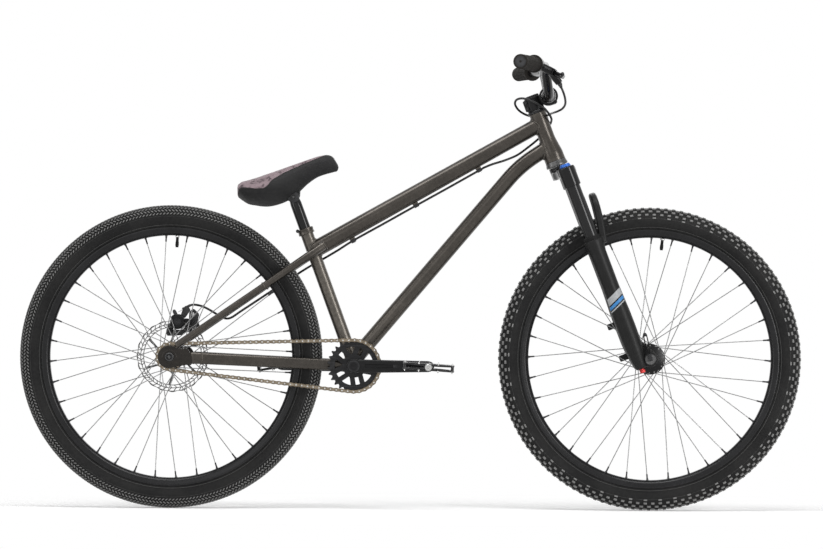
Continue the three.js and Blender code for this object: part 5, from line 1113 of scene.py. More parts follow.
@dataclass
class Studio:
    """Camera, lamps and floor.

    Attributes:
        aim: Point that the camera looks at.
        distance: Way from the aim to the camera.
        lens: Focal length of the camera.
        yaw: Degrees that the camera stands ahead of square.
        roll: Degrees that the picture leans.
        far: Distance that the camera still sees, in metres.
        lamp_aim: Point that the lamps face.
        soft: Strength of the world's light on the bike.
        lift: Glow of the near floor.
        floor_half: Half the side of the floor.
        lamps: Name, place, two sides in metres and power of each lamp.
    """

    aim: Point = (2, 0, 517)
    distance: float = 12000
    lens: float = 237.95
    yaw: float = 0.85
    roll: float = 0.3
    far: float = 100
    lamp_aim: Point = (0, 0, 500)
    soft: float = 0.28
    lift: float = 0.22
    floor_half: float = 9000
    lamps: Sequence[tuple[str, Point, Point, float]] = (
        ("lamp_top", (-200, -700, 2700), (3.0, 0.8), 42),
        ("lamp_front", (-1500, -3200, 1500), (1.6, 1.4), 6),
        ("lamp_strip", (2350, -2300, 900), (0.8, 2.3), 55),
        ("lamp_rear_strip", (-2700, -1500, 1100), (0.5, 2.2), 16),
        ("lamp_back", (200, 2600, 1500), (3.0, 1.4), 14),
    )

    def camera(self) -> None:
        """Places the camera at the photograph's angle."""
        lens = bpy.data.cameras.new("camera")
        lens.lens, lens.clip_end = self.lens, self.far
        camera = shown("camera", lens)
        a = math.radians(self.yaw)
        aim = Vector(self.aim) * MM
        camera.location = aim + Vector((math.sin(a), -math.cos(a), 0)) * self.distance * MM
        look = (aim - camera.location).to_track_quat("-Z", "Y").to_matrix().to_4x4()
        lean = Matrix.Rotation(math.radians(self.roll), 4, "Z")
        camera.matrix_world = Matrix.Translation(camera.location) @ look @ lean
        bpy.context.scene.camera = camera

    def light(self) -> None:
        """Places the soft lamps and the world."""
        for name, place, size, power in self.lamps:
            data = bpy.data.lights.new(name, "AREA")
            data.shape, data.size, data.size_y, data.energy = "RECTANGLE", *size, power
            lamp = shown(name, data)
            lamp.location = Vector(place) * MM
            way = Vector(self.lamp_aim) * MM - lamp.location
            lamp.rotation_euler = way.to_track_quat("-Z", "Y").to_euler()
        world = bpy.data.worlds.new("world")
        bpy.context.scene.world = world
        graph = Graph(world)
        seen = graph.node("ShaderNodeLightPath", None, None, "Is Camera Ray")
        for ray in ("Is Glossy Ray", "Is Transmission Ray"):
            seen = seen + graph.node("ShaderNodeLightPath", None, None, ray)
        soft, white = graph.plain("Background", self.soft), graph.plain("Background", 1)
        graph.end(graph.node("ShaderNodeMixShader", None, {0: seen, 1: soft, 2: white}),
                  "ShaderNodeOutputWorld")
        bpy.context.scene.view_settings.view_transform = "Standard"

    def floor(self) -> None:
        """Makes the pale floor, which keeps the shadows near the wheels."""
        half = self.floor_half
        corners = np.array([(x, y, -0.6) for x, y in oblong(-half, -half, half, half)])
        skin = Skin(corners, [(0, 1, 2, 3)], np.zeros((4, 3)))
        made = bpy.data.materials.new("floor")
        graph = Graph(made)
        place = graph.place()
        far = graph.node("ShaderNodeVectorMath", {"operation": "LENGTH"},
                         {0: place * (0.8, 1.6, 1)}, "Value").ramp(0.55, 1.3)
        speck = graph.noise(place, 300, 2)
        tint = speck.ramp(0.2, 0.8).mix((0.93, 0.93, 0.93), (0.95, 0.95, 0.95))
        paint = graph.node("ShaderNodeBsdfPrincipled",
                           None, {"Base Color": tint, "Roughness": 0.9, "Specular IOR Level": 0.1})
        near = graph.node("ShaderNodeAddShader", None, {0: paint, 1: graph.plain("Emission", self.lift)})
        graph.end(graph.node("ShaderNodeMixShader",
                             None, {0: far, 1: near, 2: graph.plain("Emission", 1)}))
        floor = shown("floor", skin.mesh("floor"))
        floor.data.materials.append(made)


def dress(node: str, finish: Finish, sharp: float = 38) -> None:
    """Gives a CAD node that still shows a detailed finish and smooth shading.

    Args:
        node: Name of the CAD node.
        finish: How it looks.
        sharp: Angle in degrees above which an edge stays sharp.
    """
    obj = bpy.data.objects[node]
    if not obj.material_slots:
        obj.data.materials.append(None)
    for slot in obj.material_slots:
        slot.material = finish.material()
    obj.data.shade_smooth()
    obj.data.set_sharp_from_angle(angle=math.radians(sharp))
    counted(obj)


# Wheels


@dataclass
class Hub:
    """Sizes of a hub, along Y from the wheel's middle.

    Attributes:
        profile: Pairs of radius and Y, from the right end to the left.
        flanges: Y of the right and left flange.
        circle: Radius of the spoke holes.
        bore: Radius of the hole for the axle.
        phase: Degrees that the spokes are turned.
        valve: Degrees of the valve ahead of the top.
    """

    profile: Flat
    flanges: tuple[float, float]
    circle: float
    bore: float
    phase: float
    valve: float


@dataclass
class Wheel:
    """A wheel with tyre, rim, laced spokes, hub and valve.

    Attributes:
        name: First word of its pieces and CAD nodes.
        body: CAD body.
        centre: Middle of the axle.
        hub: Its hub.
        tread: Its tread pattern.
    """

    name: str
    body: Body
    centre: np.ndarray
    hub: Hub
    tread: Tread
    radius: float = 333.5
    bead: float = 279.5
    rim_outer: float = 285
    rim_inner: float = 267
    knob: float = 2.9
    spokes: int = 36
    crosses: int = 3
    spoke_radius: float = 1.0
    nipple_length: float = 13
    sides: int = 200
    casing: Flat = field(default_factory=lambda: [
        (281, 12.0), (286.5, 13.6), (292, 19.2), (298, 24.4), (305, 27.2), (312, 27.4),
        (319, 24.8), (325, 19.5), (329, 12.5), (330.6, 6), (330.9, 0)])

    def _axle(self) -> np.ndarray:
        """Returns the matrix with local Z along the axle to the left, X ahead and Y up."""
        return axes(self.centre, (1, 0, 0), (0, 0, -1), (0, 1, 0))

    def _at(self, radius: float, angle: float, y: float) -> np.ndarray:
        """Returns the point at a radius and an angle from the top, clockwise from the right."""
        return self.centre + vec(radius * math.sin(angle), y, radius * math.cos(angle))

    def _section(self) -> np.ndarray:
        """Returns the tyre's outer section from the right bead to the left as radius and Y.

        Returns:
            Pairs of radius and Y.
        """
        sink = 1.3 if self.tread is Tread.SQUARE else 0.0
        half = rounded_path([(r - sink * (r > 318), y, 0) for r, y in self.casing], 3)[:, :2]
        mirrored = half[::-1][1:] * (1, -1)
        return np.vstack([half, mirrored])[::-1]

    def _knob(self, section: np.ndarray, share: float, angle: float, long: float, wide: float,
              slant: float, height: float) -> Skin:
        """Makes one tread block.

        Args:
            section: Points of the tyre's section.
            share: Place on the section, from 0 at the right bead to 1 at the left.
            angle: Place round the wheel.
            long: Length round the wheel.
            wide: Width over the section.
            slant: How far its left side runs ahead of its right, in millimetres.
            height: Height over the casing.

        Returns:
            The skin.
        """
        spot = share * (len(section) - 1)
        i = min(int(spot), len(section) - 2)
        radius, y = section[i] + (section[i + 1] - section[i]) * (spot - i)
        over = unit(section[i + 1] - section[i])
        out_radius, out_y = over[1], -over[0]
        rings = []
        for level, size in ((-0.8, 1.0), (height * 0.75, 0.9), (height, 0.72)):
            ring = []
            for a, b in ((-1, -1), (1, -1), (1, 1), (-1, 1)):
                across = b * wide / 2 * size
                r = radius + over[0] * across + out_radius * level
                ahead = (a * long / 2 * size + b * slant / 2) / self.radius
                ring.append(self._at(r, angle + ahead, y + over[1] * across + out_y * level))
            rings.append(np.array(ring))
        block = Skin.loft(rings)
        # The top ring carries 1 in the grain's last number, which the tyre finish paints light: painted
        # highlight.
        block.grain = np.array([(0, 0, level / MM) for level in (0, 0.75, 1) for _ in range(4)])
        return block

    def _tread(self, section: np.ndarray) -> list[Skin]:
        """Returns all tread blocks.

        Args:
            section: Points of the tyre's section.

        Returns:
            One skin for each block.
        """
        skins = []
        for share, count, shift, long, wide, slant, high in self.tread.value:
            sides = ((share, slant), (1 - share, -slant)) if share < 0.5 else ((share, slant),)
            for spot, lean in sides:
                for k in range(count):
                    skins.append(self._knob(section, spot, (k + shift) * 2 * math.pi / count,
                                            long, wide, lean, self.knob * high))
        return skins

    def tyre(self) -> None:
        """Builds the tyre: casing with a bead line, and its tread blocks."""
        section = self._section()
        inner = [(r - 3.0 if r > 300 else r, y * 0.86) for r, y in section[::-1]]
        line = []
        for r, y in section:
            line.append((r, y))
            if abs(r - 292) < 1.5:
                line.append((r + 0.4, y + math.copysign(0.7, y)))
        casing = Skin.lathe([*line, *inner], self.sides, self._axle(), loop=True)
        casing.grain = casing.grain * 0
        ribs = [Skin.lathe([(r - 0.6, side * (y - 0.5)), (r, side * (y + 0.45)),
                            (r + 0.6, side * (y - 0.5))], self.sides, self._axle(), loop=True)
                for side in (-1, 1) for r, y in ((309.5, 27.45), (290.4, 17.8))]
        # The ribs carry 0.55 in the grain's last number, so the tyre finish paints them lighter: painted
        # highlight.
        for rib in ribs:
            rib.grain = rib.grain * 0 + (0, 0, 0.55 / MM)
        add_piece(f"{self.name}_tyre_casing", [casing, *ribs, *self._tread(section)],
                  Palette.TYRE, self.body, [f"{self.name}_tyre"], 50)
        dress(f"{self.name}_inner_tube", Palette.TYRE)

    def rim(self) -> None:
        """Builds the rim with rolled flanges and an eyelet at each spoke."""
        half = [(self.bead - 1.3, 12.9), (self.rim_outer - 0.6, 12.9), (self.rim_outer + 0.1, 13.4),
                (self.rim_outer + 0.1, 15.1), (self.rim_outer - 0.8, 15.5), (self.bead + 1, 15.5),
                (self.bead - 0.2, 14.9), (self.bead - 4.6, 14.8), (self.bead - 6.2, 14.0),
                (self.rim_inner + 1.2, 9.4), (self.rim_inner + 0.2, 7.6), (self.rim_inner - 0.1, 3)]
        outer = [*half, *[(r, -y) for r, y in reversed(half)]]
        well = self.rim_inner + 3.4
        ring = Skin.lathe([*outer, (well, -9.0), (well, 9.0)], self.sides, self._axle(), loop=True)
        eyelets = []
        for i in range(self.spokes):
            tip = self._tip(i)
            out = unit(tip - self._head(i))
            eyelets.append(Skin.lathe([(2.3, 0), (3.5, 0), (3.3, 0.7), (2.6, 0.9), (2.3, 0.6)], 12,
                                      aimed(tip + out * 0.4, -out), loop=True))
        weld = Skin.plate(oblong(-0.35, -7, 0.35, 7, 0.2), -0.25, 0.2,
                          aimed(self._at(self.rim_inner + 0.2, math.radians(self.hub.valve) + math.pi, 0),
                                self._at(1, math.radians(self.hub.valve) + math.pi, 0) - self.centre,
                                (0, 1, 0)), bevel=0.1)
        add_piece(f"{self.name}_rim_ring", [ring, weld], Palette.RIM, self.body, [f"{self.name}_rim"], 32)
        add_piece(f"{self.name}_rim_eyelets", eyelets, Palette.BLACK_STEEL, self.body)

    def _rim_angle(self, i: int) -> float:
        """Returns the angle of a spoke's nipple."""
        return i * 2 * math.pi / self.spokes + math.radians(self.hub.phase)

    def _head(self, i: int) -> np.ndarray:
        """Returns the elbow of a spoke at its flange.

        Args:
            i: Number of the spoke.

        Returns:
            The point.
        """
        flange, turn_way = i % 2, 1 if i // 2 % 2 else -1
        lean = turn_way * self.crosses * 4 * math.pi / self.spokes
        y = self.hub.flanges[flange] + turn_way * 1.9
        return self._at(self.hub.circle, self._rim_angle(i) + lean, y)

    def _tip(self, i: int) -> np.ndarray:
        """Returns the end of a spoke's nipple at the rim."""
        side = -1 if i % 2 == 0 else 1
        return self._at(self.rim_inner - 0.6, self._rim_angle(i), side * 2.2)

    def lacing(self) -> None:
        """Builds the spokes, with elbows through the flanges, and their nipples."""
        spokes, nipples = [], []
        for i in range(self.spokes):
            head, tip = self._head(i), self._tip(i)
            along = unit(tip - head)
            out = 1 if head[1] > self.hub.flanges[i % 2] else -1
            knee = head + along * 3
            path = bent_path([head + vec(0, -out * 4.4, 0), head, knee,
                              tip - along * (self.nipple_length - 3)], 1.6, 5)
            spokes.append(Skin.tube(path, self.spoke_radius, 10, (0.3, 0.2, 1)))
            spokes.append(Skin.lathe([(0, -0.9), (1.3, -0.8), (1.9, -0.1), (1.5, 0.6), (0, 0.7)], 12,
                                     aimed(head + vec(0, -out * 4.4, 0), (0, -out, 0))))
            foot = tip - along * self.nipple_length
            nipples.append(Skin.lathe([(0, 0), (1.5, 0), (1.75, 0.5), (1.75, 8.6), (2.15, 9.4),
                                       (2.2, self.nipple_length), (0, self.nipple_length)], 8,
                                      aimed(foot, along)))
        add_piece(f"{self.name}_spokes", spokes, Palette.SPOKE, self.body)
        add_piece(f"{self.name}_nipples", nipples, Palette.ANODISED, self.body)

    def hub_shell(self) -> None:
        """Builds the hub's turned shell with its spoke holes' rings."""
        profile = [(self.hub.bore, self.hub.profile[0][1]), *self.hub.profile,
                   (self.hub.bore, self.hub.profile[-1][1])]
        shell = Skin.lathe(profile, 72, self._axle(), loop=True)
        rings = []
        for i in range(self.spokes):
            head = self._head(i)
            spot = vec(head[0], self.hub.flanges[i % 2], head[2])
            rings.append(Skin.lathe(even([(1.25, 2.35), (2.2, 2.35), (2.0, 2.1)]),
                                    12, aimed(spot, (0, 1, 0)), loop=True))
        add_piece(f"{self.name}_hub_shell", shell, Palette.ANODISED, self.body, [f"{self.name}_hub"], 30)
        add_piece(f"{self.name}_hub_holes", rings, Palette.BLACK_STEEL, self.body)

    def valve(self) -> None:
        """Builds the valve's lock ring and cap."""
        angle = math.radians(self.hub.valve)
        out = unit(self._at(1, angle, 0) - self.centre)
        foot = self._at(self.rim_inner - 0.4, angle, 0)
        ring = knurled(5.2, 0, 3.2, aimed(foot, -out), 14, 0.4, 3.3)
        cap = Skin.lathe([(0, 0), (2.2, 0.3), (3.5, 2.0), (3.9, 5.0), (3.7, 11.5), (2.7, 14.0),
                          (0, 14.2)], 20, aimed(self._at(241.2, angle, 0), out))
        stem = Skin.tube([foot + out * 1.0, self._at(254, angle, 0)], 2.4, 20)
        add_piece(f"{self.name}_valve_ring", ring, Palette.STEEL, self.body)
        add_piece(f"{self.name}_valve_stem", stem, Palette.JACKET, self.body)
        add_piece(f"{self.name}_valve_cap", cap, Palette.SEAL, self.body)

    def build(self) -> None:
        """Builds every piece of the wheel."""
        self.tyre()
        self.rim()
        self.lacing()
        self.hub_shell()
        self.valve()
        log.info("%s wheel done", self.name)


FRONT_HUB = Hub(even([(12.6, 50), (13.6, 49.4), (14, 48.6),
                      (14, 34), (15.5, 32.2), (32.8, 29), (34, 28.4), (34, 25.8), (32.8, 25.2),
                      (22, 24.4), (19.4, 21.5), (18.6, 16), (18.2, 0)]), (-27, 27), 30, 10.3, 0.7, 5.9)

REAR_HUB = Hub(
    [(8.4, -67.5), (9, -66.9), (9, -53.4), (16.2, -53), (17, -52.4), (17, -40), (16.6, -37),
     (17.5, -32), (29, -30.4), (30, -29.8), (30, -27), (29, -26.2), (19, -25.2), (16.6, -22),
     (15.6, -14), (15.6, 13), (16.6, 21), (19, 24.2), (29, 25.2), (30, 26), (30, 28.4), (29, 29.2),
     (24, 31), (22, 33), (22, 50.4), (21.5, 51), (9, 51), (9, 66.9), (8.4, 67.5)],
    (-28, 27), 26, 5.3, -2.6, 2.7)


# Frame


def weld_bead(branch_from: np.ndarray, branch_to: np.ndarray, branch_radius: float, main_from: np.ndarray,
              main_to: np.ndarray, main_profile: Flat, bead: float = 2.4, steps: int = 120) -> Skin:
    """Makes the rippled weld where a tube meets another.

    Args:
        branch_from: Point on the joining tube's line, outside the main tube.
        branch_to: Point on that line inside the main tube.
        branch_radius: Radius of the joining tube.
        main_from: One end of the main tube's line.
        main_to: Its other end.
        main_profile: Pairs of the main tube's radius and height over its first end.
        bead: Radius of the weld.
        steps: Points round the weld.

    Returns:
        The skin.
    """
    way = unit(branch_to - branch_from)
    axis = unit(main_to - main_from)
    side = unit(np.cross(way, axis))
    up = np.cross(side, way)
    radii, heights = zip(*main_profile)
    length = np.linalg.norm(branch_to - branch_from)
    path = []
    for angle in np.linspace(0, 2 * math.pi, steps, endpoint=False):
        start = branch_from + (side * math.cos(angle) + up * math.sin(angle)) * branch_radius
        for travelled in np.arange(0, length, 0.5):
            spot = start + way * travelled
            height = (spot - main_from) @ axis
            if np.linalg.norm(spot - main_from - axis * height) <= np.interp(height, heights, radii):
                break
        path.append(spot)
    path = np.array(path)
    path = (np.roll(path, 1, 0) + path * 2 + np.roll(path, -1, 0)) / 4
    length_round = np.linalg.norm(np.roll(path, -1, 0) - path, axis=1).sum()
    ripples = max(8, round(length_round / 3.4))
    dense = np.vstack([lerp(path[i], path[(i + 1) % steps], t)
                       for i in range(steps) for t in (0, 1 / 3, 2 / 3)])
    phase = np.arange(len(dense)) / len(dense) * ripples * 2 * math.pi
    size = bead * (0.86 + 0.14 * np.abs(np.cos(phase / 2)))
    return Skin.tube(dense, [(s, s) for s in size], 10, way, closed=True)


@dataclass
class BikeFrame:
    """The welded frame with its cups, guides, clamp and rear axle."""

    top_radius: float = 19
    top_nose: float = 17
    down_radius: float = 17
    seat_radius: float = 14.3
    shell_radius: float = 21
    shell_half: float = 34
    top_length: float = 612
    plate_gap: float = 0.3
    plate_thick: float = 7
    plate_radius: float = 25
    tab_faces: tuple[float, float] = (64.3, 71.3)
    head_profile: Flat = field(default_factory=lambda: [
        (17, 0), (22.4, 0), (23, 0.6), (23, 15), (22.3, 22), (20.4, 34), (18.4, 48), (18, 57),
        (18.1, 70), (18.5, 84), (19, 96), (19, 112.6), (18.4, 113.2), (17, 113.2)])
    stay_shares: Sequence[float] = (0.055, 0.19, 0.40, 0.50, 0.79, 0.885)
    stay_spreads: Sequence[float] = (0.49, 0.533, 0.578, 0.652, 0.896, 0.993)
    seatstay_shares: Sequence[float] = (0, 0.19, 0.35, 1)
    seatstay_spreads: Sequence[float] = (0.393, 0.637, 0.652, 0.978)

    def __post_init__(self) -> None:
        """Derives the ends of the tubes."""
        self.top_seat = LAYOUT.on_seat_tube(270.1)
        self.top_head = LAYOUT.on_steering(88.5)
        self.down_head = LAYOUT.on_steering(34.7)
        self.down_bend = self.down_head + vec(-66.9, 0, -44)
        reach = self.down_bend - LAYOUT.bottom_bracket
        lean = math.atan2(reach[2], reach[0]) - math.asin(9.4 / np.linalg.norm(reach))
        self.down_foot = LAYOUT.bottom_bracket + vec(-math.sin(lean), 0, math.cos(lean)) * 9.4

    def _stay_path(self, side: int, lower: bool) -> np.ndarray:
        """Returns the centre points of a chainstay or seatstay.

        Args:
            side: -1 for the right, 1 for the left.
            lower: The chainstay rather than the seatstay.

        Returns:
            The points.
        """
        if lower:
            start, end = LAYOUT.bottom_bracket, LAYOUT.rear_axle
            shares, spreads = self.stay_shares, self.stay_spreads
        else:
            start = self.top_seat + vec(26.5, 0, 12.2)
            end = LAYOUT.rear_axle + vec(21.8, 0, 29.7)
            shares, spreads = self.seatstay_shares, self.seatstay_spreads
        points = []
        for share, spread in zip(shares, spreads):
            p = lerp(start, end, share)
            p[1] = side * spread * LAYOUT.hub_half
            points.append(p)
        return bent_path(points, 26, 8)

    def tubes(self) -> None:
        """Builds the main tubes."""
        bb, seat_top = LAYOUT.bottom_bracket, LAYOUT.on_seat_tube(LAYOUT.seat_length)
        add_piece("frame_head_tube", Skin.lathe(self.head_profile, 72, LAYOUT.steering(), loop=True),
                  Palette.BRONZE, Body.FRAME, ["head_tube"])
        way = np.array([lerp(self.top_seat, self.top_head, s) for s in np.linspace(0, 1, 24)])
        sizes = [(r, r) for r in np.linspace(self.top_radius, self.top_nose, 24)]
        add_piece("frame_top_tube", Skin.tube(way, sizes, 56), Palette.BRONZE, Body.FRAME, ["top_tube"])
        path = bent_path([self.down_foot, self.down_bend, self.down_head], 46, 16)
        add_piece("frame_down_tube",
                  Skin.tube(path, self.down_radius, 56), Palette.BRONZE, Body.FRAME, ["down_tube"])
        tube = Skin.lathe([(13.0, 0), (self.seat_radius, 0), (self.seat_radius, LAYOUT.seat_length - 0.5),
                           (self.seat_radius - 0.5, LAYOUT.seat_length), (13.0, LAYOUT.seat_length)],
                          56, aimed(bb, seat_top - bb), loop=True)
        add_piece("frame_seat_tube", tube, Palette.BRONZE, Body.FRAME, ["seat_tube"])
        shell = Skin.lathe(even([(17, 34), (20.4, 34), (21, 33.4)]), 64, aimed(bb, (0, 1, 0)), loop=True)
        add_piece("frame_bracket_shell", shell, Palette.BRONZE, Body.FRAME, ["bottom_bracket_shell"])

    def _dropout(self, side: int) -> Skin:
        """Returns the plate that holds the rear axle.

        Args:
            side: -1 for the right, 1 for the left.

        Returns:
            The skin.
        """
        r = self.plate_radius
        outline = arc(r, math.pi / 3, math.pi * 5 / 3, 44)
        outline += rounded([(0, 0), (2 * r, -0.82 * r), (2 * r, 0.1 * r), (1.5 * r, 0.9 * r)], 9)[6:]
        inner = LAYOUT.hub_half + self.plate_gap
        outer = inner + self.plate_thick
        place = facing_side(LAYOUT.rear_axle, side)
        mirror = [(x * -side, y) for x, y in outline]
        plate = Skin.plate(mirror, inner, outer, place, [circle(5.4, 32)], 0.9)
        boss = Skin.lathe([(9.4, 0), (15.4, 0), (16.2, -0.5), (16.2, 0.5), (15.6, 0.9),
                           (10.2, 0.9), (9.6, 0.5)], 40, shifted(place, 0, 0, outer - 0.1), loop=True)
        return Skin.join([plate, boss])

    def stays(self) -> None:
        """Builds the chainstays and seatstays with their plates and the brake's tab."""
        for side, word in SIDES:
            path = self._stay_path(side, True)
            share = np.linspace(0, 1, len(path))
            sizes = [(6.5 - 1.5 * max(0, s - 0.8) / 0.2, 12.5) for s in share]
            add_piece(f"frame_chainstay_{word}",
                      Skin.tube(path, sizes, 40), Palette.BRONZE, Body.FRAME, [f"chainstay_{word}"])
            # The dropout plate takes the darker bronze: painted shade.
            add_piece(f"frame_dropout_{word}", self._dropout(side), Palette.DROPOUT, Body.FRAME)
            path = self._stay_path(side, False)
            path = np.vstack([path, path[-1] + unit(path[-1] - path[-2]) * 9])
            share = np.linspace(0, 1, len(path))
            sizes = [(9.2 - 1.7 * s,) * 2 for s in share]
            add_piece(f"frame_seatstay_{word}",
                      Skin.tube(path, sizes, 40), Palette.BRONZE, Body.FRAME, [f"seatstay_{word}"])
        self._brake_tab()

    def _brake_tab(self) -> None:
        """Builds the tab on the left seatstay that carries the caliper bracket."""
        shares = [(3.4, .55), (5.8, .8), (5.2, 1.08), (5.6, 1.22), (4.3, 1.4), (3.4, 1.3), (3.3, .9)]
        outline = rounded([(-x * 10.5, z * 75.9) for x, z in shares], 5)
        slots = [oblong(-x + 2.6, z - 4.6, -x - 2.6, z + 4.6, 2.5)
                 for x, z in ((44.5, 62.0), (44.5, 92.0))]
        place = facing_side(LAYOUT.rear_axle, 1)
        # The tab is welded to the frame and shares its bronze paint, but takes the black finish: painted
        # shade, as it lies in shadow.
        add_piece("frame_brake_tab", Skin.plate(outline, *self.tab_faces, place, slots, 0.8),
                  Palette.EDGED, Body.FRAME)
        screws = [bolt(shifted(place, -44.5, z, self.tab_faces[1]), 4.2, 2.2) for z in (62.0, 92.0)]
        add_piece("brake_tab_screws", screws, Palette.STEEL, Body.FRAME)

    def welds(self) -> None:
        """Builds the weld beads at the joints."""
        head = (LAYOUT.on_steering(0), LAYOUT.on_steering(LAYOUT.head_length))
        bb, seat_top = LAYOUT.bottom_bracket, LAYOUT.on_seat_tube(LAYOUT.seat_length)
        half = vec(0, self.shell_half, 0)
        head = (*head, self.head_profile[1:-1])
        seat = (bb, seat_top, [(self.seat_radius, 0)])
        shell = (bb - half, bb + half, [(self.shell_radius, 0)])
        top = (self.top_seat, self.top_head, [(self.top_radius, 0), (self.top_nose, self.top_length)])
        top_line = unit(self.top_head - self.top_seat)
        beads = [weld_bead(self.top_head - top_line * 60, self.top_head, self.top_nose, *head),
                 weld_bead(self.down_bend, self.down_head, self.down_radius, *head),
                 weld_bead(self.top_seat + top_line * 60, self.top_seat, self.top_radius, *seat),
                 weld_bead(lerp(bb, seat_top, 0.2), bb, self.seat_radius, *shell),
                 weld_bead(lerp(self.down_foot, self.down_bend, 0.12),
                           self.down_foot, self.down_radius, *shell)]
        for side in (-1, 1):
            path = self._stay_path(side, False)
            beads.append(weld_bead(path[12], path[0], 8.9, *top, 2.0))
        add_piece("frame_weld_beads", beads, Palette.WELD, Body.FRAME, sharp=75)
        self._stay_welds()

    def _stay_welds(self) -> None:
        """Builds the weld beads round the ends of the stays."""
        beads = []
        for side in (-1, 1):
            for lower, spot, size in ((True, 2, (6.9, 12.9)), (True, -3, (5.6, 12.6)),
                                      (False, -2, (7.9, 7.9))):
                path = self._stay_path(side, lower)
                centre, way = path[spot], unit(path[spot] - path[spot - 1])
                if lower and spot == 2:
                    centre = lerp(path[0], path[1], 0.05)
                across = unit(vec(0, 1, 0) - way * way[1])
                up = np.cross(way, across)
                ring = np.array([centre + across * math.cos(a) * size[0] + up * math.sin(a) * size[1]
                                 for a in np.linspace(0, 2 * math.pi, 150, endpoint=False)])
                phase = np.arange(150) / 150 * 2 * math.pi * 18
                wide = 1.7 * (0.86 + 0.14 * np.abs(np.cos(phase / 2)))
                beads.append(Skin.tube(ring, [(w, w) for w in wide], 8, way, closed=True))
        add_piece("frame_stay_welds", beads, Palette.WELD, Body.FRAME, sharp=75)

    def guides(self) -> None:
        """Builds the cable guides under the top tube: a block, a clip and its screw."""
        line = unit(self.top_head - self.top_seat)
        down = vec(line[2], 0, -line[0])
        blocks, clips, screws = [], [], []
        for share in (0.1535, 0.4294, 0.7054):
            radius = self.top_radius + (self.top_nose - self.top_radius) * share
            foot = lerp(self.top_seat, self.top_head, share) + down * (radius - 1.5)
            place = axes(foot, line, (0, -1, 0), down)
            blocks.append(Skin.plate(oblong(-6.5, -4.5, 6.5, 4.5, 2.5), 0, 4.6, place, bevel=0.7))
            saddle = [(-4.4, 3.6), (-4.4, 9.6), (-3.0, 11.6), (3.0, 11.6), (4.4, 9.6), (4.4, 3.6)]
            turned = axes(foot - line * 5.6, (0, 1, 0), down, line)
            clips.append(Skin.plate(rounded(saddle, 1.6),
                                    0, 11.2, turned, [circle(2.7, 24, (0, 25.6 - radius))], 0.4))
            screws.append(bolt(axes(foot + down * 11.4, (1, 0, 0), (0, 1, 0), down), 2.6, 1.6))
        add_piece("cable_guide_blocks", blocks, Palette.BRONZE, Body.FRAME)
        add_piece("cable_guide_clips", clips, Palette.ANODISED, Body.FRAME)
        add_piece("cable_guide_screws", screws, Palette.STEEL, Body.FRAME)

    def headset(self) -> None:
        """Builds the headset cups."""
        lower = [(15, -0.3), (23, -0.3), (23.4, -1.2), (23.2, -4), (24.4, -7.4), (24.6, -9.6),
                 (24.2, -11.6), (23.0, -12.3), (15, -12.3)]
        add_piece("headset_lower_ring", Skin.lathe(lower, 64, LAYOUT.steering(), loop=True),
                  Palette.CUP, Body.FRAME, ["headset_lower_cup"], 30)
        top = LAYOUT.head_length
        upper = [(15, top + 0.3), (20.2, top + 0.3), (21, top + 1.2), (20.8, top + 3.2),
                 (19.6, top + 5.4), (18.6, top + 6.3), (15, top + 6.3)]
        add_piece("headset_upper_ring", Skin.lathe(upper, 64, LAYOUT.steering(), loop=True),
                  Palette.ANODISED, Body.FRAME, ["headset_upper_cup"], 30)

    def axle(self) -> None:
        """Builds the rear axle's bolts, washers and shaft."""
        face = LAYOUT.hub_half + self.plate_gap + self.plate_thick
        out = vec(0, face, 0)
        parts = [Skin.tube([LAYOUT.rear_axle - out, LAYOUT.rear_axle + out], 5.0, 32)]
        for side in (-1, 1):
            place = facing_side(LAYOUT.rear_axle, side)
            parts.append(Skin.lathe([(5, 0), (9.3, 0), (9.6, 0.3), (9.6, 1.1), (9.2, 1.4), (5, 1.4)],
                                    48, shifted(place, 0, 0, face + 0.1), loop=True))
            parts.append(bolt(shifted(place, 0, 0, face + 1.4), 8.4, 4.2, 4.1))
        add_piece("rear_axle_bolts", parts, Palette.BLACK_STEEL, Body.FRAME, ["rear_axle"])

    def seat_clamp(self) -> None:
        """Builds the seat clamp and its bolt."""
        top = LAYOUT.on_seat_tube(LAYOUT.seat_length)
        place = aimed(top - LAYOUT.seat_up * 13, LAYOUT.seat_up, (0, 1, 0))
        ring = Skin.lathe([(14.5, 0), (17.2, 0), (18, 0.7), (18, 4), (17.4, 5), (17.4, 8.4), (18, 9.4),
                           (18, 12.3), (17.4, 13), (14.5, 13)], 64, place, loop=True)
        middle = top - LAYOUT.seat_up * 6.5 + vec(-18, 0, 0)
        ears = [Skin.tube([middle + vec(0, a, 0), middle + vec(0, b, 0)], 4.4, 28)
                for a, b in ((-9.5, -1.0), (1.0, 9.5))]
        add_piece("seat_clamp_ring", [ring, *ears], Palette.BRONZE, Body.FRAME, ["seat_clamp"])
        head = bolt(aimed(middle + vec(0, -9.5, 0), (0, -1, 0)), 3.9, 3.4)
        nut = Skin.lathe([(0, 0), (3.9, 0), (3.9, 2.8), (3.2, 3.4), (0, 3.4)], 6,
                         aimed(middle + vec(0, 9.5, 0), (0, 1, 0)))
        add_piece("seat_clamp_bolt", [head, nut], Palette.BLACK_STEEL, Body.FRAME)

    def build(self) -> None:
        """Builds every piece of the frame."""
        self.tubes()
        self.stays()
        self.welds()
        self.guides()
        self.headset()
        self.axle()
        self.seat_clamp()
        log.info("frame done")


# Suspension fork


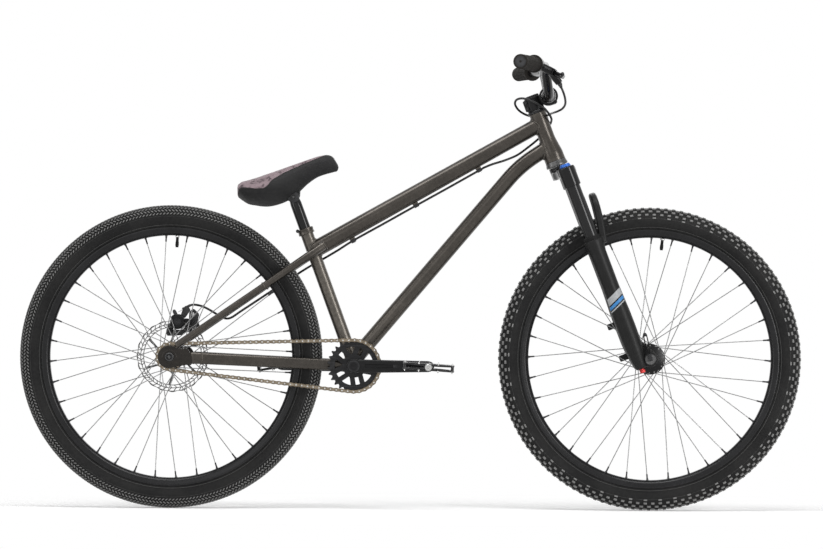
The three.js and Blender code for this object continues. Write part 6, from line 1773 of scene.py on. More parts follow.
@dataclass
class Fork:
    """Crown, stanchions, lowers, axle and knobs, in the steering axes."""

    leg_y: float = 65
    leg_x: float = 14.5
    lowest: float = -494
    lug_inner: float = 50.3
    lug_wide: float = 17.7
    lever_lean: float = 8
    axle_z: float = -481.6
    axle_x: float = 39.2

    def _leg(self, side: int, z: float = 0) -> np.ndarray:
        """Returns the matrix of a leg's line."""
        return LAYOUT.steering(self.leg_x, side * self.leg_y, z)

    def _at(self, x: float, y: float, z: float) -> np.ndarray:
        """Returns a point of the steering axes in the frame."""
        return LAYOUT.steered(x, y, z)

    def crown(self) -> None:
        """Builds the forged crown with its sleeves and the steerer."""
        half = [(-19, 0), (-19, 16), (-10, 34), (-6, 62), (35, 62), (34, 34), (33.5, 16)]
        outline = rounded(half + [(x, -y) for x, y in reversed(half[1:])], 7)
        plate = Skin.plate(outline, -41, -22, LAYOUT.steering(), bevel=3.5)
        ridge = Skin.plate(oblong(-8, -46, 26, 46, 10), -24, -18.6, LAYOUT.steering(), bevel=2.4)
        skins = [plate, ridge]
        for side in (-1, 1):
            skins.append(Skin.lathe([(0, -66.5), (18.6, -66.5), (19.3, -65.6), (19.3, -24), (17.8, -21.6),
                                     (0, -21.5)], 64, self._leg(side)))
        skins.append(Skin.lathe([(0, -40), (20, -40), (20.6, -16), (20.9, -13), (0, -12.8)], 64,
                                LAYOUT.steering()))
        hollow = Skin.plate(oblong(-4, -30, 18, 30, 9), -60, -33, LAYOUT.steering(2), bevel=2)
        bores = [Skin.rod(16.2, -80, -26, 48, self._leg(s)) for s in (-1, 1)]
        add_casting("fork_crown_forging",
                    skins, Palette.GLOSS, Body.STEERING, ["fork_crown"], 1.1, 5, [hollow, *bores])
        tube = Skin.lathe([(0, -12), (14.3, -12), (14.3, 146.8), (12, 146.8), (12, 150), (0, 149)], 48,
                          LAYOUT.steering())
        add_piece("fork_steerer", tube, Palette.CUP, Body.STEERING)

    def stanchions(self) -> None:
        """Builds the two polished stanchions and dresses the shafts inside them."""
        for node in ("spring_shaft", "damper_shaft"):
            dress(node, Palette.STEEL)
        for side, word in SIDES:
            tube = Skin.lathe([(14.5, -368), (15.6, -368), (16, -367), (16, -26), (14.5, -26)], 72,
                              self._leg(side), loop=True)
            add_piece(f"fork_stanchion_{word}", tube, Palette.GLOSS, Body.STEERING, [f"stanchion_{word}"])

    def lowers(self) -> None:
        """Builds the cast lowers with arch, lugs and brake posts, and the seals."""
        skins, cuts, seals = [], [], []
        low = self.lowest
        for side in (-1, 1):
            skins.append(Skin.lathe([
                (0, low), (10.5, low), (12.6, low + 1.6), (14.2, low + 8), (16.4, low + 20),
                (19.4, low + 40), (20.9, low + 62), (21.2, low + 100), (20.9, low + 130),
                (19.4, low + 165), (18.6, low + 190), (18.8, -222), (20.4, -210), (21.4, -202),
                (21.4, -193.4), (20.6, -192.5),
                (0, -192.5)], 64, self._leg(side)))
            inner, outer = self.lug_inner, self.lug_inner + self.lug_wide
            shares = [(-.35, 3), (.7, 3), (1.6, .6), (1.6, -.4), (0, -.7), (-.35, 0)]
            outline = [((self.leg_x + f * (self.axle_x - self.leg_x)) * -side,
                        self.axle_z + r * 17) for f, r in shares]
            place = axes(LAYOUT.head_bottom, -side * LAYOUT.steer_ahead, LAYOUT.steer_up,
                         vec(0, side, 0))
            skins.append(Skin.plate(rounded(outline, 10), inner, outer, place, bevel=3))
            lug = axes(self._at(self.axle_x, 0, self.axle_z), -side * LAYOUT.steer_ahead,
                       LAYOUT.steer_up, vec(0, side, 0))
            skins.append(Skin.lathe([(0, inner), (16.4, inner), (17, inner + 0.8),
                                     (17, inner + 16.6), (16, outer), (0, outer)], 56, lug))
            cuts.append(Skin.rod(15.5, 40, inner, 48, lug))
            bore = 14.5 if side < 0 else 11.2
            cuts.append(Skin.rod(bore, outer, inner + 40, 48, lug))
            cuts.append(Skin.rod(10.3, inner - 2, inner + 20, 48, lug))
            cuts.append(Skin.rod(16.3, -469.5, -150, 56, self._leg(side)))
            seals.append(Skin.lathe([(16.25, -193), (20.2, -193), (20.5, -192), (20.5, -189),
                                     (19.6, -188.2), (19.6, -186.6), (18.2, -184.4), (16.9, -183.5),
                                     (16.3, -183.8)], 64, self._leg(side), loop=True))
        skins.append(self._arch())
        for z in (-385.6, -459.8):
            skins.append(Skin.plate(oblong(-22, 46, 6, 61, 5),
                                    z - 7, z + 7, LAYOUT.steering(), bevel=1.5))
            cuts.append(Skin.rod(3.2,
                                 -4, 14, 24, axes(self._at(-22, 53.5, z) - LAYOUT.steer_ahead * 4,
                                                  vec(0, 1, 0), LAYOUT.steer_up, LAYOUT.steer_ahead)))
        add_casting("fork_lower_casting", skins, Palette.MATT, Body.LOWERS, ["fork_lowers"], 1.3, 5, cuts)
        add_piece("fork_seals", seals, Palette.SEAL, Body.LOWERS)

    def _arch(self) -> Skin:
        """Returns the arch that joins the legs ahead of the tyre.

        Returns:
            The skin.
        """
        half = [(34, 63.5, -206), (37.5, 61, -190), (44.5, 54, -152), (48, 44, -122), (48.5, 30, -108),
                (48.5, 14, -103.5)]
        points = [(x, -y, z) for x, y, z in half] + [(48.5, 0, -103)] + \
                 [(x, y, z) for x, y, z in reversed(half)]
        path = rounded_path([self._at(*p) for p in points], 6)
        middle = abs(np.linspace(-1, 1, len(path)))
        sizes = [(8.4, float(np.interp(m, (0, 0.5, 0.8, 1), (9.0, 8.0, 6.2, 6.4)))) for m in middle]
        return Skin.tube(path, sizes, 24, LAYOUT.steer_ahead, power=3.2)

    def _band(self, side: int, low: float, high: float, slant: float) -> Skin:
        """Returns a thin painted band that wraps the outer face of a leg.

        Args:
            side: -1 for the right, 1 for the left.
            low: Height of its lower edge.
            high: Height of its upper edge.
            slant: How far it climbs towards the front.

        Returns:
            The skin.
        """
        place = self._leg(side)
        heights, radii = (-432, -394, -364, -329, -304), (20.9, 21.2, 20.9, 19.4, 18.6)
        rings = []
        for angle in np.linspace(-1.15, 1.15, 25):
            way = vec(math.sin(angle), side * math.cos(angle), 0)
            ring = []
            for z, out in ((low, 0.12), (low, 0.26), (high, 0.26), (high, 0.12)):
                z = z + slant * math.sin(angle)
                radius = float(np.interp(z, heights, radii)) + out
                ring.append(way * radius + vec(0, 0, z))
            rings.append(np.array(ring))
        return Skin.loft(rings).placed(place)

    def stripes(self) -> None:
        """Builds plain painted bands on the lowers."""
        pale = [self._band(s, a, b, 9) for s in (-1, 1) for a, b in ((-333, -318), (-349, -346))]
        blue = [self._band(s, -343, -336, 9) for s in (-1, 1)]
        add_piece("fork_pale_bands", pale, Palette.PALE_BAND, Body.LOWERS)
        add_piece("fork_blue_bands", blue, Palette.BLUE_BAND, Body.LOWERS)

    def knobs(self) -> None:
        """Builds the dial, the air cap and the rebound knob."""
        place = self._leg(-1, -21.2)
        dial = [knurled(12.5, 0, 2.6, place, 24, 0.5),
                Skin.lathe([(0, 2.4), (11.6, 2.4),
                            (11.4, 5.4), (10.8, 6.4), (4.2, 7.0), (4.2, 6.2), (0, 6.2)], 56, place),
                Skin.plate(oblong(-9, -1.5, 9, 1.5, 1.2), 6.0, 7.0, place, bevel=0.3)]
        add_piece("fork_dial", dial, Palette.BLUE, Body.DIAL, ["compression_dial"], 30)
        place = self._leg(1, -21.2)
        cap = [knurled(12.5, 0, 3.2, place, 30, 0.4), Skin.lathe(
            [(0, 3.0), (11.8, 3.0), (11.4, 4.4), (10.4, 5.2), (0, 5.25)], 56, place)]
        add_piece("fork_air_cap", cap, Palette.ANODISED, Body.STEERING, ["air_cap"], 30)
        place = self._leg(-1, self.lowest - 0.3) @ turn(180, "X")
        knob = [knurled(6.4, 3.0, 9.0, place, 12, 0.5),
                Skin.lathe([(0, 0), (5.2, 0), (5.6, 0.6), (5.6, 3.1), (0, 3.1)], 32, place)]
        add_piece("fork_rebound_knob", knob, Palette.RED, Body.KNOB, ["rebound_knob"], 30)

    def axle(self) -> None:
        """Builds the through axle with its head, and the lever."""
        centre = self._at(self.axle_x, 0, self.axle_z)
        right = axes(centre, LAYOUT.steer_ahead, LAYOUT.steer_up, vec(0, -1, 0))
        shaft = Skin.lathe([(0, -68), (9.4, -68), (10, -67.4), (10, 68.4), (12.4, 68.4), (13, 69),
                            (13, 71.4), (11.6, 71.8), (11.6, 73.4), (11, 74.2), (0, 74.3)], 56, right)
        add_piece("front_through_axle", shaft, Palette.BLACK_STEEL, Body.LOWERS, ["front_axle"], 30)
        pivot = centre + vec(0, -78.1, 0)
        local = axes(pivot, LAYOUT.steer_ahead, (0, 1, 0), LAYOUT.steer_up) @ turn(self.lever_lean, "Y")
        flat = local @ axes((0, 0, 0), (1, 0, 0), (0, 0, 1), (0, -1, 0))
        blade = [(-3.6, -3.0), (3.6, -3.0), (4.2, 10), (5, 36), (4.6, 56), (2.4, 60), (-2.4, 60),
                 (-4.6, 56), (-5, 36), (-4.2, 10)]
        window = rounded([(-1.6, 12), (1.6, 12), (2.4, 36), (2.2, 52), (-2.2, 52), (-2.4, 36)], 1.5)
        arm = Skin.plate(rounded(blade, 2.4), -3.3, 3.3, flat, [window], 1.3)
        hinge = Skin.tube([(local @ (-5, 0, 0, 1))[:3], (local @ (5, 0, 0, 1))[:3]], 3.4, 28, (0, 0, 1))
        add_piece("front_axle_lever", [arm, hinge], Palette.ANODISED, Body.AXLE_LEVER, ["axle_lever"])

    def build(self) -> None:
        """Builds every piece of the fork."""
        self.crown()
        self.stanchions()
        self.lowers()
        self.stripes()
        self.knobs()
        self.axle()
        log.info("fork done")


# Stem, handlebar and brake lever


@dataclass
class Cockpit:
    """Stem, riser bar, grips and the rear brake's lever."""

    bar_reach: float = 36
    bar_rise: float = 138.8
    bends: Sequence[tuple[float, float, float]] = (
        (0, 0, 0), (42, 0, 0), (58, 0, 0), (81, -1.6, 12.4), (131.6, -8.56, 53.9), (150, -10.7, 62),
        (371.7, -63.5, 62))
    grip_inner: float = 247
    grip_outer: float = 375
    lever_root: Point = (274.33, -222, 973.55)
    lever_pivot: Point = (308.33, -200, 957.55)
    cable_end: Point = (327.5, -182, 925.7)
    cable_way: Point = (5.5, 17, -11.8)

    @property
    def bar_centre(self) -> np.ndarray:
        """Returns the middle of the handlebar."""
        return LAYOUT.steered(self.bar_reach, 0, self.bar_rise)

    def stem(self) -> None:
        """Builds the stem, its faceplate, top cap and bolts."""
        neck = [LAYOUT.steered(x, 0, z) for x, z in ((4, 134.6), (14, 136.2), (36, 138.8))]
        clamp = Skin.lathe([(0, 119.8), (18.2, 119.8), (19, 120.8), (19, 148.8), (18.2, 149.8),
                            (0, 149.8)], 56, LAYOUT.steering())
        across = aimed(self.bar_centre, (0, 1, 0))
        middle = LAYOUT.steering(self.bar_reach, 0, self.bar_rise)
        cuff = Skin.lathe(even([(0, 22), (19.6, 22), (20.9, 20.8)]), 56, across)
        waist = Skin.tube(np.array(neck), [(12.4, 12.4), (11.6, 11.6), (17, 10.5)], 32, power=3)
        rear = Skin.plate(rounded(even([(-22.5, 11), (-12, 13)]), 3),
                          122.5, 147.5, LAYOUT.steering(), bevel=1.5)
        front = Skin.plate(oblong(0.35, -30, 40, 30), -30, 30, middle, bevel=0.1)
        bore = Skin.rod(16.2, -40, 40, 56, across)
        slot = Skin.plate(oblong(-30, -0.7, -10, 0.7), 110, 160, LAYOUT.steering(), bevel=0.1)
        hollow = Skin.plate(rounded(even([(19, 7), (31, 12)]), 3), 120, 132, LAYOUT.steering(), bevel=1)
        corners = [(y, z) for y in (-15.5, 15.5) for z in (-16, 16)]
        add_casting("stem_body", [clamp, cuff, waist, rear],
                    Palette.ANODISED, Body.STEERING, ["stem"], 0.9, 4, [front, bore, slot, hollow], 35)
        plate = Skin.lathe(even([(16.2, 22), (19.8, 22), (20.9, 21)]), 64, across, loop=True)
        lugs = [Skin.plate(oblong(-5, -5, 5, 5, 2.5), 0.4, 11.4, self._front(y, z), bevel=1)
                for y, z in corners]
        back = Skin.plate(oblong(-40, -30, 0.3, 30), -30, 30, middle, bevel=0.05)
        window = Skin.plate(oblong(-8.5, -7.5, 8.5, 7.5, 4), 8, 30, self._front(0, 0), bevel=0.5)
        add_casting("stem_face", [plate, *lugs],
                    Palette.ANODISED, Body.STEERING, ["stem_faceplate"], 0.9, 2, [back, bore, window], 35)
        bolts = [bolt(shifted(self._front(y, z), 0, 0, 10.9), 3.6, 2.6) for y, z in corners]
        for z in (128, 142):
            spot = LAYOUT.steered(-17.2, -12.6, z)
            bolts.append(bolt(aimed(spot, (0, -1, 0)), 3.2, 2.4))
        add_piece("stem_bolts", bolts, Palette.BLACK_STEEL, Body.STEERING)
        cap = Skin.lathe([(0, 150.1), (16.6, 150.1), (17, 150.6), (16.8, 152.6), (15.6, 153.8),
                          (6.4, 154.1), (5.8, 153.2), (0, 153.1)], 64, LAYOUT.steering())
        screw = bolt(LAYOUT.steering(0, 0, 150.6), 4.4, 3.2)
        add_piece("steerer_cap", [cap, screw], Palette.ANODISED, Body.STEERING, ["top_cap"], 30)

    def _front(self, y: float, z: float) -> np.ndarray:
        """Returns a matrix on the faceplate with local Z ahead."""
        origin = LAYOUT.steered(self.bar_reach, y, self.bar_rise + z)
        return axes(origin, (0, 1, 0), LAYOUT.steer_up, LAYOUT.steer_ahead)

    def _bar_path(self) -> np.ndarray:
        """Returns the centre points of the handlebar.

        Returns:
            The points, from the right end to the left.
        """
        half = [self.bar_centre + vec(a, y, u) for y, a, u in self.bends[1:]]
        mirror = [p * (1, -1, 1) for p in reversed(half)]
        return bent_path([*mirror, *half], 26, 10)

    def bar(self) -> None:
        """Builds the handlebar, thicker in the clamp."""
        path = self._bar_path()
        dense, size = [], []
        for a, b in zip(path, path[1:]):
            steps = max(1, int(np.linalg.norm(b - a) // 4))
            for t in np.linspace(0, 1, steps, endpoint=False):
                p = lerp(a, b, t)
                dense.append(p)
                radius = float(np.interp(abs(p[1]), (40, 46, 52, 58), (15.9, 15.2, 12.2, 11.1)))
                size.append((radius, radius))
        add_piece("riser_bar", Skin.tube(np.array(dense), size, 40, (0, 0, 1)),
                  Palette.GLOSS, Body.STEERING, ["handlebar"])

    def _grip_at(self, y: float, side: int) -> np.ndarray:
        """Returns the point of the bar's line at a distance out along Y."""
        (near, ahead, up), (far, back, _) = self.bends[-2:]
        return self.bar_centre + vec(ahead + (y - near) * (back - ahead) / (far - near), side * y, up)

    def grips(self) -> None:
        """Builds the ribbed grips with their flanges and end plugs."""
        for side, word in SIDES:
            inner, outer = self._grip_at(self.grip_inner, side), self._grip_at(self.grip_outer, side)
            length = np.linalg.norm(outer - inner)
            place = aimed(inner, outer - inner)
            profile = [(11.4, 0), (18.9, 0), (19.5, 0.6), (19.5, 3.4), (18.9, 4), (16.4, 4.3)]
            at = 5.5
            while at < length - 7:
                profile += [(15.0, at), (15.9, at + 0.5), (15.9, at + 1.9), (15.0, at + 2.4)]
                at += 3.1
            profile += [(15.6, length - 5.6), (16, length - 5), (16, length - 1.4),
                        (15.2, length - 0.4), (11.4, length - 0.2)]
            skin = Skin.lathe(profile, 96, place)
            skin.points = self._fluted(skin.points, place, length)
            add_piece(f"rubber_grip_{word}", skin, Palette.GRIP, Body.STEERING, [f"grip_{word}"], 30)
            plug = Skin.lathe([(0, length - 1.6), (12.6, length - 1.6), (12.9, length - 0.8),
                               (12.2, length - 0.1), (5, length), (0, length - 0.4)], 48, place)
            add_piece(f"grip_plug_{word}", plug, Palette.ANODISED, Body.STEERING)

    def _fluted(self, points: np.ndarray, place: np.ndarray, length: float) -> np.ndarray:
        """Returns a grip's points with shallow flutes across its ribs.

        Args:
            points: The grip's points.
            place: Matrix of the grip.
            length: Length of the grip.

        Returns:
            The points.
        """
        local = (points - place[:3, 3]) @ place[:3, :3]
        angle = np.arctan2(local[:, 1], local[:, 0])
        band = (local[:, 2] > 5) & (local[:, 2] < length - 7)
        lower = 1 - 0.035 * (np.cos(angle * 6) > 0.8) * band
        local[:, :2] *= lower[:, None]
        return local @ place[:3, :3].T + place[:3, 3]

    def lever(self) -> None:
        """Builds the lever's clamp, arm, hood, adjuster and blade."""
        root, pivot = np.array(self.lever_root), np.array(self.lever_pivot)
        ahead = unit(vec(34, 0, -16))
        hinge = np.cross(ahead, (0, 1, 0))
        bar_way = unit(self._grip_at(250, -1) - self._grip_at(200, -1))
        clamp = Skin.lathe(even([(0, 9), (15, 9), (15.8, 8.2)]), 48, aimed(root, bar_way))
        end = pivot + ahead * 6
        arm = Skin.tube([lerp(root, end, s) for s in (0, 0.3, 0.6, 0.85, 1)],
                        [(11, 9.5), (10.6, 8.8), (10.8, 9.0), (10.6, 8.8), (8.8, 7.8)], 28, power=3.2)
        cable, way = np.array(self.cable_end), unit(np.array(self.cable_way))
        hood = Skin.tube([pivot - ahead * 3, lerp(pivot, cable, 0.45), cable - way * 15],
                         [(11, 9.2), (10.4, 9.0), (7.8, 7.8)], 28, power=2.6)
        pinch = Skin.tube([root - ahead * 14 + hinge * -6, root - ahead * 14 + hinge * 6], 4.0, 24)
        bore = Skin.rod(11.4, -12, 12, 48, aimed(root, bar_way))
        slot = Skin.plate(oblong(-3, -40, 16, 8),
                          -5.9, 5.9, axes(pivot, ahead, (0, 1, 0), hinge), bevel=0.1)
        add_casting("lever_housing", [clamp, arm, hood, pinch],
                    Palette.EDGED, Body.STEERING, ["brake_lever_body"], 0.7, 4, [bore, slot], 40)
        place = aimed(cable - way * 16, way)
        adjuster = [knurled(5.0, 3, 8, place, 14, 0.5, 0), Skin.lathe(
            [(0, 0), (4, 0), (4, 3), (4.4, 8), (4.4, 10), (3.6, 11), (3.6, 15.2), (3.0, 16),
             (0, 16)], 32, place)]
        add_piece("lever_adjuster", adjuster, Palette.BLACK_STEEL, Body.STEERING)
        screws = [bolt(aimed(pivot + hinge * s * 7.2, hinge * s), 3.4, 1.4) for s in (-1, 1)]
        screws.append(bolt(aimed(root - ahead * 14 + hinge * 6, hinge), 3.0, 2.4))
        add_piece("lever_screws", screws, Palette.STEEL, Body.STEERING)
        shares = [(.02, 0), (.06, .30), (.11, .55), (.26, 1), (.45, .985), (.6, .94), (.78, .885),
                  (.92, .84), (.97, .87), (1, .95)]
        path = rounded_path([pivot, *(pivot + vec(0, -a * 115, 0) + ahead * b * 25
                                      for a, b in shares)], 4)
        share = np.linspace(0, 1, len(path))
        size = [(float(np.interp(s, (0, .1, .5, .93, 1), (5.4, 5.3, 5.0, 5.4, 3.4))),
                 float(np.interp(s, (0, .1, .5, .93, 1), (4.4, 3.6, 3.2, 3.4, 2.8)))) for s in share]
        blade = Skin.tube(path, size, 28, hinge, 2.8)
        hub = Skin.lathe(even([(0, 5.5), (6.4, 5.5), (7, 4.9)]), 40, aimed(pivot, hinge))
        add_piece("lever_blade", [blade, hub], Palette.ANODISED, Body.BLADE, ["brake_lever_blade"])

    def build(self) -> None:
        """Builds every piece of the cockpit."""
        self.stem()
        self.bar()
        self.grips()
        self.lever()
        log.info("cockpit done")


# Cranks, chain and pedals


@dataclass
class Drivetrain:
    """Cranks, chainring, chain, cog, bottom bracket cups and pedals."""

    pitch: float = 12.7
    ring_teeth: int = 28
    cog_teeth: int = 14
    links: int = 85
    chain_y: float = -48
    crank: float = 165
    pedal_tilts: tuple[float, float] = (4, -9)
    link_end: float = 4.4
    link_waist: float = 3.2
    link_wrap: float = 4.0
    link_thick: float = 0.9
    link_gaps: tuple[float, float] = (3.3, 2.3)
    tooth_half: float = 1.3
    arm_y: float = 69
    arm_splay: float = 6
    pedal_y: float = 137

    def __post_init__(self) -> None:
        """Derives the chain's path."""
        self.ring_r = self.pitch / 2 / math.sin(math.pi / self.ring_teeth)
        self.cog_r = self.pitch / 2 / math.sin(math.pi / self.cog_teeth)
        reach = LAYOUT.bottom_bracket - LAYOUT.rear_axle
        self.span = float(np.linalg.norm(reach))
        self.tilt = math.atan2(reach[2], reach[0])
        self.lean = math.asin((self.ring_r - self.cog_r) / self.span)
        self.run = self.span * math.cos(self.lean)
        self.ring_wrap = math.pi + 2 * self.lean
        self.cog_wrap = math.pi - 2 * self.lean
        self.total = 2 * self.run + self.ring_wrap * self.ring_r + self.cog_wrap * self.cog_r

    def _at(self, way: float) -> tuple[np.ndarray, bool, float]:
        """Returns a pin's place, whether it lies on the ring, and its angle there.

        Args:
            way: Way along the chain, from the top of the cog ahead.

        Returns:
            The place, whether it lies on the ring, and the angle, 0 on a straight run.
        """
        up = self.tilt + math.pi / 2 + self.lean
        down = self.tilt - math.pi / 2 - self.lean
        rear, front = LAYOUT.rear_axle, LAYOUT.bottom_bracket
        way %= self.total
        if way < self.run:
            return lerp(in_side_plane(rear, self.cog_r, up),
                        in_side_plane(front, self.ring_r, up), way / self.run), False, 0
        way -= self.run
        if way < self.ring_wrap * self.ring_r:
            a = up - way / self.ring_r
            return in_side_plane(front, self.ring_r, a), True, a
        way -= self.ring_wrap * self.ring_r
        if way < self.run:
            return lerp(in_side_plane(front, self.ring_r, down),
                        in_side_plane(rear, self.cog_r, down), way / self.run), False, 0
        a = down - (way - self.run) / self.cog_r
        return in_side_plane(rear, self.cog_r, a), False, a

    def chain(self) -> None:
        """Builds the chain of inner and outer links with rollers and pins."""
        pins = [self._at(i * self.total / self.links)[0] for i in range(self.links)]
        eight: Flat = []
        half = self.link_wrap / 2
        for x, start, waist in ((self.pitch, -half, self.link_waist),
                                (0, math.pi - half, -self.link_waist)):
            eight += [(x + u, v) for u, v in arc(self.link_end, start, start + self.link_wrap, 9)]
            eight.append((self.pitch / 2, waist))
        plates, rollers, rivets = [], [], []
        for i, pin in enumerate(pins):
            to = pins[(i + 1) % self.links]
            way = unit(to - pin)
            up = vec(-way[2], 0, way[0])
            last = i == self.links - 1
            for side in (-1, 1):
                skew = vec(0, side * 1.0 / self.pitch, 0) if last else vec(0, 0, 0)
                low = self.link_gaps[1 if last else i % 2]
                place = axes(pin + vec(0, self.chain_y, 0), way + skew, up, (0, side, 0))
                plates.append(Skin.plate(eight, low, low + self.link_thick, place, bevel=0.2))
            across = aimed(pin + vec(0, self.chain_y, 0), (0, 1, 0))
            rollers.append(Skin.lathe(even([(2, 2.2), (3.7, 2.2), (3.9, 1.9)]), 20, across))
            rivets.append(Skin.lathe(even([(0, 4.4), (1.5, 4.4), (1.8, 4.1)]), 14, across))
        add_piece("chain_plates", plates, Palette.CHAIN, Body.FRAME, ["chain"])
        add_piece("chain_rollers", rollers, Palette.PINS, Body.FRAME)
        add_piece("chain_rivets", rivets, Palette.STEEL, Body.FRAME)

    def _toothed(self, teeth: int, radius: float, phase: float) -> Flat:
        """Returns the outline of a sprocket with a gap at each roller.

        Args:
            teeth: Count of teeth.
            radius: Radius through the rollers.
            phase: Angle of one gap.

        Returns:
            The outline.
        """
        out = []
        for i in range(teeth):
            for share, rise in ((0, -3.95), (.12, -3.7), (.22, -2.4), (.29, -0.6), (.38, 1.4),
                                (.45, 2.25), (.5, 2.4), (.55, 2.25), (.62, 1.4), (.71, -0.6),
                                (.78, -2.4), (.88, -3.7)):
                a = phase + (i + share) * 2 * math.pi / teeth
                out.append(((radius + rise) * math.cos(a), (radius + rise) * math.sin(a)))
        return out

    def _phase(self, on_ring: bool) -> float:
        """Returns the angle of a roller that sits on the ring, or on the cog.

        Args:
            on_ring: The ring rather than the cog.

        Returns:
            The angle.
        """
        spots = [self._at(i * self.total / self.links) for i in range(self.links)]
        centre = LAYOUT.bottom_bracket if on_ring else LAYOUT.rear_axle
        near = [p for p, ring, a in spots if a and ring == on_ring]
        p = near[len(near) // 2] - centre
        return math.atan2(p[2], p[0])

    def sprockets(self) -> None:
        """Builds the chainring with its windows and the cog."""
        place = axes(LAYOUT.bottom_bracket + vec(0, self.chain_y, 0), (1, 0, 0), (0, 0, 1),
                     (0, -1, 0))
        holes = [circle(12.2, 48)]
        for i in range(5):
            a = math.radians(-6 + 72 * i)
            holes.append(rounded(arc(25.5, a - .15, a + .15, 7) + arc(41.5, a + .11, a - .11, 7), 3.6, 3))
            a += math.radians(36)
            holes.append(rounded(arc(26.5, a - .05, a + .05, 7) + arc(42.5, a + .25, a - .25, 7), 3.0, 3))
        ring = [Skin.plate(self._toothed(self.ring_teeth, self.ring_r, self._phase(True)),
                           -self.tooth_half, self.tooth_half, place, holes, 0.35)]
        ring.append(Skin.lathe([(12.2, -1.2), (20.5, -1.2), (21, -2.4), (20.4, -2.9), (12.2, -2.9)], 56,
                               place, loop=True))
        add_piece("ring_plate", ring, Palette.ANODISED, Body.CRANKS, ["chainring"])
        place = axes(LAYOUT.rear_axle + vec(0, self.chain_y, 0), (1, 0, 0), (0, 0, 1), (0, -1, 0))
        holes = [circle(17.5, 48)]
        cog = [Skin.plate(self._toothed(self.cog_teeth, self.cog_r, self._phase(False)),
                          -self.tooth_half, self.tooth_half, place, holes, 0.35)]
        add_piece("cog_plate", cog, Palette.COG, Body.REAR_COG, ["rear_cog"])

    def arms(self) -> None:
        """Builds the forged arms, the spindle with its caps, and the cups."""
        for side, word in SIDES:
            way, place = -side, facing_side(LAYOUT.bottom_bracket, side)
            share = np.linspace(0, 1, 16)
            path = np.array([LAYOUT.bottom_bracket
                             + vec(way * self.crank * s, side * (self.arm_y + self.arm_splay * s), 0)
                             for s in share])
            size = [(7 - s, 15.2 - 2.9 * s) for s in share]
            arm = Skin.tube(path, size, 32, power=3.4)
            end = facing_side(path[-1] * (1, 0, 1), side)
            boss = Skin.lathe([(0, 43.6), (15, 43.6),
                               (15.7, 44.3), (15.7, 75.2), (14.9, 76.1), (0, 76.1)], 56, place)
            tip = Skin.lathe([(0, 69), (10.8, 69), (11.5, 69.8), (11.5, 80.2), (10.8, 81), (0, 81)],
                             48, end)
            groove = Skin.plate(rounded(even([(24, 4.4), (140, 3.4)]), 3.3), 0, 4,
                                axes(LAYOUT.bottom_bracket + vec(0, side * 74.6, 0), (way, 0, 0),
                                     (0, 0, 1), (-way * self.arm_splay / self.crank, side, 0)), bevel=0.8)
            bore = Skin.rod(5.3, 68, 84, 32, end)
            add_casting(f"crank_forging_{word}", [arm, boss, tip],
                        Palette.ANODISED, Body.CRANKS, [f"crank_arm_{word}"], 0.9, 4, [groove, bore], 40)
            cup = [knurled(22, 34.4, 39.4, place, 16, 0.9, 12.6),
                   Skin.lathe([(12.6, 39.2), (21, 39.2), (20.2, 42.6), (18.8, 43.3), (12.6, 43.3)],
                              56, place, loop=True)]
            add_piece(f"bracket_cup_{word}",
                      cup, Palette.BLACK_STEEL, Body.FRAME, [f"bottom_bracket_cup_{word}"])
        place = facing_side(LAYOUT.bottom_bracket, -1)
        other = facing_side(LAYOUT.bottom_bracket, 1)
        shaft = Skin.rod(12, -76, 76, 48, place)
        caps = [Skin.lathe([(0, 76.3), (12.2, 76.3), (12.8, 76.8), (12.6, 77.9), (8.8, 78.3),
                            (5.2, 78.2), (4.6, 77.2), (0, 77.1)], 48, end) for end in (place, other)]
        add_piece("crank_axle",
                  [shaft], Palette.BLACK_STEEL, Body.CRANKS, ["crank_spindle"])
        add_piece("crank_caps", caps, Palette.ANODISED, Body.CRANKS, sharp=25)

    def pedals(self) -> None:
        """Builds the platform pedals with their pins and axles."""
        for side, word, body, tilt in (
                (-1, "right", Body.PEDAL_RIGHT, self.pedal_tilts[0]),
                (1, "left", Body.PEDAL_LEFT, self.pedal_tilts[1])):
            tip = LAYOUT.bottom_bracket + vec(-side * self.crank, 0, 0)
            place = axes(tip, *np.eye(3)) @ turn(tilt, "Y")
            mid = side * self.pedal_y
            deck = rounded([(-56, mid - 47), (-38, mid - 47), (0, mid - 44.5), (38, mid - 47),
                            (56, mid - 47), (56, mid + 47), (38, mid + 47), (0, mid + 44.5),
                            (-38, mid + 47), (-56, mid + 47)], 12)
            holes = [oblong(x - 18, y - 15.5, x + 16, y + 15.5, 5)
                     for x in (-28.5, 30.5) for y in (mid - 19, mid + 19)]
            frame = [Skin.plate(deck, low, high, place, holes, 0.7)
                     for low, high in ((-6.6, -3.2), (3.2, 6.6))]
            for skin in frame:
                skin.points = self._dished(skin.points, place)
            rails = [Skin.plate(oblong(a, mid - 38, b, mid + 38, 3), -6.2, 6.2, place, bevel=0.8)
                     for a, b in ((-55.2, -48.6), (48.6, 55.2))]
            across = place @ axes((0, mid, 0), (1, 0, 0), (0, 0, -side), (0, side, 0))
            barrel = Skin.lathe([(0, -46), (8.0, -46), (8.6, -45.2), (8.6, 45.4), (8.0, 46.2),
                                 (0, 46.2)], 40, across)
            # The platform's light edges are partly wear, partly painted highlight.
            add_piece(f"pedal_platform_{word}",
                      [*frame, *rails, barrel], Palette.EDGED, body, [f"pedal_{word}"])
            pins = []
            spots = [(x, y)
                     for x in (-51.5, 51.5) for y in (self.pedal_y + 15.5 * k for k in range(-2, 3))]
            spots += [(x, y) for x in (-21, 21) for y in (self.pedal_y - 42.5, self.pedal_y + 42.5)]
            for x, y in spots:
                for face in (-1, 1):
                    spot = place @ axes((x, side * y, face * 6.2), (1, 0, 0), (0, face, 0),
                                        (0, 0, face))
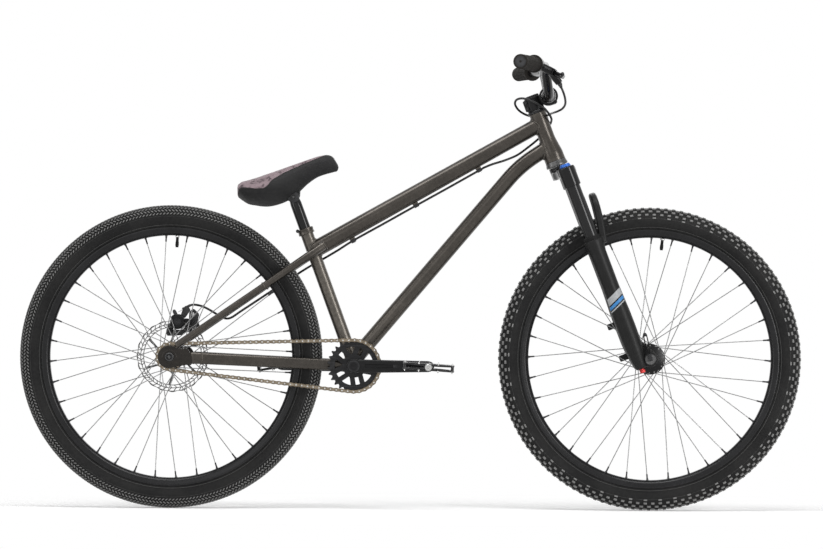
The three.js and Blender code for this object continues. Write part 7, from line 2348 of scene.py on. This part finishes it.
                    pins.append(Skin.lathe([(0, 0), (1.9, 0), (1.9, 1.0), (1.35, 1.1), (1.35, 4.2),
                                            (1.0, 4.6), (0, 4.6)], 12, spot))
            add_piece(f"pedal_pins_{word}", pins, Palette.STEEL, body)
            axle = [Skin.lathe([(0, 68.5), (5, 68.5), (5, 81.3), (7.4, 81.3), (7.4, 86), (5, 86.3),
                                (5, 178), (0, 178)], 32, facing_side(tip, side))]
            axle.append(bolt(shifted(facing_side(tip, side), 0, 0, 183.3), 7.4, 0.6, 2.6))
            add_piece(f"pedal_axle_{word}", axle, Palette.STEEL, body)

    def _dished(self, points: np.ndarray, place: np.ndarray) -> np.ndarray:
        """Returns a platform's points, thicker at the front and rear edges.

        Args:
            points: The platform's points.
            place: Matrix of the pedal.

        Returns:
            The points.
        """
        back = np.linalg.inv(place)
        local = points @ back[:3, :3].T + back[:3, 3]
        local[:, 2] *= 0.72 + 0.44 * np.clip(np.abs(local[:, 0]) / 56, 0, 1) ** 2
        return local @ place[:3, :3].T + place[:3, 3]

    def build(self) -> None:
        """Builds every piece of the drivetrain."""
        self.chain()
        self.sprockets()
        self.arms()
        self.pedals()
        log.info("drivetrain done")


# Rear brake


@dataclass
class Brake:
    """Rotor, caliper, bracket and arm of the rear brake."""

    rotor_r: float = 80
    rotor_y: float = 52.2
    hub_r: float = 22
    caliper: Point = (10.5, 75.9)
    size: float = 16.5
    bars: int = 40
    arms: int = 6
    half_thick: float = 0.9

    def _place(self) -> np.ndarray:
        """Returns the matrix of the caliper's centre, with local Z out to the left."""
        centre = LAYOUT.rear_axle + vec(self.caliper[0], 0, self.caliper[1])
        return facing_side(centre, 1)

    def _outline(self, shares: Sequence[Point], soft: float = 4) -> Flat:
        """Returns an outline in the caliper's axes from shares of its size, ahead and up."""
        return rounded([(-x * self.size, z * self.size) for x, z in shares], soft)

    def _strip(self, foot: Point, tip: Point, halves: Sequence[float]) -> Flat:
        """Returns the outline of a straight strip of the rotor.

        Args:
            foot: Radius and angle where it starts.
            tip: Radius and angle where it ends.
            halves: Its half widths, in even steps from foot to tip.

        Returns:
            The outline, anticlockwise.
        """
        start, end = (np.array([r * math.cos(a), r * math.sin(a)]) for r, a in (foot, tip))
        ahead = unit(end - start)
        left = np.array([-ahead[1], ahead[0]])
        spots = [(lerp(start, end, share), half)
                 for share, half in zip(np.linspace(0, 1, len(halves)), halves)]
        right = [tuple(p - left * half) for p, half in spots]
        return right + [tuple(p + left * half) for p, half in reversed(spots)]

    def rotor(self) -> None:
        """Builds the slotted rotor and its carrier."""
        place = facing_side(LAYOUT.rear_axle, 1)
        wave = [(r * math.cos(a), r * math.sin(a))
                for r, a in ((self.rotor_r - 1 + math.cos(a * 20), a)
                             for a in np.linspace(0, 2 * math.pi, 192, False))]
        low, high = self.rotor_y - self.half_thick, self.rotor_y + self.half_thick
        parts = [Skin.plate(wave, low, high, place, [circle(76.9, 96)], 0.2)]
        parts += [Skin.plate(circle(r, 96), low + 0.01, high - 0.01, place, [circle(r - 1.8, 96)], 0.2)
                  for r in (71.6, 65.2)]
        for i in range(self.bars):
            for near, far, lean in ((71.0, 77.3, 0.075), (64.8, 70.4, -0.075)):
                a = i * 2 * math.pi / self.bars + (0.04 if lean > 0 else 0.09)
                bar = self._strip((near, a), (far, a + lean), (0.85, 0.85))
                parts.append(Skin.plate(bar, low + 0.04, high - 0.04, place, bevel=0.2))
        for i in range(self.arms):
            a = i * 2 * math.pi / self.arms + 0.2
            arm = self._strip((20.5, a), (63.4, a + 0.42), (3.6, 1.9, 3.0))
            parts.append(Skin.plate(arm, low + 0.02, high - 0.02, place, bevel=0.2))
        parts.append(Skin.plate(circle(self.hub_r, 72),
                                low + 0.04, high - 0.04, place, [circle(17.6, 48)], 0.2))
        add_piece("rotor_disc", parts, Palette.ROTOR, Body.REAR_WHEEL, ["brake_rotor"])
        ring = Skin.lathe([(9.7, low - 0.1), (18.6, low - 0.1), (18.6, high + 1.0), (17.8, high + 1.8),
                           (9.7, high + 1.8)], 56, place, loop=True)
        add_piece("rotor_carrier", ring, Palette.ANODISED, Body.REAR_WHEEL)

    def body(self) -> None:
        """Builds the caliper with its ears and adjuster."""
        place = self._place()
        drum = Skin.lathe([(0, 54.6), (15.4, 54.6), (16.5, 55.6), (16.5, 62.6), (14.8, 64.6),
                           (12.6, 65.9), (0, 66)], 56, place)
        inner = Skin.lathe([(0, 39), (14.2, 39), (15.6, 40.4), (15.6, 49.8), (0, 49.8)], 56, place)
        bridge = Skin.plate(self._outline([(-.85, .1), (.75, .1), (.95, .75), (.3, 1.06),
                                           (-.5, 1.02), (-.95, .6)]), 40.5, 62.5, place, bevel=2)
        rear = Skin.plate(self._outline([(-.5, 0), (-1, 0), (-1.5, -1), (-1.2, -1.6),
                                         (-.6, -1.4)]), 54.2, 57.7, place, bevel=0.7)
        front = Skin.plate(self._outline([(.5, .4), (.5, -.6), (1.9, -.7), (2.1, 0), (1.4, .5)]),
                           54.2, 57.7, place, bevel=0.7)
        slot = Skin.plate(self._outline([(-2, -2), (2, -2), (2, .62), (-2, .62)], 1), 50.6, 53.8,
                          place, bevel=0.1)
        add_casting("caliper_casting", [drum, inner, bridge, rear, front],
                    Palette.EDGED, Body.FRAME, ["brake_caliper"], 0.7, 4, [slot], 40)
        inward = unit(vec(-7, 0, -4))
        end = np.array([-497.0, 63.0, 442.0])
        strut = Skin.plate(self._outline([(.35, .75), (.95, .45), (1.75, 1.6), (1.3, 2.2), (.75, 1.95)]),
                           57.9, 63.6, place, bevel=0.8)
        barrel = Skin.lathe([(0, 0), (4, 0), (4, 3), (3.4, 3.4), (3.4, 6.4), (4, 6.8),
                             (4, 10), (3.2, 10.6), (0, 10.6)], 28, aimed(end + inward * 0.3, inward))
        boot = Skin.tube([end - inward * 9, end - inward * 0.2], [(2.9, 2.9), (3.5, 3.5)], 24)
        add_piece("caliper_stop", [strut, barrel, boot], Palette.EDGED, Body.FRAME)
        wire = Skin.tube([end + inward * 10.4, end + inward * 22], 0.8, 12)
        add_piece("brake_wire_end", wire, Palette.STEEL, Body.FRAME)
        pads = [Skin.plate(self._outline([(-.8, -.55), (.8, -.55), (.8, .45), (-.8, .45)], 3), a, b,
                           place, bevel=0.2) for a, b in ((49.9, 51.0), (53.4, 54.5))]
        add_piece("caliper_pads", pads, Palette.PINS, Body.FRAME)
        dial = knurled(8.6, 38.2, 39.3, place, 16, 0.5)
        add_piece("caliper_dial", dial, Palette.ANODISED, Body.FRAME)

    def bracket(self) -> None:
        """Builds the bracket between caliper and frame tab, and the bolts."""
        place = self._place()
        outline = self._outline([(-1.6, -1.05), (-1.45, -1.9), (.6, -1.8), (2.1, -.65), (2.2, .2),
                                 (1.35, -.1), (.7, -1.06), (-.6, -1.06)])
        add_piece("caliper_adapter", Skin.plate(outline, 58, 64, place, bevel=0.9),
                  Palette.EDGED, Body.FRAME, ["caliper_bracket"])
        screws = [bolt(shifted(place, -x * self.size, z * self.size, 64), 3.6, 0.9)
                  for x, z in ((-1.25, -1.45), (1.75, -.35))]
        add_piece("caliper_screws", screws, Palette.STEEL, Body.FRAME)

    def arm(self) -> None:
        """Builds the arm that the cable pulls, with its anchor."""
        place = self._place()
        blade = Skin.plate(rounded([(-5.6, 4.6), (4.9, 6.0), (12.6, 23.2), (9.4, 28.0), (4.8, 25.6)],
                                   3), 66.4, 70.2, place, bevel=0.6)
        boss = Skin.lathe([(0, 66.3), (7.4, 66.3), (8, 66.9), (8, 69.7), (7.4, 70.3), (0, 70.3)], 40,
                          place)
        add_piece("caliper_lever", [blade, boss], Palette.BLACK_STEEL, Body.CALIPER_ARM, ["caliper_arm"])
        screws = [bolt(shifted(place, 0, 0, 69.8), 4.6, 0.5, 2.6),
                  bolt(shifted(place, 8.6, 24.2, 69.7), 3.2, 0.6, 1.6)]
        add_piece("caliper_lever_screws", screws, Palette.STEEL, Body.CALIPER_ARM)

    def build(self) -> None:
        """Builds every piece of the brake."""
        self.rotor()
        self.body()
        self.bracket()
        self.arm()
        log.info("brake done")


# Seat


@dataclass
class Seat:
    """Saddle with its seams, clamp and post."""

    length: float = 230
    height: float = 75
    width: float = 138
    rear: float = 115.3
    base: float = 5.7
    tilt: float = 18.2
    stations: Sequence[float] = (0, .02, .06, .13, .23, .34, .45, .56, .67, .78, .87, .94, .985, 1)
    top: Sequence[float] = (.66, .86, .96, .97, .965, .975, .98, .99, .995, 1, .99, .93, .78, .6)
    bottom: Sequence[float] = (.55, .46, .31, .18, .045, 0, .03, .15, .31, .41, .42, .41, .43, .5)
    half: Sequence[float] = (.2, .34, .44, .49, .5, .45, .36, .27, .21, .175, .155, .135, .09, .03)
    channel: Sequence[float] = (0, .02, .05, .08, .09, .09, .08, .07, .06, .045, .03, .01, 0, 0)

    @property
    def pivot(self) -> np.ndarray:
        """Returns the middle of the post's head."""
        return LAYOUT.on_seat_tube(LAYOUT.seat_length + LAYOUT.post_reach)

    def _place(self) -> np.ndarray:
        """Returns the matrix of the saddle, nose up."""
        return axes(self.pivot, *np.eye(3)) @ turn(-self.tilt, "Y")

    def _ring(self, share: float, sides: int) -> np.ndarray:
        """Returns one section of the padded shell at a share of its length.

        Args:
            share: Share of the length, from the rear.
            sides: Points of the section.

        Returns:
            The points, in the saddle's own axes.
        """
        top, low, half, dip = (eased(share, self.stations, table)
                               for table in (self.top, self.bottom, self.half, self.channel))
        x = share * self.length - self.rear
        top, low = top * self.height - self.base, low * self.height - self.base
        half, dip = half * self.width, dip * self.height
        skirt = min(half * 0.6, 16.5)
        shoulder = top - (top - low) * 0.34
        points = []
        for i in range(sides):
            a = 2 * math.pi * i / sides
            across = math.copysign(abs(math.cos(a)) ** 0.8, math.cos(a))
            if math.sin(a) >= 0:
                z = shoulder + (top - shoulder) * (1 - abs(across) ** 2.6) ** 0.7
                z -= dip * math.exp(-((across * 3.2) ** 2)) * (top - shoulder) / max(top - low, 1)
                y = across * half
            else:
                down = -math.sin(a)
                z = shoulder - (shoulder - low) * down**0.75
                y = math.copysign((half + (skirt - half) * down**1.3), across) * abs(across) ** 0.5
            points.append((x, y, z))
        return np.array(points)

    def saddle(self) -> None:
        """Builds the padded shell as top panel and sides, with a sewn edge between."""
        place = self._place()
        shares = np.unique(np.concatenate([np.linspace(0, 0.08, 9), np.linspace(0.08, 0.92, 46),
                                           np.linspace(0.92, 1, 10)]))
        skins = [Skin.loft([self._ring(s, 96) for s in shares])]
        local = skins[0].points.copy()
        shell = skins[0].placed(place)
        for i, (x, _, z) in enumerate(local):
            shell.grain[i] = (0, 0, (z - self._edge(x)) * 50)
        obj = shown("saddle_cover", shell.mesh("saddle_cover"))
        smoothed(obj, self._two_tone(), 50)
        signed(obj, Body.SADDLE, ["saddle"])
        self._seams(place)

    def _two_tone(self) -> bpy.types.Material:
        """Returns the cover's material: a clouded top panel sewn to plain sides.

        Returns:
            The material.
        """
        made = bpy.data.materials.new("saddle_panels")
        graph = Graph(made)
        sides, top = Palette.VINYL.shader(graph), Palette.TOP.shader(graph)
        graph.end(graph.node("ShaderNodeMixShader",
                             None, {0: graph.lift().ramp(-0.02, 0.02), 1: sides, 2: top}))
        return made

    def _edge(self, x: float) -> float:
        """Returns the height of the top panel's sewn edge at a local place along.

        Args:
            x: Place along the saddle.

        Returns:
            The height.
        """
        share = (x + self.rear) / self.length
        top = eased(share, self.stations, self.top) * self.height - self.base
        drop = float(np.interp(share, (0, .05, .12, .2, .27, .31, .36, .48, .62, .76, .86, .93, 1),
                               (10, 12, 19, 27, 30, 27, 19, 12.5, 9, 6.5, 4.5, 0, -6)))
        return top - drop

    def _seams(self, place: np.ndarray) -> None:
        """Builds the piping along the edge of the top panel.

        Args:
            place: Matrix of the saddle.
        """
        runs = []
        for side in (-1, 1):
            points = []
            for share in np.linspace(0.012, 0.985, 80):
                x, ring = share * self.length - self.rear, self._ring(share, 180)
                wall = ring[:46] if side > 0 else ring[45:91]
                low = ring[135:] if side > 0 else ring[90:136]
                wall = np.vstack([wall, low])
                points.append(min(wall, key=lambda p: abs(p[2] - self._edge(x))))
            smooth = np.array(points)
            for _ in range(3):
                smooth[1:-1] = (smooth[:-2] + smooth[1:-1] * 2 + smooth[2:]) / 4
            runs.append(Skin.tube(smooth, 0.8, 8, (0, 1, 0)).placed(place))
        piece = add_piece("saddle_piping", runs, Palette.THREAD, Body.SADDLE, sharp=70)

    def post(self) -> None:
        """Builds the post with its head, and the saddle's clamp and bolt."""
        foot = LAYOUT.on_seat_tube(LAYOUT.seat_length - 120)
        reach = float(np.linalg.norm(self.pivot - foot))
        place = aimed(foot, self.pivot - foot, (0, 1, 0))
        tube = Skin.lathe([(11.2, 0), (12.4, 0), (12.7, 0.4), (12.7, reach - 16), (12.2, reach - 12),
                           (11.4, reach - 6), (0, reach - 4)], 64, place)
        add_piece("seat_post", tube, Palette.GLOSS, Body.SEATPOST, ["seatpost"])
        across = aimed(self.pivot, (0, 1, 0))
        head = Skin.lathe(even([(4.8, 12), (12.4, 12), (13, 11.4)]), 56, across, loop=True)
        add_piece("seat_post_head", head, Palette.ANODISED, Body.SEATPOST)
        cheeks = [Skin.lathe([(4.6, a), (12.4, a), (13, a + s * 0.6), (13, b - s * 0.6), (12.2, b),
                              (4.6, b)], 48, across, loop=True)
                  for s, a, b in ((1, 12.3, 16.8), (-1, -12.3, -16.8))]
        lower = self._place() @ axes((0, 0, 0), (1, 0, 0), (0, 0, 1), (0, -1, 0))
        block = Skin.plate(rounded([(-15, -5), (13, -5), (21, 14), (-23, 14)], 4), -16.6, 16.6, lower,
                           bevel=2.0)
        room = Skin.rod(13.4, -12.3, 12.3, 48, across)
        under = Skin.rod(15.5, -40, 4, 48, aimed(self.pivot, LAYOUT.seat_up, (0, 1, 0)))
        add_casting("saddle_block", [block], Palette.EDGED, Body.SADDLE, (), 0.8, 2, [room, under], 40)
        bolts = [bolt(aimed(self.pivot + vec(0, s * 16.8, 0), (0, s, 0)), 6.4, 2.6, 3.0)
                 for s in (-1, 1)]
        add_piece("saddle_cheeks", cheeks, Palette.ANODISED, Body.SADDLE)
        add_piece("saddle_bolts", bolts, Palette.BLACK_STEEL, Body.SADDLE)

    def build(self) -> None:
        """Builds every piece of the seat."""
        self.saddle()
        self.post()
        log.info("seat done")


# Cable


@dataclass
class Cable:
    """The rear brake's cable, from the lever's loop to the caliper."""

    radius: float = 2.5
    frame_route: Sequence[Point] = (
        (156.4, 0, 750.9), (150.7, 0, 747.7), (80, 0, 707.5), (11.9, 0, 669.4), (-58, 0, 629.8),
        (-126.7, 0, 591.3), (-162, 9, 569), (-196, 20.5, 549), (-222, 22, 534.5), (-250, 28, 517),
        (-285, 37, 494.5), (-330, 45, 464.5), (-376, 50.5, 434), (-398, 57, 419.5), (-412, 66, 417.5),
        (-426.6, 70, 424), (-438, 68.5, 431), (-453, 66, 439.6), (-466, 64, 445), (-480, 63, 447.5),
        (-490, 63, 446), (-497, 63, 442))
    loop_route: Sequence[Point] = (
        (327.5, -182, 925.7), (333, -165, 914), (337, -142, 901.5), (337.5, -115, 890.5),
        (332, -83, 882), (322, -50, 877), (314, -20, 875), (308, 4, 873.5), (297, 24, 869),
        (278, 30, 867), (256, 24, 870), (238, 9, 879.5), (228.5, -8, 893), (232, -22, 903),
        (247, -30, 905.5), (268, -32, 898), (288, -31, 888), (301, -24, 875), (308, -10, 864),
        (308.7, 5, 857), (304, 18, 846), (294, 25, 832), (278, 27, 816), (256, 25, 798),
        (233, 20, 781.5), (205, 10, 769.5), (180, 3, 761.5), (162, 0, 754.1), (157, 0, 751.2))

    def build(self) -> None:
        """Builds both stretches of the cable's housing."""
        loop = np.array(self.loop_route)
        rest = np.array(self.frame_route)
        add_piece("brake_hose_frame", Skin.tube(rounded_path(rest, 6), self.radius, 20),
                  Palette.JACKET, Body.FRAME, ["brake_cable_frame"], 70)
        skin = Skin.tube(rounded_path(loop, 6), self.radius, 20)
        piece = shown("brake_hose_loop", skin.mesh("brake_hose_loop"))
        smoothed(piece, Palette.JACKET.material(), 70)
        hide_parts("brake_cable_loop")
        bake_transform(piece)
        counted(piece)
        log.info("cable done")


ASSEMBLIES: tuple[Callable[[], None], ...] = (
    Wheel("front", Body.FRONT_WHEEL, LAYOUT.front_axle, FRONT_HUB, Tread.SQUARE).build,
    Wheel("rear", Body.REAR_WHEEL, LAYOUT.rear_axle, REAR_HUB, Tread.ZIGZAG).build,
    BikeFrame().build,
    Fork().build,
    Cockpit().build,
    Drivetrain().build,
    Brake().build,
    Seat().build,
    Cable().build,
)


def main() -> None:
    """Builds the bike round its frame."""
    logging.basicConfig(level=logging.INFO, format="%(message)s")
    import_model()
    studio = Studio()
    studio.camera()
    studio.light()
    studio.floor()
    for make in ASSEMBLIES:
        make()


if __name__ == "__main__":
    main()
